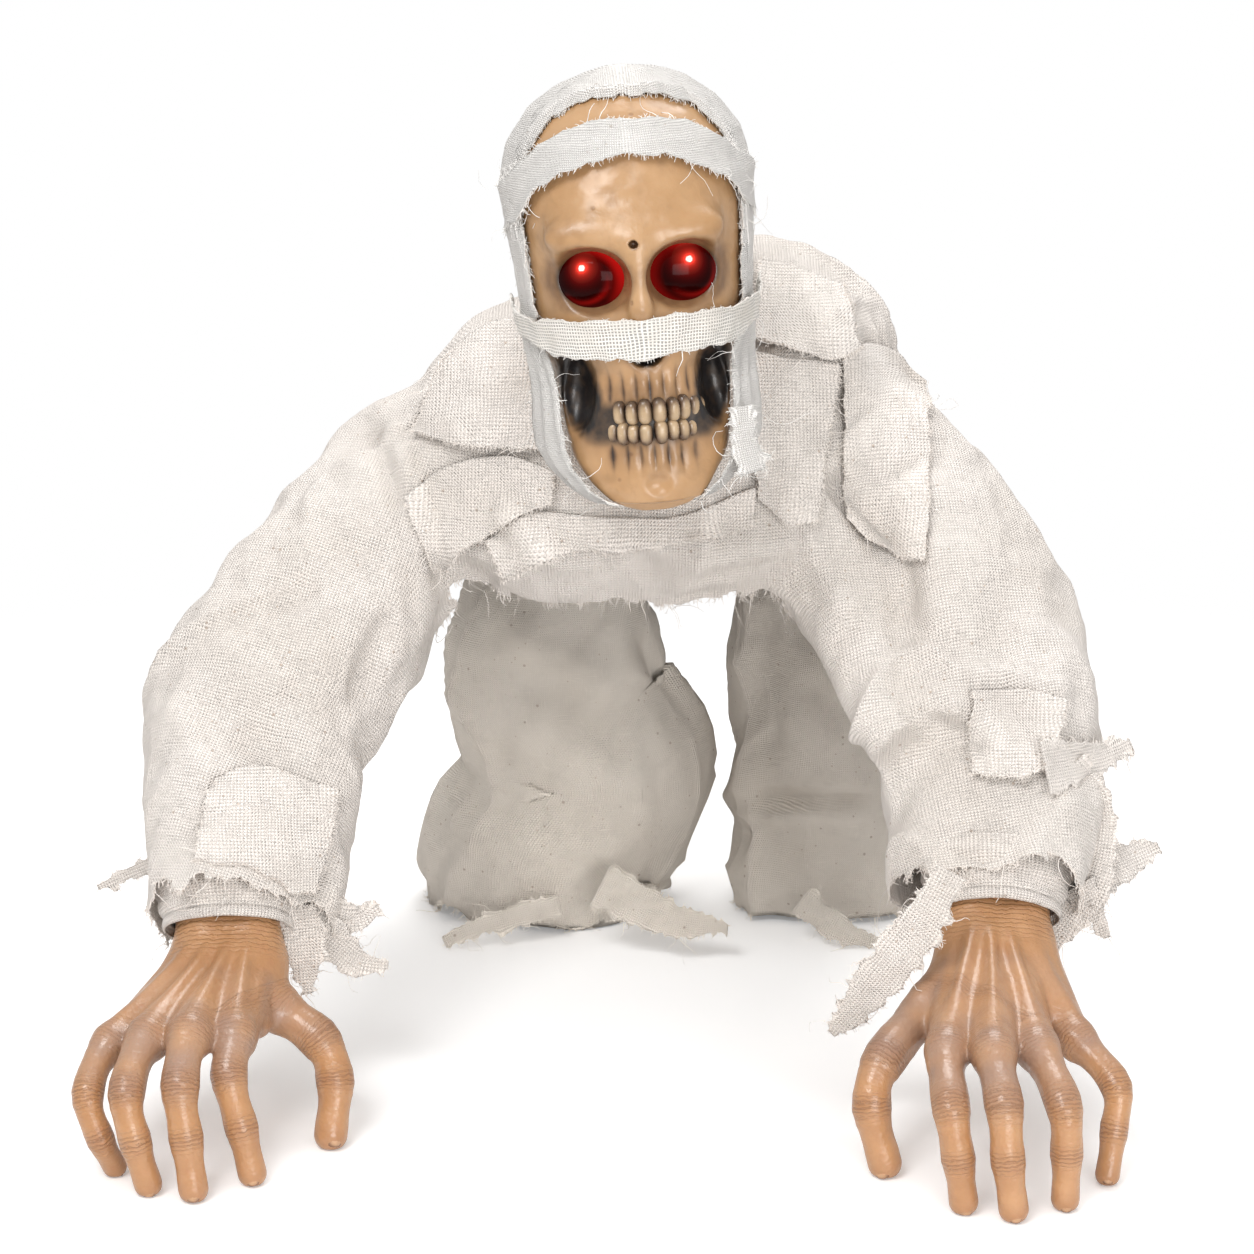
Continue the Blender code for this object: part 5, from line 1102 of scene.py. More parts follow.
def make_teeth(tooth):
    """Two rows of rounded teeth on the arch, dark between them and at the gums."""
    unit, unit_faces = ellipsoid(18, 14)
    shaped = np.sign(unit) * np.abs(unit) ** 0.78
    shaped /= np.maximum(np.abs(shaped).max(0), 1e-9)
    for name, upper in (("upper_teeth", True), ("lower_teeth", False)):
        verts, faces, brown, black = [], [], [], []
        scale = 1.0 if upper else 0.94
        for side in (-1.0, 1.0):
            run = 0.0
            for k, wide in enumerate(TOOTH_WIDTHS):
                wide = wide * scale
                turn = side * (run + wide / 2) / TEETH_REACH[0]
                run += wide
                high = TOOTH_HEIGHT * (1.0, 0.90, 0.98, 0.88, 0.80, 0.74)[k] * (1.0 if upper else 0.90)
                jitter = hashed(k, int(side), 3 if upper else 5, 7)
                turn += jitter * 0.02
                local = shaped * (wide * 0.56, 0.0046 + jitter * 0.0005, high * (1 + 0.07 * jitter) / 2)
                narrow = 1.0 - 0.09 * (local[:, 2] / high * (1 if upper else -1) + 0.3)
                local[:, 0] *= narrow
                c, s = math.cos(turn), math.sin(turn)
                x = TEETH_AT[0] + TEETH_REACH[0] * s + local[:, 0] * c + local[:, 1] * s
                y = TEETH_AT[1] - TEETH_REACH[1] * c + local[:, 0] * s - local[:, 1] * c
                middle = BITE_Z + (high / 2 - 0.0004) * (1 if upper else -1) + jitter * 0.0005
                z = middle + local[:, 2] - 0.0010 * (turn / 1.2) ** 2
                verts.append(np.stack((x, y, z), axis=1))
                faces += [tuple(i + len(unit) * (len(verts) - 1) for i in f) for f in unit_faces]
                edge = np.abs(shaped[:, 0])
                gum = shaped[:, 2] * (1 if upper else -1)
                brown.append(np.clip(step01(edge, 0.30, 0.90) * 0.80 + step01(gum, 0.05, 0.85) * 0.85
                                     + step01(-gum, 0.75, 1.0) * 0.3, 0, 1))
                black.append(np.clip(step01(edge, 0.76, 1.0) * 0.9 + step01(gum, 0.62, 1.0) * 0.60, 0, 1))
        verts = np.concatenate(verts)
        piece = add(name, head_world(verts), faces, tooth, None,
                    {"brown": np.concatenate(brown), "black": np.concatenate(black)})
        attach(piece, "head")


EYE_TURN = 0.32
EYE_OUTER = 0.80


def make_eyes(lens):
    """Dark red domes in the sockets, bright at the lamp and round the rim."""
    unit, faces = ellipsoid(72, 48)
    for side, sign in SIGN.items():
        radii = np.array((0.0235, 0.0130, 0.0196))
        centre = np.array((sign * EYE_SPREAD, -0.0600, HEAD_HEIGHT * EYE_LEVEL))
        local = unit * radii * (1.03 if sign > 0 else 1.0)
        local[:, 0] *= np.where(local[:, 0] * sign > 0, EYE_OUTER, 1.0)
        c, s = math.cos(sign * EYE_TURN), math.sin(sign * EYE_TURN)
        points = np.stack((c * local[:, 0] - s * local[:, 1], s * local[:, 0] + c * local[:, 1],
                           local[:, 2]), axis=1) + centre
        u, w = unit[:, 0], unit[:, 2]
        radius = np.sqrt(u ** 2 + w ** 2)
        lamp = np.sqrt((u - (-0.10 if sign > 0 else 0.04)) ** 2 + ((w - 0.38) * 0.95) ** 2)
        spot = np.exp(-(lamp / 0.105) ** 2) + 0.20 * np.exp(-(lamp / 0.27) ** 2)
        turn = np.arctan2(w, u)
        rim = step01(radius, 0.70, 0.98) * (0.12 + 0.80 * np.clip(np.sin(turn + 0.9), 0, 1))
        low = 0.14 * np.exp(-((radius - 0.66) / 0.08) ** 2) * np.clip(-np.sin(turn - 0.5), 0, 1)
        veil = 0.07 * np.exp(-(lamp / 0.45) ** 2)
        glow = np.clip(rim * (1.0 if sign > 0 else 0.45) + low + veil, 0, 1)
        piece = add(side + "_eye_dome", head_world(points), faces, lens, None,
                    {"glow": glow, "spot": np.clip(spot, 0, 1)})
        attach(piece, "head")
        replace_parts(piece, side + "_eye_lens", side + "_eye_lamp")


def turned(angle):
    """Angle from straight ahead, in degrees."""
    return np.abs(np.degrees(np.arctan2(np.sin(angle), np.cos(angle))))


def hood_edge(angle):
    """Level of the hood's lower edge round the head."""
    return np.interp(turned(angle), (0, 34, 50, 58, 62, 66, 100, 180),
                     (0.960, 0.955, 0.925, 0.85, 0.66, 0.42, 0.385, 0.385))


def strap_low(angle):
    """Level of the forehead strap's lower edge."""
    return np.interp(turned(angle), (0, 15, 30, 45, 60, 90, 120, 180),
                     (0.825, 0.818, 0.79, 0.755, 0.69, 0.64, 0.61, 0.58))


def strap_high(angle):
    """Level of the forehead strap's upper edge."""
    return np.interp(turned(angle), (0, 15, 30, 45, 60, 90, 120, 180),
                     (0.90, 0.897, 0.883, 0.85, 0.80, 0.745, 0.715, 0.69))


def gauze_low(angle):
    """Level of the nose gauze's lower edge."""
    return np.interp(turned(angle), (0, 45, 75, 90), (0.368, 0.375, 0.41, 0.43))


def gauze_high(angle):
    """Level of the nose gauze's upper edge."""
    return np.interp(turned(angle), (0, 45, 75, 90), (0.458, 0.464, 0.460, 0.48))


def head_band(name, angles, low, high, proud, material, body_threads, rag=0.004, rows=14, seed=1,
              closed=False, edges=(True, True), replaces=(), rough=0.0006,
              threads=(0.0009, (0.002, 0.006), 0.05)):
    """Strip of cloth on the head between two height curves, with ragged edges and threads."""
    angles = np.asarray(angles)
    count = len(angles)
    key = np.stack((np.sin(angles) * 0.07, np.cos(angles) * 0.07, np.full(count, seed * 0.37)), axis=1)
    ragged = [noise(key, 0.006, seed) * rag + noise(key, 0.018, seed + 1) * rag
              + np.maximum(0, noise(key, 0.0022, seed + 2)) * rag * 0.8,
              noise(key, 0.006, seed + 3) * rag + noise(key, 0.018, seed + 4) * rag
              + np.maximum(0, noise(key, 0.0022, seed + 5)) * rag * 0.8]
    low = low + ragged[0] / HEAD_HEIGHT * (1 if edges[0] else 0.2)
    high = high + ragged[1] / HEAD_HEIGHT * (1 if edges[1] else 0.2)
    grid, uv, edge = [], [], []
    for r in range(rows):
        share = r / (rows - 1)
        level = low + (high - low) * share
        lift = 0.0012 * (abs(share - 0.5) * 2) ** 3
        grid.append(head_form(angles, level, proud + lift))
        uv.append(np.stack((angles * 0.075, level * HEAD_HEIGHT), axis=1))
        edge.append(np.full(count, step01(abs(share - 0.5) * 2, 0.72, 1.0)))
    grid = np.array(grid)
    flat_points = grid.reshape(-1, 3)
    centre = np.array((0, 0.0, 0.12))
    away = flat_points - centre
    away /= np.linalg.norm(away, axis=1, keepdims=True)
    wave = noise(flat_points, 0.016, seed + 6) * rough * 1.6 + noise(flat_points, 0.006, seed + 7) * rough
    flat_points = flat_points + away * wave[:, None]
    world = head_world(flat_points)
    piece = add(name, world, grid_faces(rows, count, closed), material,
                np.concatenate(uv), {"edge": np.concatenate(edge)})
    thicken(piece, CLOTH_WALL, 1.0)
    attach(piece, "head")
    if replaces:
        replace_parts(piece, *replaces)
    shaped = world.reshape(rows, count, 3)
    for use, r, inner in ((edges[0], 0, 1), (edges[1], rows - 1, rows - 2)):
        if use:
            out = edge_way(shaped[r], shaped[inner]) + away.reshape(rows, count, 3)[r] @ HEAD_TURN.T * 0.25
            body_threads.fringe(shaped[r], out, threads[0], threads[1], 0.1, threads[2], (0.010, 0.026))
    return piece


JAW_TUFT = (((742, 406, -0.118), (745, 430, -0.123), (749, 452, -0.125), (755, 472, -0.122)),
            (0.007, 0.012, 0.015, 0.010))


def make_hood(round_head, bandage, threads):
    """Smooth cloth over the crown and down behind the ears, open at the face."""
    count, rows = len(round_head), 60
    grid, uv, edge = [], [], []
    key = np.stack((np.sin(round_head) * 0.07, np.cos(round_head) * 0.07, np.zeros(count)), axis=1)
    rag = noise(key, 0.007, 21) * 0.0016 + noise(key, 0.02, 22) * 0.0016
    low = hood_edge(round_head) + rag / HEAD_HEIGHT
    for r in range(rows):
        share = r / (rows - 1)
        level = low + (0.9985 - low) * share ** 0.85
        grid.append(head_form(round_head, level, 0.0004 + 0.0026 * min(1.0, share * 4)))
        width = skull_row(level)[0]
        uv.append(np.stack(((round_head - TAU) * 0.072 * width,
                            level * HEAD_HEIGHT - width * 0.03), axis=1))
        edge.append(np.full(count, step01(1 - share, 0.90, 1.0)))
    flat = np.concatenate(grid)
    away = flat - (0, 0, 0.13)
    away /= np.linalg.norm(away, axis=1, keepdims=True)
    wave = noise(flat, 0.034, 23) * 0.0012 + noise(flat * (1.0, 1.0, 1.6), 0.012, 24) * 0.0007
    flat = flat + away * wave[:, None]
    world = head_world(flat)
    faces = grid_faces(rows, count)
    top = np.append(world, head_world([[0, 0, HEAD_HEIGHT + 0.0046]]), axis=0)
    faces += [((rows - 1) * count + c, (rows - 1) * count + (c + 1) % count, len(top) - 1)
              for c in range(count)]
    uv = np.append(np.concatenate(uv), [[0.0, HEAD_HEIGHT]], axis=0)
    piece = add("hood_cloth", top, faces, bandage, uv, {"edge": np.append(np.concatenate(edge), 0.0)})
    thicken(piece, THICK_WALL, 1.0)
    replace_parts(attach(piece, "head"), "head_hood")
    first, third = world[:count], world[count * 2:count * 3]
    threads.fringe(first, edge_way(first, third), 0.0010, (0.002, 0.007), 0.2, 0.07, (0.012, 0.030))


def make_wrappings(bandage, gauze, threads):
    """Hood, forehead strap, nose gauze and the wraps beside and under the jaw."""
    step = math.radians(1.5)
    round_head = np.arange(0, TAU - step / 2, step) + math.pi
    make_hood(round_head, bandage, threads)
    strap = head_band("strap_cloth", round_head, strap_low(round_head), strap_high(round_head), 0.0034,
                      bandage, threads, 0.0013, 16, 31, True, replaces=("forehead_strap",))
    spread = np.radians(np.linspace(-92, 92, 150))
    veil = head_band("gauze_cloth", spread, gauze_low(spread), gauze_high(spread), 0.0070, gauze, threads,
                     0.0016, 16, 41, replaces=("nose_gauze",), rough=0.0009,
                     threads=(0.0016, (0.001, 0.004), 0.03))
    for side, sign in SIGN.items():
        make_jaw_cloth(side, sign, bandage, threads)
    ribbon("jaw_tuft", *JAW_TUFT, bandage, threads, "head", 61, 0.006, 0.004, slot="bandage",
           rests="left_jaw_cloth")


def make_jaw_cloth(side, sign, bandage, threads):
    """Upright strip that edges the face from the temple down the jaw, flared below."""
    count, rows = 90, 14
    share = np.linspace(0, 1, count)
    level = np.interp(share, (0, 0.45, 0.8, 1.0), (0.80, 0.44, 0.14, 0.0))
    mid = np.interp(share, (0, 0.3, 0.55, 0.8, 1.0), (70, 71, 74, 84, 92))
    half = np.interp(share, (0, 0.3, 0.6, 1.0), (8, 10, 15, 26))
    key = np.stack((share * 0.2, np.full(count, sign), np.zeros(count)), axis=1)
    rag = [noise(key, 0.006, 50 + k) * 2.2 + noise(key, 0.016, 52 + k) * 2.0 for k in (0, 1)]
    flare = np.interp(share, (0, 0.42, 0.60, 0.8, 1.0), (0, 0, 0.006, 0.010, 0.008))
    grid, uv, edge = [], [], []
    for r in range(rows):
        t = r / (rows - 1) * 2 - 1
        angle = sign * np.radians(mid + t * half + (rag[0] if t < 0 else rag[1]) * abs(t) ** 4)
        proud = 0.0026 + flare * (1.0 + 0.8 * t) + 0.0010 * abs(t) ** 3 \
            + 0.0013 * np.sin(t * 9 + share * 3) * (1 - share * 0.6)
        grid.append(np.array([head_form(a, v, p) for a, v, p in zip(angle, level, proud)]))
        uv.append(np.stack((angle * 0.07, level * HEAD_HEIGHT), axis=1))
        edge.append(np.full(count, step01(abs(t), 0.7, 1.0)))
    world = head_world(np.array(grid).reshape(-1, 3))
    piece = add(side + "_jaw_cloth", world, grid_faces(rows, count, False), bandage,
                np.concatenate(uv), {"edge": np.concatenate(edge)})
    thicken(piece, CLOTH_WALL, 1.0 if sign < 0 else -1.0)
    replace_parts(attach(piece, "head"), side + "_jaw_strip")
    shaped = world.reshape(rows, count, 3)
    for r, inner in ((0, 1), (rows - 1, rows - 2)):
        threads.fringe(shaped[r], edge_way(shaped[r], shaped[inner]), 0.0012, (0.002, 0.007), 0.2, 0.06)


# Hands

def hand_joints(side, name):
    """Joints of one finger from the knuckle to the tip."""
    wrist = wrist_point(side)
    tip = FINGER_RADIUS * FINGER_WIDTH[name] * FINGER_TAPER[-1]
    made = []
    for shares in HAND_SHARES[side][name]:
        z = HAND_LENGTH * shares[2] if len(shares) == 3 else tip * TIP_HEIGHT_SHARE
        made.append(np.array((wrist[0] + SIGN[side] * HAND_LENGTH * shares[0],
                              wrist[1] - HAND_LENGTH * shares[1], z)))
    return made


def forearm_way(side):
    """Unit direction from the wrist up the forearm."""
    way = arm_station(side, ELBOW_SHARES[side]) - wrist_point(side)
    return way / np.linalg.norm(way)


def wrist_across(side, way):
    """Unit direction across the forearm, level and towards the figure's outside."""
    across = np.array((SIGN[side], 0.0, 0.0))
    across = across - way * (across @ way)
    return across / np.linalg.norm(across)


def make_hand(side, skin, nail):
    """Clawed hand from round bars: forearm, hand bones, tendons and bent fingers."""
    voxel = 0.0009
    wrist, way = wrist_point(side), forearm_way(side)
    fingers = {name: hand_joints(side, name) for name in HAND_SHARES[side]}
    cloud = np.array([p for points in fingers.values() for p in points] + [wrist, wrist + way * 0.055])
    low, high = cloud.min(0) - 0.036, cloud.max(0) + 0.036
    low[2] = -0.003
    field = Field(low, high, voxel)
    across = wrist_across(side, way)
    build_palm(field, fingers, wrist, way, across)
    segments = [build_finger(field, name, joints, wrist, across) for name, joints in fingers.items()]
    bore = wrist + way * (FOREARM_STUB - 0.030)
    field.limb(bore, wrist + way * 0.08, 0.0105, 0.0105, 0.0005, cut=True)
    field.d = soft_max(field.d, np.broadcast_to(-field.z, field.d.shape), 0.0012)
    plane = ((field.x - wrist[0]) * way[0] + (field.y - wrist[1]) * way[1]
             + (field.z - wrist[2]) * way[2]) - FOREARM_STUB
    field.d = soft_max(field.d, plane.astype(np.float32), 0.002)
    points, faces = field_mesh(field.d, field.low, voxel)
    points[:, 2] = np.maximum(points[:, 2], 0.0)
    knuckles = [fingers[name][0] for name in FOUR_FINGERS]
    values = hand_values(side, points, segments, wrist, way, knuckles)
    piece = add(side + "_hand_skin", points + SHIFT, faces, skin, None, values)
    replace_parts(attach(piece, "shoulders"), side + "_hand")
    make_nails(side, segments, nail)


def build_palm(field, fingers, wrist, way, across):
    """Forearm, hand bones and the web of the thumb, joined into the field."""
    for share in (-1, 1):
        shift = across * share * 0.0098
        field.limb(wrist + way * FOREARM_STUB + shift * 1.25, wrist + shift * 1.25, 0.0190, 0.0195, 0.010)
    for k, name in enumerate(FOUR_FINGERS):
        root = wrist + across * (k - 1.5) * 0.0125 - np.array((0, 0, 0.004))
        end = fingers[name][0] - np.array((0, 0, 0.0035))
        field.limb(root, end, 0.0155, 0.0115 * FINGER_WIDTH[name], 0.011)
    thumb = fingers["thumb"]
    root = wrist - across * 0.014 - np.array((0, 0, 0.006))
    field.limb(root, thumb[0], 0.0150, 0.0118, 0.010)
    web = (fingers["index"][0] * 0.55 + thumb[0] * 0.45) + np.array((0, 0.010, -0.006))
    field.limb(wrist - np.array((0, 0.0, 0.008)), web, 0.014, 0.0075, 0.012)


def build_finger(field, name, joints, wrist, across):
    """One finger with its tendon: name, path, run, joint places and radii along the path."""
    thick = FINGER_RADIUS * FINGER_WIDTH[name]
    inside = wrist + (joints[0] - wrist) * (0.45 if name != "thumb" else 0.35)
    control = [inside, *joints]
    path = smooth_path(control, 25)
    run = np.concatenate(([0.0], np.cumsum(np.linalg.norm(np.diff(path, axis=0), axis=1))))
    steps = [np.linalg.norm(b - a) for a, b in zip(control, control[1:])]
    spans = np.concatenate(([0.0], np.cumsum(steps)))
    spans *= run[-1] / spans[-1]
    radii = thick * np.interp(run, spans, FINGER_TAPER)
    for k in (1, 2, 3):
        half_way = (spans[k] + spans[min(k + 1, 4)]) / 2
        radii *= 1.0 - 0.11 * hump(run, half_way, 0.009)
        radii *= 1.0 + 0.05 * hump(run, spans[k], 0.006)
    radii = radii * 1.11
    field.chain(path, radii, 0.0045)
    if name != "thumb":
        k = FOUR_FINGERS.index(name)
        start = wrist + across * (k - 1.5) * 0.0085 + np.array((0, -0.004, 0.0150))
        end = joints[0] + np.array((0, 0.002, thick * 0.78))
        bow = (start + end) / 2 + np.array((0, -0.25, 1.0)) * 0.0010
        field.chain(smooth_path([start, bow, end], 7), 0.0016, 0.0080)
        field.ball(joints[0] + np.array((0, -0.001, thick * 0.40)), (0.0080, 0.0082, 0.0062), 0.007)
    return name, path, run, spans, radii


def hand_values(side, points, segments, wrist, way, knuckles):
    """Tint, brown wash and crease fields over the hand's points."""
    best = np.full(len(points), 9.0)
    along, crease, brown = (np.zeros(len(points)) for _ in range(3))
    for _, path, run, spans, radii in segments:
        distance = np.linalg.norm(points[:, None, :] - path[None, :, :], axis=2)
        near = distance.argmin(1)
        d = distance[np.arange(len(points)), near] - radii[near]
        way_here = directions(path)[near]
        s = run[near] + np.einsum("ij,ij->i", points - path[near], way_here)
        closer = (d < best) & (run[near] > spans[1] * 0.8)
        best = np.where(closer, d, best)
        mark = np.zeros(len(points))
        for k, weight, width in ((1, 0.5, 0.008), (2, 1.0, 0.0075), (3, 1.0, 0.0055)):
            mark += weight * hump(s, spans[k], width)
        along = np.where(closer, s, along)
        crease = np.where(closer, np.clip(mark, 0, 1), crease)
        tip = step01(s, spans[4] - 0.010, spans[4] + 0.004)
        brown = np.where(closer, np.clip(0.30 * mark + 0.35 * tip, 0, 1), brown)
    on_arm = step01((points - wrist) @ way, -0.012, 0.010)
    along = np.where(on_arm > 0.02, (points - wrist) @ way * 0.8, along)
    crease = np.maximum(crease, on_arm * 0.55)
    dark = np.full(len(points), 9.0)
    for k, knuckle in enumerate(knuckles):
        start = wrist + np.array((SIGN[side] * (k - 1.5) * 0.0085, -0.004, 0.012))
        span = knuckle - start
        t = np.clip(((points - start) @ span) / (span @ span), 0, 1)
        dark = np.minimum(dark, np.linalg.norm(points - start - t[:, None] * span, axis=1) - 0.0085)
    back = step01(points[:, 2], 0.050, 0.075) * step01(-((points - wrist) @ way), 0.006, 0.024)
    reach = step01(wrist[1] - points[:, 1], 0.015, 0.035) * step01(points[:, 2], 0.040, 0.060)
    tint = reach * back * (0.40 + 0.6 * step01(dark, 0.001, 0.006)) \
        * (0.75 + noise(points, 0.012, 61) * 0.45)
    return {"along": along, "crease": np.clip(crease, 0, 1), "brown": np.clip(brown, 0, 1),
            "tint": np.clip(tint, 0, 1)}


def make_nails(side, segments, nail):
    """Curved nails on the fingertips."""
    unit, unit_faces = ellipsoid(20, 12)
    shaped = np.sign(unit) * np.abs(unit) ** 0.75
    verts, faces, brown = [], [], []
    for name, path, _, _, radii in segments:
        thick = radii[-1]
        way = directions(path)[-1]
        front = np.array((-SIGN[side] * 0.55, -0.8, 0.55) if name == "thumb" else (0.0, -1.0, 0.45))
        up = front - way * (front @ way)
        up /= np.linalg.norm(up)
        across = np.cross(way, up)
        centre = path[-1] - way * thick * 0.10 + up * thick * 0.66
        local = shaped * (thick * 0.62, thick * 0.30, thick * 0.86)
        bend = -(local[:, 0] ** 2) / thick * 0.55
        points = centre + np.outer(local[:, 0], across) + np.outer(local[:, 1] + bend, up) \
            + np.outer(local[:, 2], way)
        points[:, 2] = np.maximum(points[:, 2], 0.0004)
        faces += [tuple(i + len(unit) * len(verts) for i in f) for f in unit_faces]
        verts.append(points)
        brown.append(np.clip(step01(np.hypot(shaped[:, 0], shaped[:, 2]), 0.75, 1.0), 0, 1))
    piece = add(side + "_nails", np.concatenate(verts) + SHIFT, faces, nail, None,
                {"brown": np.concatenate(brown), "black": np.zeros(sum(len(v) for v in verts))})
    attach(piece, "shoulders")


# Clothes

def shirt_line(angle):
    """Points of the shirt's form from hem to collar at one angle."""
    rows = []
    for front_z, side_z, back_z, front_half, back_half, front, back, tilt in SHIRT_ROWS:
        sine, cosine = math.sin(angle), math.cos(angle)
        rear = 0.5 - 0.5 * cosine
        end_z = front_z if cosine > 0 else back_z
        height = SHOULDER[2] * (side_z * sine ** 2 + end_z * cosine ** 2)
        half = SHIRT_HALF_SPAN * (front_half + (back_half - front_half) * rear)
        y_front, y_back = SHOULDER[1] - SHIRT_FRONT * front, SHOULDER[1] + SHIRT_BACK * back
        y = (y_front + y_back) / 2 \
            - (y_back - y_front) / 2 * math.copysign(abs(cosine) ** SHIRT_SQUARE, cosine)
        lean = max(0.0, (y - SHOULDER[1]) / (HIP[1] - SHOULDER[1]))
        x = SHOULDER[0] + (HIP[0] - SHOULDER[0]) * lean \
            + half * math.copysign(abs(sine) ** SHIRT_SQUARE, sine) + SHIRT_HALF_SPAN * tilt * rear
        rows.append((x, y, height))
    return rows


def sleeve_form(side, count=44):
    """Middle line and half widths of a sleeve."""
    path = smooth_path([arm_station(side, shares) for shares in SLEEVE_PATH[side]], count)
    width = spread_over(SLEEVE_WIDTH[side], count)
    return path, SLEEVE_HALF[0] * width, SLEEVE_HALF[1] * width


def fold_push(phase):
    """Folds that wind round a sleeve or a trouser leg, for rings()."""
    def push(angles, along):
        return 0.0055 * (0.7 * np.sin(3 * angles + phase + along * TAU * 0.8)
                         + 0.6 * (np.abs(np.sin(angles * 2 - along * TAU * 1.3 + phase)) - 0.5))
    return push


# Middle of the cloth that hangs below the left armpit: photo pixels and depth
WEB_PLACES = ((800, 470, 0.020), (838, 570, 0.005), (886, 665, -0.030), (925, 740, -0.070))


# Furthest back that cloth may reach, its wall thicknesses, and how the shirt is draped
CLOTH_BACK = 0.321
CLOTH_WALL = 0.0009
THICK_WALL = 0.0010
CLOTH_GROWTH = 0.075
CLOTH_FRAMES = 22
CLOTH_GRAVITY = 0.30


def build_garment():
    """Shirt and both sleeves as one sheet: points, faces, which part, the sleeves' forms and the torso's
    rings.
    """
    voxel = 0.0060
    low = np.array((-0.345, -0.190, 0.040))
    high = np.array((0.345, 0.330, 0.520))
    count = tuple(np.ceil((high - low) / voxel).astype(int) + 1)
    lines = [smooth_path(shirt_line(TAU * step / 96), 30) for step in range(96)]
    torso = np.array(lines).transpose(1, 0, 2)
    below = torso[0] + (0, 0, -0.030)
    torso = np.concatenate((below[None], torso))
    fields = [level_set(torso + SHIFT, low, count, voxel)]
    forms = {}
    for side, sign in SIGN.items():
        path, wide, deep = sleeve_form(side)
        way = directions(path)
        path = np.concatenate((path, path[-1:] + way[-1:] * 0.012, path[-1:] + way[-1:] * 0.026))
        wide, deep = np.append(wide, (wide[-1],) * 2), np.append(deep, (deep[-1],) * 2)
        grid = rings(path, np.array((sign, 0.0, 0.35)), wide, deep, 48, fold_push(0.6 + sign))
        fields.append(level_set(grid + SHIFT, low, count, voxel))
        forms[side] = (path + SHIFT, wide, deep)
    web = np.array([at_depth(*place) for place in WEB_PLACES])
    grid = rings(smooth_path(web, 14), np.array((1.0, 0.0, 0.2)), np.full(14, 0.034),
                 np.full(14, 0.030), 32)
    fields[2] = soft_min(fields[2], level_set(grid, low, count, voxel), 0.020)
    joined = soft_min(fields[0], fields[1], 0.022)
    joined = soft_min(joined, fields[2], 0.022)
    points, faces = field_mesh(joined, low, voxel)
    index = np.clip(np.round((points - low) / voxel).astype(int), 0, np.array(count) - 1)
    own = np.stack([f[index[:, 0], index[:, 1], index[:, 2]] for f in fields], axis=1)
    part = own.argmin(1)
    return points, faces, part, forms, torso


def sleeve_place(points, form):
    """Share along a sleeve, distance along it and the angle round it."""
    path, _, _ = form
    distance = np.linalg.norm(points[:, None, :] - path[None, ::2, :], axis=2)
    near = distance.argmin(1) * 2
    way = directions(path)
    run = np.concatenate(([0.0], np.cumsum(np.linalg.norm(np.diff(path, axis=0), axis=1))))
    offset = points - path[near]
    s = run[near] + np.einsum("ij,ij->i", offset, way[near])
    side = np.array((1.0, 0.0, 0.0)) - way[near] * way[near][:, :1]
    side /= np.linalg.norm(side, axis=1, keepdims=True)
    other = np.cross(way[near], side)
    turn = np.arctan2(np.einsum("ij,ij->i", offset, other), np.einsum("ij,ij->i", offset, side))
    return s, run[-1], turn


def hem_height(points, torso):
    """Height of the shirt's hem below each point."""
    hem = torso[1] + SHIFT
    centre = np.array((SHOULDER[0] + SHIFT[0] + 0.012, SHOULDER[1] + SHIFT[1] + 0.060))
    turn = np.arctan2(hem[:, 0] - centre[0], -(hem[:, 1] - centre[1]))
    order = turn.argsort()
    mine = np.arctan2(points[:, 0] - centre[0], -(points[:, 1] - centre[1]))
    height = np.interp(mine, turn[order], hem[order, 2], period=TAU)
    across = points[:, 0] - centre[0]
    rise = np.clip(across / 0.10, 0, 1.2) ** 2 * 0.030 + np.clip(-across / 0.10, 0, 1.2) ** 2 * 0.010
    return height + rise * step01(-(points[:, 1] - centre[1]), 0.0, 0.08), mine


def cloth_normals(points, faces):
    """Unit normals at the points of a mesh of triangles and quads."""
    normals = np.zeros_like(points)
    for size in (3, 4):
        group = np.array([f for f in faces if len(f) == size])
        if len(group):
            corner = [points[group[:, k]] for k in range(size)]
            if size == 3:
                face = np.cross(corner[1] - corner[0], corner[2] - corner[0])
            else:
                face = np.cross(corner[2] - corner[0], corner[3] - corner[1])
            for k in range(size):
                np.add.at(normals, group[:, k], face)
    return normals / np.maximum(np.linalg.norm(normals, axis=1, keepdims=True), 1e-12)


def boundary_loops(faces):
    """Ordered loops of the open edges of a mesh."""
    seen = {}
    for face in faces:
        for a, b in zip(face, face[1:] + face[:1]):
            if (b, a) in seen:
                del seen[(b, a)]
            else:
                seen[(a, b)] = True
    after = {}
    for a, b in seen:
        after.setdefault(a, []).append(b)
    loops = []
    while after:
        start = next(iter(after))
        loop, here = [start], start
        while True:
            choices = after.get(here)
            if not choices:
                break
            nxt = choices.pop()
            if not choices:
                del after[here]
            if nxt == start:
                break
            loop.append(nxt)
            here = nxt
        loops.append(loop)
    return loops


def split_faces(points, faces, extra):
    """Each face cut into four; extra is a dict of per-point arrays that are carried along."""
    points = list(points)
    carried = {k: list(v) for k, v in extra.items()}
    middles = {}

    def middle(a, b):
        key = (a, b) if a < b else (b, a)
        if key not in middles:
            middles[key] = len(points)
            points.append((points[a] + points[b]) / 2)
            for values in carried.values():
                values.append((values[a] + values[b]) / 2)
        return middles[key]

    made = []
    for face in faces:
        n = len(face)
        ring = [middle(face[i], face[(i + 1) % n]) for i in range(n)]
        centre = len(points)
        points.append(sum(points[i] for i in face) / n)
        for values in carried.values():
            values.append(sum(values[i] for i in face) / n)
        for i in range(n):
            made.append((face[i], ring[i], centre, ring[i - 1]))
    return np.array(points), made, {k: np.array(v) for k, v in carried.items()}


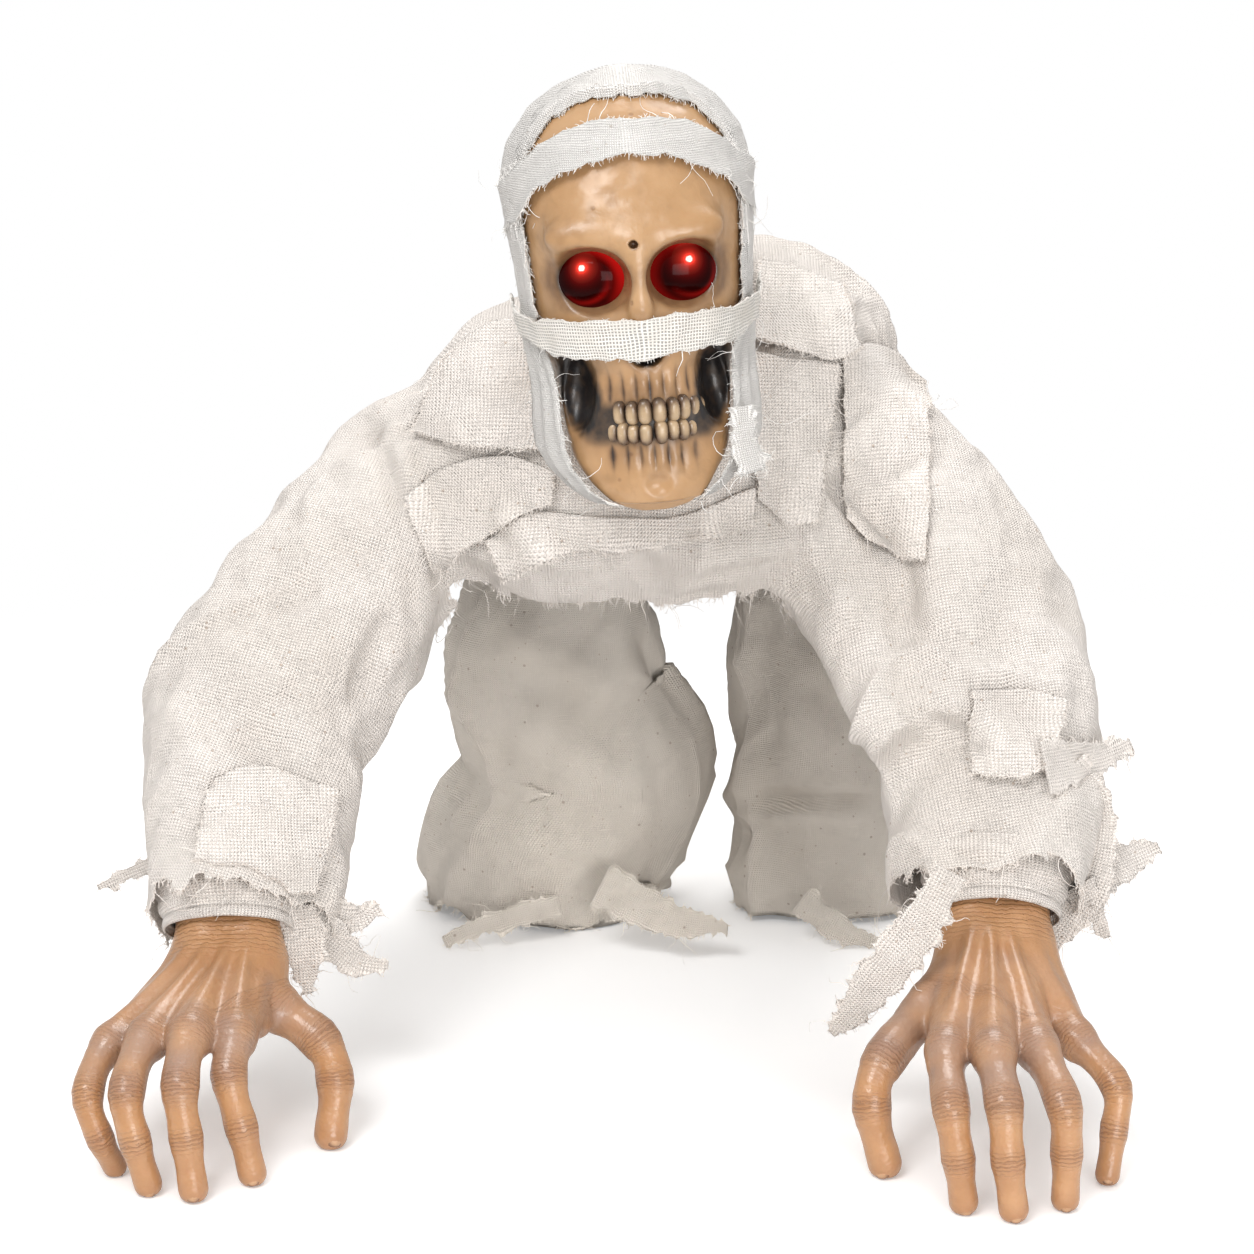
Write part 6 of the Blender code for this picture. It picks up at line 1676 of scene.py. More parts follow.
def relax(points, faces, rounds, amount=0.5, fixed=None):
    """Evens out a mesh by moving each point towards its neighbours' mean."""
    a, b = [], []
    for face in faces:
        for i, j in zip(face, face[1:] + face[:1]):
            a.append(i)
            b.append(j)
    a, b = np.array(a + b), np.array(b + a)
    count = np.bincount(a, minlength=len(points))[:, None]
    for _ in range(rounds):
        total = np.zeros_like(points)
        np.add.at(total, a, points[b])
        moved = points + (total / np.maximum(count, 1) - points) * amount
        points = moved if fixed is None else np.where(fixed[:, None], points, moved)
    return points


def keep_faces(points, faces, keep, extra):
    """Drop the points that aren't kept, with their faces."""
    index = np.cumsum(keep) - 1
    faces = [tuple(int(index[i]) for i in face) for face in faces if all(keep[i] for i in face)]
    used = np.zeros(int(keep.sum()), bool)
    for face in faces:
        used[list(face)] = True
    points, extra = points[keep], {k: v[keep] for k, v in extra.items()}
    again = np.cumsum(used) - 1
    faces = [tuple(int(again[i]) for i in face) for face in faces]
    return points[used], faces, {k: v[used] for k, v in extra.items()}


def crease_push(points, creases):
    """Folds along lines of the photograph: depth in metres, ridge if above nought."""
    pixels = to_pixels(points)
    total = np.zeros(len(points))
    for x0, y0, x1, y1, width, depth in creases:
        a, b = np.array((x0, y0), float), np.array((x1, y1), float)
        span = b - a
        t = np.clip(((pixels - a) @ span) / (span @ span), 0.0, 1.0)
        away = np.linalg.norm(pixels - a - t[:, None] * span, axis=1)
        ends = np.clip(np.minimum(t, 1 - t) * 5.0, 0.25, 1.0)
        total += depth * np.exp(-(away / width) ** 2) * ends
    return total


SHIRT_CREASES = (
    (365, 425, 410, 520, 12, -0.006), (395, 440, 440, 560, 16, 0.005), (430, 560, 500, 600, 14, -0.006),
    (250, 600, 330, 590, 18, -0.005), (200, 640, 300, 690, 22, 0.004), (330, 560, 300, 760, 20, 0.004),
    (230, 720, 330, 800, 16, -0.004), (400, 600, 350, 720, 15, -0.005), (170, 690, 210, 800, 16, 0.004),
    (850, 420, 900, 470, 16, 0.005), (830, 470, 900, 560, 14, -0.007), (880, 480, 960, 440, 16, -0.005),
    (900, 560, 905, 740, 16, -0.005), (930, 500, 960, 760, 24, 0.005), (1000, 560, 1010, 760, 20, -0.004),
    (1060, 640, 1040, 760, 14, 0.004), (900, 700, 1000, 760, 14, -0.004), (780, 480, 860, 640, 16, 0.005),
    (700, 560, 800, 540, 14, 0.004), (560, 540, 680, 580, 16, -0.004), (500, 500, 560, 560, 14, 0.005),
    (850, 260, 900, 400, 14, -0.005), (880, 300, 930, 420, 12, 0.004), (800, 280, 850, 380, 14, 0.004),
)


def long_folds(points, size, depth, seed):
    """Crisp fold lines that mostly run down, wandering with the cloth."""
    sway = np.stack([noise(points, size * 1.6, seed + k) for k in (1, 2, 3)], axis=1) * size * 0.55
    ridge = 1.0 - np.abs(noise((points + sway) * (1.0, 1.0, 0.42), size, seed)) * 2.2
    return (np.clip(ridge, -0.2, 1.0) ** 3 - 0.12) * depth


def drape(points, faces, pin, growth, frames, gravity):
    """Let the sheet buckle and sink as slightly larger cloth, held softly where pin is low."""
    mesh = bpy.data.meshes.new("drape")
    mesh.from_pydata(points.tolist(), [], [tuple(int(i) for i in f) for f in faces])
    made = bpy.data.objects.new("drape", mesh)
    bpy.context.scene.collection.objects.link(made)
    group = made.vertex_groups.new(name="held")
    for i, weight in enumerate(np.round(pin, 2).tolist()):
        group.add([i], weight, "REPLACE")
    cloth = made.modifiers.new("cloth", "CLOTH")
    rules = cloth.settings
    rules.quality = 7
    rules.mass = 0.18
    rules.tension_stiffness = rules.compression_stiffness = 18.0
    rules.shear_stiffness = 6.0
    rules.bending_stiffness = 5.0
    rules.tension_damping = rules.compression_damping = 6.0
    rules.bending_damping = 1.0
    rules.air_damping = 2.0
    rules.shrink_min = -growth
    rules.vertex_group_mass = "held"
    rules.pin_stiffness = 0.9
    rules.effector_weights.gravity = gravity
    cloth.collision_settings.use_collision = False
    cloth.collision_settings.use_self_collision = False
    cloth.point_cache.frame_start, cloth.point_cache.frame_end = 1, frames
    scene = bpy.context.scene
    for number in range(1, frames + 1):
        scene.frame_set(number)
    shaped = made.evaluated_get(bpy.context.evaluated_depsgraph_get()).to_mesh()
    result = np.empty(len(points) * 3, np.float32)
    shaped.vertices.foreach_get("co", result)
    made.evaluated_get(bpy.context.evaluated_depsgraph_get()).to_mesh_clear()
    scene.frame_set(1)
    bpy.data.objects.remove(made)
    bpy.data.meshes.remove(mesh)
    return result.reshape(-1, 3).astype(float)


def garment_pin(points, part, forms, torso):
    """How firmly each point of the shirt keeps its place: most on the back, the hem and the cuffs."""
    top = step01(points[:, 2], 0.40, 0.48)
    pin = 0.22 + 0.14 * top * step01(points[:, 1], 0.02, 0.12)
    for k, side in enumerate(("right", "left")):
        s, length, _ = sleeve_place(points, forms[side])
        pin = np.where(part == k + 1, pin + 0.20 * step01(s, length - 0.035, length - 0.012), pin)
    hem, _ = hem_height(points, torso)
    return np.maximum(pin, 0.30 * step01(hem + 0.02 - points[:, 2], 0.0, 0.03) * (part == 0))


def make_garment(muslin, threads):
    """The shirt with its sleeves, torn at the hem and the cuffs; returns its tree for ray casts."""
    points, faces, part, forms, torso = build_garment()
    keep = np.ones(len(points), bool)
    hem, _ = hem_height(points, torso)
    keep &= ~((part == 0) & (points[:, 2] < hem - 0.016))
    collar = np.array((SHOULDER[0], -0.012)) + SHIFT[:2]
    inside = np.hypot((points[:, 0] - collar[0]) / 0.036, (points[:, 1] - collar[1]) / 0.033)
    keep &= ~((inside < 1.0) & (points[:, 2] > 0.385) & (points[:, 2] < 0.445))
    for k, side in enumerate(("right", "left")):
        s, length, _ = sleeve_place(points, forms[side])
        keep &= ~((part == k + 1) & (s > length - 0.009))
    points, faces, extra = keep_faces(points, faces, keep, {"part": part.astype(float)})
    points = relax(points, faces, 2)
    normals = cloth_normals(points, faces)
    stretch = points * (1.0, 1.0, 0.35)
    push = noise(stretch, 0.045, 71) * 0.0030 + noise(points * (0.6, 1.0, 1.0), 0.022, 72) * 0.0012
    points = points + normals * push[:, None]
    pin = garment_pin(points, extra["part"], forms, torso)
    points = drape(points, faces, pin, CLOTH_GROWTH, CLOTH_FRAMES, CLOTH_GRAVITY)
    points = relax(points, faces, 6)
    points, faces, extra = split_faces(points, faces, extra)
    points = relax(points, faces, 1)
    normals = cloth_normals(points, faces)
    fold = crease_push(points, SHIRT_CREASES) * 1.6 * step01(-normals[:, 1], 0.05, 0.35)
    fold += long_folds(points, 0.080, 0.0075, 75) + long_folds(points, 0.034, 0.0011, 77)
    points = points + normals * fold[:, None]
    part = np.round(extra["part"]).astype(int)
    return finish_garment(points, faces, part, forms, torso, muslin, threads)


def finish_garment(points, faces, part, forms, torso, muslin, threads):
    """Ragged hem and cuffs, then the shirt's piece, its threads and a tree for ray casts."""
    hem, turn = hem_height(points, torso)
    key = np.stack((turn * 0.16, np.zeros(len(points)), np.zeros(len(points))), axis=1)
    limit = hem + noise(key, 0.030, 81) * 0.004 + np.maximum(0, noise(key, 0.010, 82)) * 0.006
    over = {0: limit - points[:, 2]}
    places = {}
    for k, side in enumerate(("right", "left")):
        s, length, angle = sleeve_place(points, forms[side])
        key = np.stack((angle * 0.06, np.full(len(points), k), np.zeros(len(points))), axis=1)
        edge = length - 0.026 + noise(key, 0.018, 83) * 0.006 + np.maximum(0, noise(key, 0.007, 84)) * 0.006
        over[k + 1] = s - edge
        places[side] = (s, length, angle)
    beyond = np.choose(part, [over[0], over[1], over[2]])
    points, faces, extra = keep_faces(points, faces, beyond < 0.0, {
        "part": part.astype(float), "beyond": beyond})
    part = np.round(extra["part"]).astype(int)
    normals = cloth_normals(points, faces)
    loops = boundary_loops(faces)
    edge_value = np.zeros(len(points))
    for loop in loops:
        edge_value[loop] = 1.0
    points[:, 1] = soft_min(points[:, 1], CLOTH_BACK, 0.008)
    uv = garment_uv(points, faces, part, forms)
    piece = add("shirt_cloth", points, faces, muslin, uv, {"edge": edge_value})
    thicken(piece, CLOTH_WALL)
    refine(piece)
    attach(piece, "shoulders")
    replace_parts(piece, "shirt", "right_sleeve", "left_sleeve")
    middle = points.mean(0)
    for loop in loops:
        if len(loop) < 20:
            continue
        ring = points[loop]
        centre = ring.mean(0)
        if centre[2] > 0.37:
            continue
        down = np.array((0, 0, -1.0)) if abs(centre[0] - middle[0]) < 0.09 else None
        if down is None:
            side = "left" if centre[0] > 0 else "right"
            down = directions(forms[side][0])[-1]
        out = np.tile(down, (len(ring), 1)) + normals[loop] * 0.25
        threads.fringe(ring, out, 0.0010, (0.002, 0.009), 0.3, 0.06, (0.014, 0.035))
    return BVHTree.FromPolygons([Vector(p) for p in points], faces)


def garment_uv(points, faces, part, forms):
    """Weave coordinates per corner, in metres, laid on each face from its own side."""
    frames = [np.eye(3)[[2, 0, 1]]]
    for side in ("right", "left"):
        path = forms[side][0]
        along = path[-1] - path[len(path) // 4]
        along /= np.linalg.norm(along)
        out = np.array((1.0, 0.0, 0.0)) - along * along[0]
        out /= np.linalg.norm(out)
        frames.append(np.array((along, out, np.cross(along, out))))
    placed = [points @ axes.T for axes in frames]
    normals = [cloth_normals(points, faces) @ axes.T for axes in frames]
    uv = []
    for face in faces:
        k = int(part[face[0]])
        facing = np.abs(sum(normals[k][i] for i in face))
        across = 2 if facing[1] > facing[2] else 1
        along = 0
        if facing[0] > facing[3 - across] * 1.3:
            along, across = 1, 2
        for i in face:
            uv.append((placed[k][i, across], placed[k][i, along]))
    return np.array(uv)


# Pixels between a patch's points, its height as a flat sheet, metres to a pixel, then a strip's steps
PATCH_STEP = 2.4
PIXEL_METRES = 0.00058
STRIP_STEP = 0.0022
STRIP_COLUMNS = 17


def cast(tree, x, y, fallback):
    """Point of the clothes behind a pixel of the photograph, and its normal."""
    start, way = pixel_ray(x, y)
    hit, normal, _, _ = tree.ray_cast(Vector(start), Vector(way))
    if hit is None:
        return at_depth(x, y, fallback), -way
    normal = np.array(normal)
    return np.array(hit), normal if normal @ way < 0 else -normal


def along_line(points, count):
    """Even steps along a line of pixels."""
    return smooth_path([np.array(p, float) for p in points], count)


def patch_points(tree, top, bottom, lift, rag, seed):
    """Grid of points on the clothes between two lines of pixels, and its weave coordinates."""
    length = max(np.linalg.norm(np.diff(np.array(line, float), axis=0), axis=1).sum()
                 for line in (top, bottom))
    columns = max(12, int(length / PATCH_STEP))
    first, last = along_line(top, columns), along_line(bottom, columns)
    rows = max(8, int(np.linalg.norm(last - first, axis=1).mean() / PATCH_STEP))
    depth, grid, uv = None, np.zeros((rows, columns, 3)), np.zeros((rows, columns, 2))
    keys = [np.stack((np.arange(rows) * 0.45, np.full(rows, seed), np.full(rows, k)), axis=1)
            for k in (1.0, 7.0)]
    side_rag = [noise(key, 1.0, seed) for key in keys]
    for r in range(rows):
        share = r / (rows - 1)
        for c in range(columns):
            t = c / (columns - 1)
            spot = first[c] + (last[c] - first[c]) * share
            swing = ((first[-1] - first[0]) * (1 - share) + (last[-1] - last[0]) * share)
            swing = swing / max(np.linalg.norm(swing), 1e-6)
            edge = side_rag[0][r] * max(0.0, 1 - t * 8) + side_rag[1][r] * max(0.0, t * 8 - 7)
            spot = spot + swing * edge * rag * 0.8
            down = (last[c] - first[c]) / max(np.linalg.norm(last[c] - first[c]), 1e-6)
            key = np.array([[c * 0.13, seed * 3.1, 0.5], [c * 0.75, seed * 1.7, 9.5]])
            ragged = noise(key, 1.0, seed + 5)
            spot = spot + down * (ragged[0] + ragged[1] * 0.6) * rag * max(0.0, share * 5 - 4)
            hit, normal = cast(tree, spot[0], spot[1], depth if depth is not None else -0.05)
            depth = hit[1]
            curl = max(share ** 2, (abs(t - 0.5) * 2) ** 6 * 0.6)
            grid[r, c] = hit + normal * (0.0014 + lift[0] + (lift[1] - lift[0]) * curl)
            uv[r, c] = spot * PIXEL_METRES
    return even_grid(grid, 8), uv


def even_grid(grid, rounds):
    """The grid evened down, then across; its corners stay."""
    for _ in range(rounds):
        middle = grid.copy()
        middle[1:-1] = (grid[:-2] + grid[2:] + grid[1:-1] * 2) / 4
        grid[1:-1] = middle[1:-1]
        middle = grid.copy()
        middle[:, 1:-1] = (grid[:, :-2] + grid[:, 2:] + grid[:, 1:-1] * 2) / 4
        grid[:, 1:-1] = middle[:, 1:-1]
    return grid


def patch(name, tree, top, bottom, cloth, threads, lift, rag, seed):
    """Layer of cloth on the clothes between two lines of the photograph, ragged below."""
    grid, uv = patch_points(tree, top, bottom, lift, rag, seed)
    rows, columns = grid.shape[:2]
    flat = grid.reshape(-1, 3)
    toward = np.array(CAMERA_AT) - flat
    toward /= np.linalg.norm(toward, axis=1, keepdims=True)
    wave = noise(flat, 0.034, seed + 8) * 0.0014 + noise(flat, 0.011, seed + 9) * 0.0003
    share = np.repeat(np.linspace(0, 1, rows), columns)
    flat = flat + toward * (wave * step01(share, 0.05, 0.5) + 0.0006 + noise(flat, 0.012, seed + 3) * 0.0022
                            * step01(share, 0.85, 1.0))[:, None]
    around = np.abs(np.tile(np.linspace(-1, 1, columns), rows))
    edge = np.maximum(step01(share, 0.93, 1.0), step01(around, 0.96, 1.0))
    piece = add(name, flat, grid_faces(rows, columns, False), cloth, uv.reshape(-1, 2), {"edge": edge})
    thicken(piece, CLOTH_WALL, 1.0)
    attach(piece, "shoulders")
    grid = flat.reshape(rows, columns, 3)
    for line, inner in ((grid[-1], grid[-2]), (grid[:, 0], grid[:, 1]), (grid[:, -1], grid[:, -2])):
        threads.fringe(line, edge_way(line, inner) + (0, -0.2, 0), 0.0007, (0.002, 0.005), 0.2, 0.035,
                       (0.012, 0.030))
    return piece


def ribbon(name, places, widths, cloth, threads, body="shoulders", seed=1, rag=0.004, wave=0.004,
           slot="muslin", rests="shirt_cloth"):
    """Torn strip along points of the photograph (pixels and depth), about square to the view."""
    line = np.array([at_depth(x, y, depth) for x, y, depth in places])
    count = max(16, int(np.linalg.norm(np.diff(line, axis=0), axis=1).sum() / STRIP_STEP))
    path = smooth_path(line, count)
    half = spread_over(widths, count) / 2
    way = directions(path)
    view = path - np.array(CAMERA_AT)
    view /= np.linalg.norm(view, axis=1, keepdims=True)
    across = np.cross(way, view)
    across /= np.linalg.norm(across, axis=1, keepdims=True)
    columns = STRIP_COLUMNS
    run = np.arange(count) * STRIP_STEP
    rags = []
    for k in (0, 1):
        broad = np.stack((run, np.full(count, seed), np.full(count, k)), axis=1)
        fine = np.stack((run, np.full(count, k), np.full(count, seed)), axis=1)
        rags.append(noise(broad, 0.006, seed + k) * rag * 0.6
                    + np.maximum(0, noise(fine, 0.0028, seed + k + 2)) * rag)
    grid = np.zeros((count, columns, 3))
    for c in range(columns):
        t = c / (columns - 1) * 2 - 1
        jag = rags[0] if t < 0 else rags[1]
        out = half * t + jag * np.sign(t) * abs(t) ** 5
        grid[:, c] = path + across * out[:, None]
    flat = grid.reshape(-1, 3)
    bend = noise(flat * (1.0, 0.2, 1.0), 0.020, seed + 7) * wave \
        + noise(flat, 0.009, seed + 8) * wave * 0.35
    flat = flat + np.repeat(view, columns, axis=0) * bend[:, None]
    flat[:, 2] = np.maximum(flat[:, 2], 0.0012)
    side = np.tile(np.abs(np.linspace(-1, 1, columns)), count)
    uv = np.stack((np.tile(np.linspace(-1, 1, columns), count) * np.repeat(half, columns),
                   np.repeat(run, columns)), axis=1)
    piece = add(name, flat, grid_faces(count, columns, False), cloth, uv, {"edge": step01(side, 0.9, 1.0)})
    thicken(piece, CLOTH_WALL, 0.0)
    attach(piece, body)
    grid = flat.reshape(count, columns, 3)
    for edge_line, inner in ((grid[:, 0], grid[:, 1]), (grid[:, -1], grid[:, -2]), (grid[-1], grid[-2])):
        out = edge_line - inner
        out /= np.maximum(np.linalg.norm(out, axis=1, keepdims=True), 1e-9)
        threads.fringe(edge_line, out, 0.0010, (0.002, 0.006), 0.3, 0.05, (0.010, 0.025))
    return piece


# Layers sewn on the shirt: name, upper line, lower line, lift, raggedness
CHEST_PATCHES = (
    ("collar_patch_right", ((450, 356), (476, 334), (508, 322), (535, 335), (548, 364)),
     ((409, 438), (451, 443), (496, 445), (530, 449), (562, 460)), (0.0020, 0.0060), 2.5),
    ("chest_patch_right", ((409, 497), (440, 470), (500, 455), (556, 470)),
     ((427, 571), (455, 555), (510, 523), (553, 500)), (0.0015, 0.0050), 3.0),
    ("belly_patch", ((487, 540), (530, 512), (600, 516), (680, 515), (752, 486)),
     ((505, 574), (560, 551), (640, 544), (700, 537), (752, 524)), (0.0010, 0.0055), 3.0),
    ("collar_patch_left", ((758, 262), (800, 272), (843, 291)),
     ((752, 342), (790, 357), (822, 360), (851, 350)), (0.0020, 0.0060), 3.5),
    ("chest_patch_left", ((745, 352), (783, 360), (836, 362)),
     ((754, 500), (782, 516), (812, 524)), (0.0015, 0.0050), 3.5),
    ("shoulder_patch_left", ((838, 350), (880, 345), (925, 380)),
     ((842, 520), (872, 548), (930, 560)), (0.0030, 0.0040), 3.0),
    ("sleeve_patch_right", ((212, 778), (262, 768), (338, 792)),
     ((192, 893), (240, 891), (312, 897)), (0.0020, 0.0035), 3.0),
    ("sleeve_patch_left", ((968, 690), (1020, 688), (1062, 700)),
     ((972, 774), (1002, 782), (1050, 768)), (0.0020, 0.0050), 4.5),
)
# Torn strips at the cuffs: pixels and depth along the middle, then widths
CUFF_STRIPS = (
    ("cuff_strip_right_out",
     ((205, 850, -0.112), (160, 862, -0.085), (124, 876, -0.070), (98, 888, -0.065)),
     (0.020, 0.018, 0.013, 0.008, 0.004)),
    ("cuff_strip_right_top",
     ((300, 900, -0.118), (330, 915, -0.110), (358, 920, -0.105), (380, 908, -0.102)),
     (0.018, 0.026, 0.020, 0.014, 0.006)),
    ("cuff_strip_right_tip",
     ((308, 925, -0.122), (335, 945, -0.115), (360, 962, -0.108), (388, 966, -0.104)),
     (0.022, 0.028, 0.020, 0.012, 0.005)),
    ("cuff_strip_right_low",
     ((300, 905, -0.126), (303, 940, -0.128), (305, 965, -0.128), (308, 994, -0.127)),
     (0.018, 0.026, 0.024, 0.015, 0.004)),
    ("cuff_strip_left_low",
     ((952, 872, -0.180), (926, 918, -0.184), (896, 958, -0.182), (866, 996, -0.172),
                             (832, 1034, -0.160)), (0.016, 0.022, 0.026, 0.024, 0.018, 0.006)),
    ("cuff_strip_left_up",
     ((1045, 768, -0.118), (1075, 762, -0.100), (1102, 756, -0.080), (1131, 744, -0.060)),
     (0.030, 0.026, 0.020, 0.014, 0.005)),
    ("cuff_strip_left_loop",
     ((1072, 765, -0.100), (1100, 800, -0.092), (1100, 850, -0.100), (1085, 895, -0.112),
                              (1052, 945, -0.120)), (0.016, 0.012, 0.014, 0.024, 0.020, 0.008)),
    ("cuff_strip_left_out",
     ((1080, 880, -0.112), (1108, 868, -0.098), (1134, 856, -0.084), (1158, 845, -0.074)),
     (0.030, 0.030, 0.024, 0.016, 0.006)),
    ("cuff_strip_left_tip",
     ((1078, 885, -0.114), (1090, 905, -0.112), (1100, 922, -0.110), (1106, 938, -0.108)),
     (0.022, 0.018, 0.010, 0.004)),
)
FLOOR_STRIPS = (
    ("trouser_strip_low", ((600, 885, 0.118), (640, 905, 0.106), (680, 922, 0.098), (728, 928, 0.094)),
     (0.030, 0.026, 0.020, 0.006)),
    ("trouser_strip_right", ((560, 905, 0.130), (510, 918, 0.122), (470, 930, 0.120), (444, 942, 0.118)),
     (0.012, 0.016, 0.012, 0.006)),
    ("trouser_strip_left", ((800, 900, 0.135), (830, 922, 0.125), (860, 938, 0.120), (886, 944, 0.118)),
     (0.020, 0.020, 0.014, 0.006)),
)


ROLL_ROWS = 12


def make_cuffs(cloth):
    """Rolled inner cuffs round the wrists and the gathered cloth that runs up into the sleeves."""
    for side in SIGN:
        wrist, way = wrist_point(side) + SHIFT, forearm_way(side)
        across = wrist_across(side, way)
        other = np.cross(way, across)
        count, sides = 40, 96
        turn = np.arange(sides) * TAU / sides
        roll = np.linspace(0.0, math.pi, ROLL_ROWS)
        grid = []
        for i in range(count):
            if i < ROLL_ROWS:
                rise = 0.0200 - 0.0032 * math.cos(roll[i])
                grow = 0.0020 * math.sin(roll[i])
            else:
                share = (i - ROLL_ROWS + 1) / (count - ROLL_ROWS)
                rise, grow = 0.0232 + 0.030 * share, 0.0120 * share ** 0.7 - 0.0004
            fold = 0.0016 * np.sin(turn * 7 + i * 0.05) * max(0.0, (i - ROLL_ROWS) / count) \
                + 0.0009 * np.sin(turn * 3 + i * 0.45 * (i > ROLL_ROWS))
            key = np.stack((np.sin(turn), np.cos(turn), np.full(sides, i * 0.05)), axis=1)
            rag = noise(key, 0.35, 7) * 0.0008
            ring = wrist + way * rise + np.outer(np.cos(turn) * (0.0368 + grow + fold + rag), across) \
                + np.outer(np.sin(turn) * (0.0272 + grow + fold + rag), other)
            grid.append(ring)
        grid = np.array(grid)
        run = np.arange(count) * 0.0013
        uv = np.stack((np.tile(turn * 0.035, count), np.repeat(run, sides)), axis=1)
        edge = np.repeat((np.arange(count) < ROLL_ROWS) * 0.6, sides)
        piece = add(side + "_cuff_cloth", grid.reshape(-1, 3), grid_faces(count, sides), cloth, uv,
                    {"edge": edge})
        thicken(piece, CLOTH_WALL, 0.0)
        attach(piece, "shoulders")


def make_layers(muslin, trouser, tree, shirt_threads, leg_threads):
    """Patches on the shirt, and the torn strips at the cuffs and the floor."""
    for k, (name, top, bottom, lift, rag) in enumerate(CHEST_PATCHES):
        patch(name, tree, top, bottom, muslin, shirt_threads, lift, rag, 100 + k * 11)
    for k, (name, places, widths) in enumerate(CUFF_STRIPS):
        ribbon(name, places, widths, muslin, shirt_threads, seed=200 + k * 13)
    for k, (name, places, widths) in enumerate(FLOOR_STRIPS):
        ribbon(name, places, widths, trouser, leg_threads, "legs", 400 + k * 13, 0.004, 0.003,
               rests="right_trouser_cloth")


TROUSER_GIRTH = 0.42


def trouser_folds(side, points, normals, down, angle):
    """How far folds, the bunched cloth at the floor and the side seam stand out."""
    folds = (long_folds(points, 0.060, 0.0062, 91) + long_folds(points, 0.030, 0.0030, 94)
             + noise(points, 0.015, 92) * 0.0008) * step01(down, 0.0, 0.12)
    folds += crease_push(points, TROUSER_CREASES) * 1.2 * step01(-normals[:, 1], 0.05, 0.35)
    bunch = hump(down, 0.90, 0.05) * 0.005 + hump(down, 0.78, 0.03) * -0.003
    seam_at = 0.35 if side == "right" else math.pi - 0.35
    seam = hump(np.abs(np.angle(np.exp(1j * (angle - seam_at)))), 0, 0.035) * 0.0022
    return folds + bunch + seam


def trouser_uv(points, faces, count, sides):
    """Weave coordinates per corner: round the leg and up, unbroken where the columns close."""
    around = np.tile(np.arange(sides), count)
    uv = []
    for face in faces:
        base = around[face[0]]
        for i in face:
            k = around[i]
            if abs(k - base) > sides / 2:
                k += sides if base > sides / 2 else -sides
            uv.append((k / sides * TROUSER_GIRTH, points[i, 2]))
    return np.array(uv)


def make_trousers(cloth, threads):
    """Baggy trouser legs that stand on the floor, with a side seam and torn hems."""
    for side, sign in SIGN.items():
        out = LEG_OUT[side]
        stations = [np.array((HIP[0] + out * across, HIP[1], TROUSER_TOP * high))
                    for across, high in TROUSER_PATH[side]]
        count, sides = 64, 120
        path = smooth_path(stations, count)
        share = spread_over(TROUSER_WIDTH[side], count)
        wide, deep = TROUSER_HALF[0] * share, TROUSER_HALF[1] * np.minimum(1.0, share)
        grid = rings(path, np.array((1.0, 0.0, 0.0)), wide, deep, sides, fold_push(1.1 * sign)) + SHIFT
        grid[0, :, 2] = TROUSER_TOP
        flat = grid.reshape(-1, 3)
        faces = grid_faces(count, sides)
        normals = cloth_normals(flat, faces)
        if (normals * (flat - flat.mean(0))).sum() < 0:
            faces = [f[::-1] for f in faces]
            normals = -normals
        down = np.repeat(np.linspace(0, 1, count), sides)
        angle = np.tile(np.arange(sides) * TAU / sides, count)
        flat = flat + normals * trouser_folds(side, flat, normals, down, angle)[:, None]
        key = np.stack((angle * 0.07, np.full(len(flat), sign), np.zeros(len(flat))), axis=1)
        lift = np.maximum(0, noise(key, 0.030, 93)) * 0.020 + np.maximum(0, noise(key, 0.008, 94)) * 0.006
        flat[:, 1] = soft_min(flat[:, 1], CLOTH_BACK, 0.008)
        flat[:, 2] = np.maximum(flat[:, 2], 0.0008)
        last = down > 0.999
        flat[last, 2] = 0.0008 + lift[last]
        edge = np.where(last, 1.0, 0.0)
        uv = trouser_uv(flat, faces, count, sides)
        piece = add(side + "_trouser_cloth", flat, faces, cloth, uv, {"edge": edge})
        thicken(piece, THICK_WALL)
        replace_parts(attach(piece, "legs"), side + "_trouser_leg")
        ring = flat[last]
        threads.fringe(ring, normals[last] + (0, 0, -0.2), 0.0010, (0.003, 0.010), 0.1, 0.05)


TROUSER_CREASES = (
    (500, 620, 620, 700, 22, 0.006), (640, 620, 690, 740, 14, -0.006), (480, 740, 560, 790, 16, -0.007),
    (520, 700, 640, 800, 20, 0.006), (440, 810, 560, 850, 16, 0.005), (560, 640, 560, 760, 16, -0.004),
    (620, 700, 650, 850, 14, 0.004), (450, 880, 600, 900, 12, -0.004), (760, 600, 770, 780, 18, -0.005),
    (740, 800, 880, 800, 9, -0.008), (750, 815, 870, 812, 9, 0.006), (830, 600, 840, 780, 20, 0.005),
    (790, 680, 870, 730, 14, -0.004), (800, 840, 820, 930, 14, 0.004),
)


CAD_SLOTS = ("dark_plastic", "grey_plastic", "red_plastic", "speaker_black", "rubber", "steel_tube",
             "motor_metal", "cell_metal", "board")


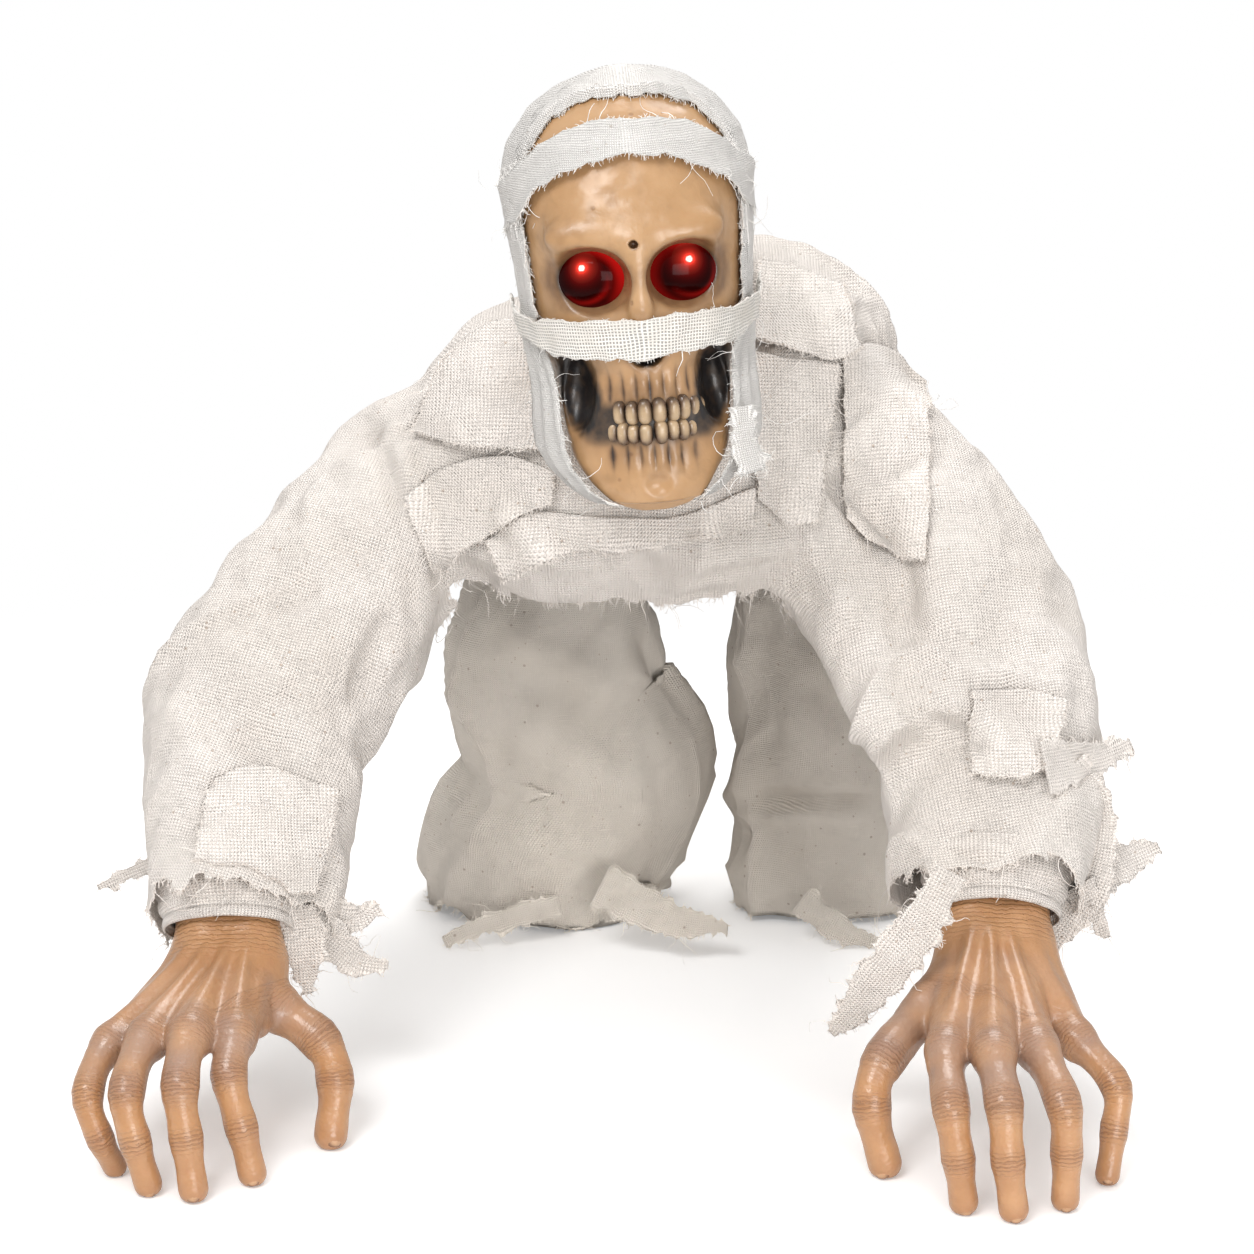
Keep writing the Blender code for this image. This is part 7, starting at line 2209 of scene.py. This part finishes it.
def make_materials():
    """Materials by name; the solids' materials go by their slots."""
    return {
        "muslin": cloth_material("muslin", (0.90, 0.84, 0.785), (0.81, 0.745, 0.68), 0.5, 0.0019),
        "trouser": cloth_material("trouser_muslin", (0.93, 0.855, 0.76), (0.86, 0.78, 0.68),
                                  0.5, 0.0014, 0.5),
        "bandage": cloth_material("bandage", (0.93, 0.905, 0.87), (0.88, 0.85, 0.81), 0.35, 0.0012, 0.3),
        "gauze": gauze_material("gauze"),
        "bone": bone_material("skull_bone", (0.49, 0.295, 0.148), (0.41, 0.232, 0.104),
                              (0.13, 0.064, 0.028)),
        "tooth": bone_material("tooth_bone", (0.50, 0.365, 0.225), (0.41, 0.285, 0.165),
                               (0.10, 0.055, 0.03), 0.30),
        "nail": bone_material("nail_horn", (0.55, 0.33, 0.185), (0.47, 0.27, 0.15),
                              (0.22, 0.11, 0.06), 0.22),
        "skin": skin_material("hand_skin"),
        "lens": lens_material("red_lens"),
        "dark_plastic": plastic_material("dark_plastic", (0.045, 0.045, 0.05)),
        "grey_plastic": plastic_material("grey_plastic", (0.30, 0.30, 0.31)),
        "red_plastic": plastic_material("red_plastic", (0.55, 0.04, 0.04), 0.35),
        "speaker_black": plastic_material("speaker_cone", (0.03, 0.03, 0.03), 0.7, 400.0),
        "rubber": plastic_material("rubber", (0.025, 0.025, 0.025), 0.75, 300.0),
        "steel_tube": metal_material("steel_tube", (0.45, 0.46, 0.47)),
        "motor_metal": metal_material("motor_metal", (0.60, 0.61, 0.62), 0.35, (30.0, 30.0, 1.0)),
        "cell_metal": metal_material("cell_metal", (0.25, 0.26, 0.28), 0.4, (1.0, 20.0, 20.0)),
        "board": board_material("circuit_board"),
    }


def finish_cad(looks):
    """Procedural materials on the solids that stay visible."""
    for part in frame["record"]["subparts"]:
        piece = frame["nodes"][part["node"]]
        if part["material_slot"] in CAD_SLOTS and not piece.hide_render:
            piece.data.materials.clear()
            piece.data.materials.append(looks[part["material_slot"]])


def main():
    """Studio, materials and all the pieces."""
    make_camera()
    make_lights()
    make_world()
    make_floor()
    bpy.context.scene.view_settings.view_transform = "Standard"
    looks = make_materials()
    muslin, trouser, bandage = looks["muslin"], looks["trouser"], looks["bandage"]
    shirt_threads, head_threads, leg_threads = Threads(5), Threads(6), Threads(7)
    make_skull(looks["bone"], looks["tooth"])
    make_eyes(looks["lens"])
    make_wrappings(bandage, looks["gauze"], head_threads)
    for side in SIGN:
        make_hand(side, looks["skin"], looks["nail"])
    tree = make_garment(muslin, shirt_threads)
    make_trousers(trouser, leg_threads)
    make_cuffs(muslin)
    make_layers(muslin, trouser, tree, shirt_threads, leg_threads)
    shirt_threads.build("shirt_threads", muslin, "shoulders")
    head_threads.build("head_threads", bandage, "head")
    leg_threads.build("trouser_threads", trouser, "legs")
    finish_cad(looks)


main()
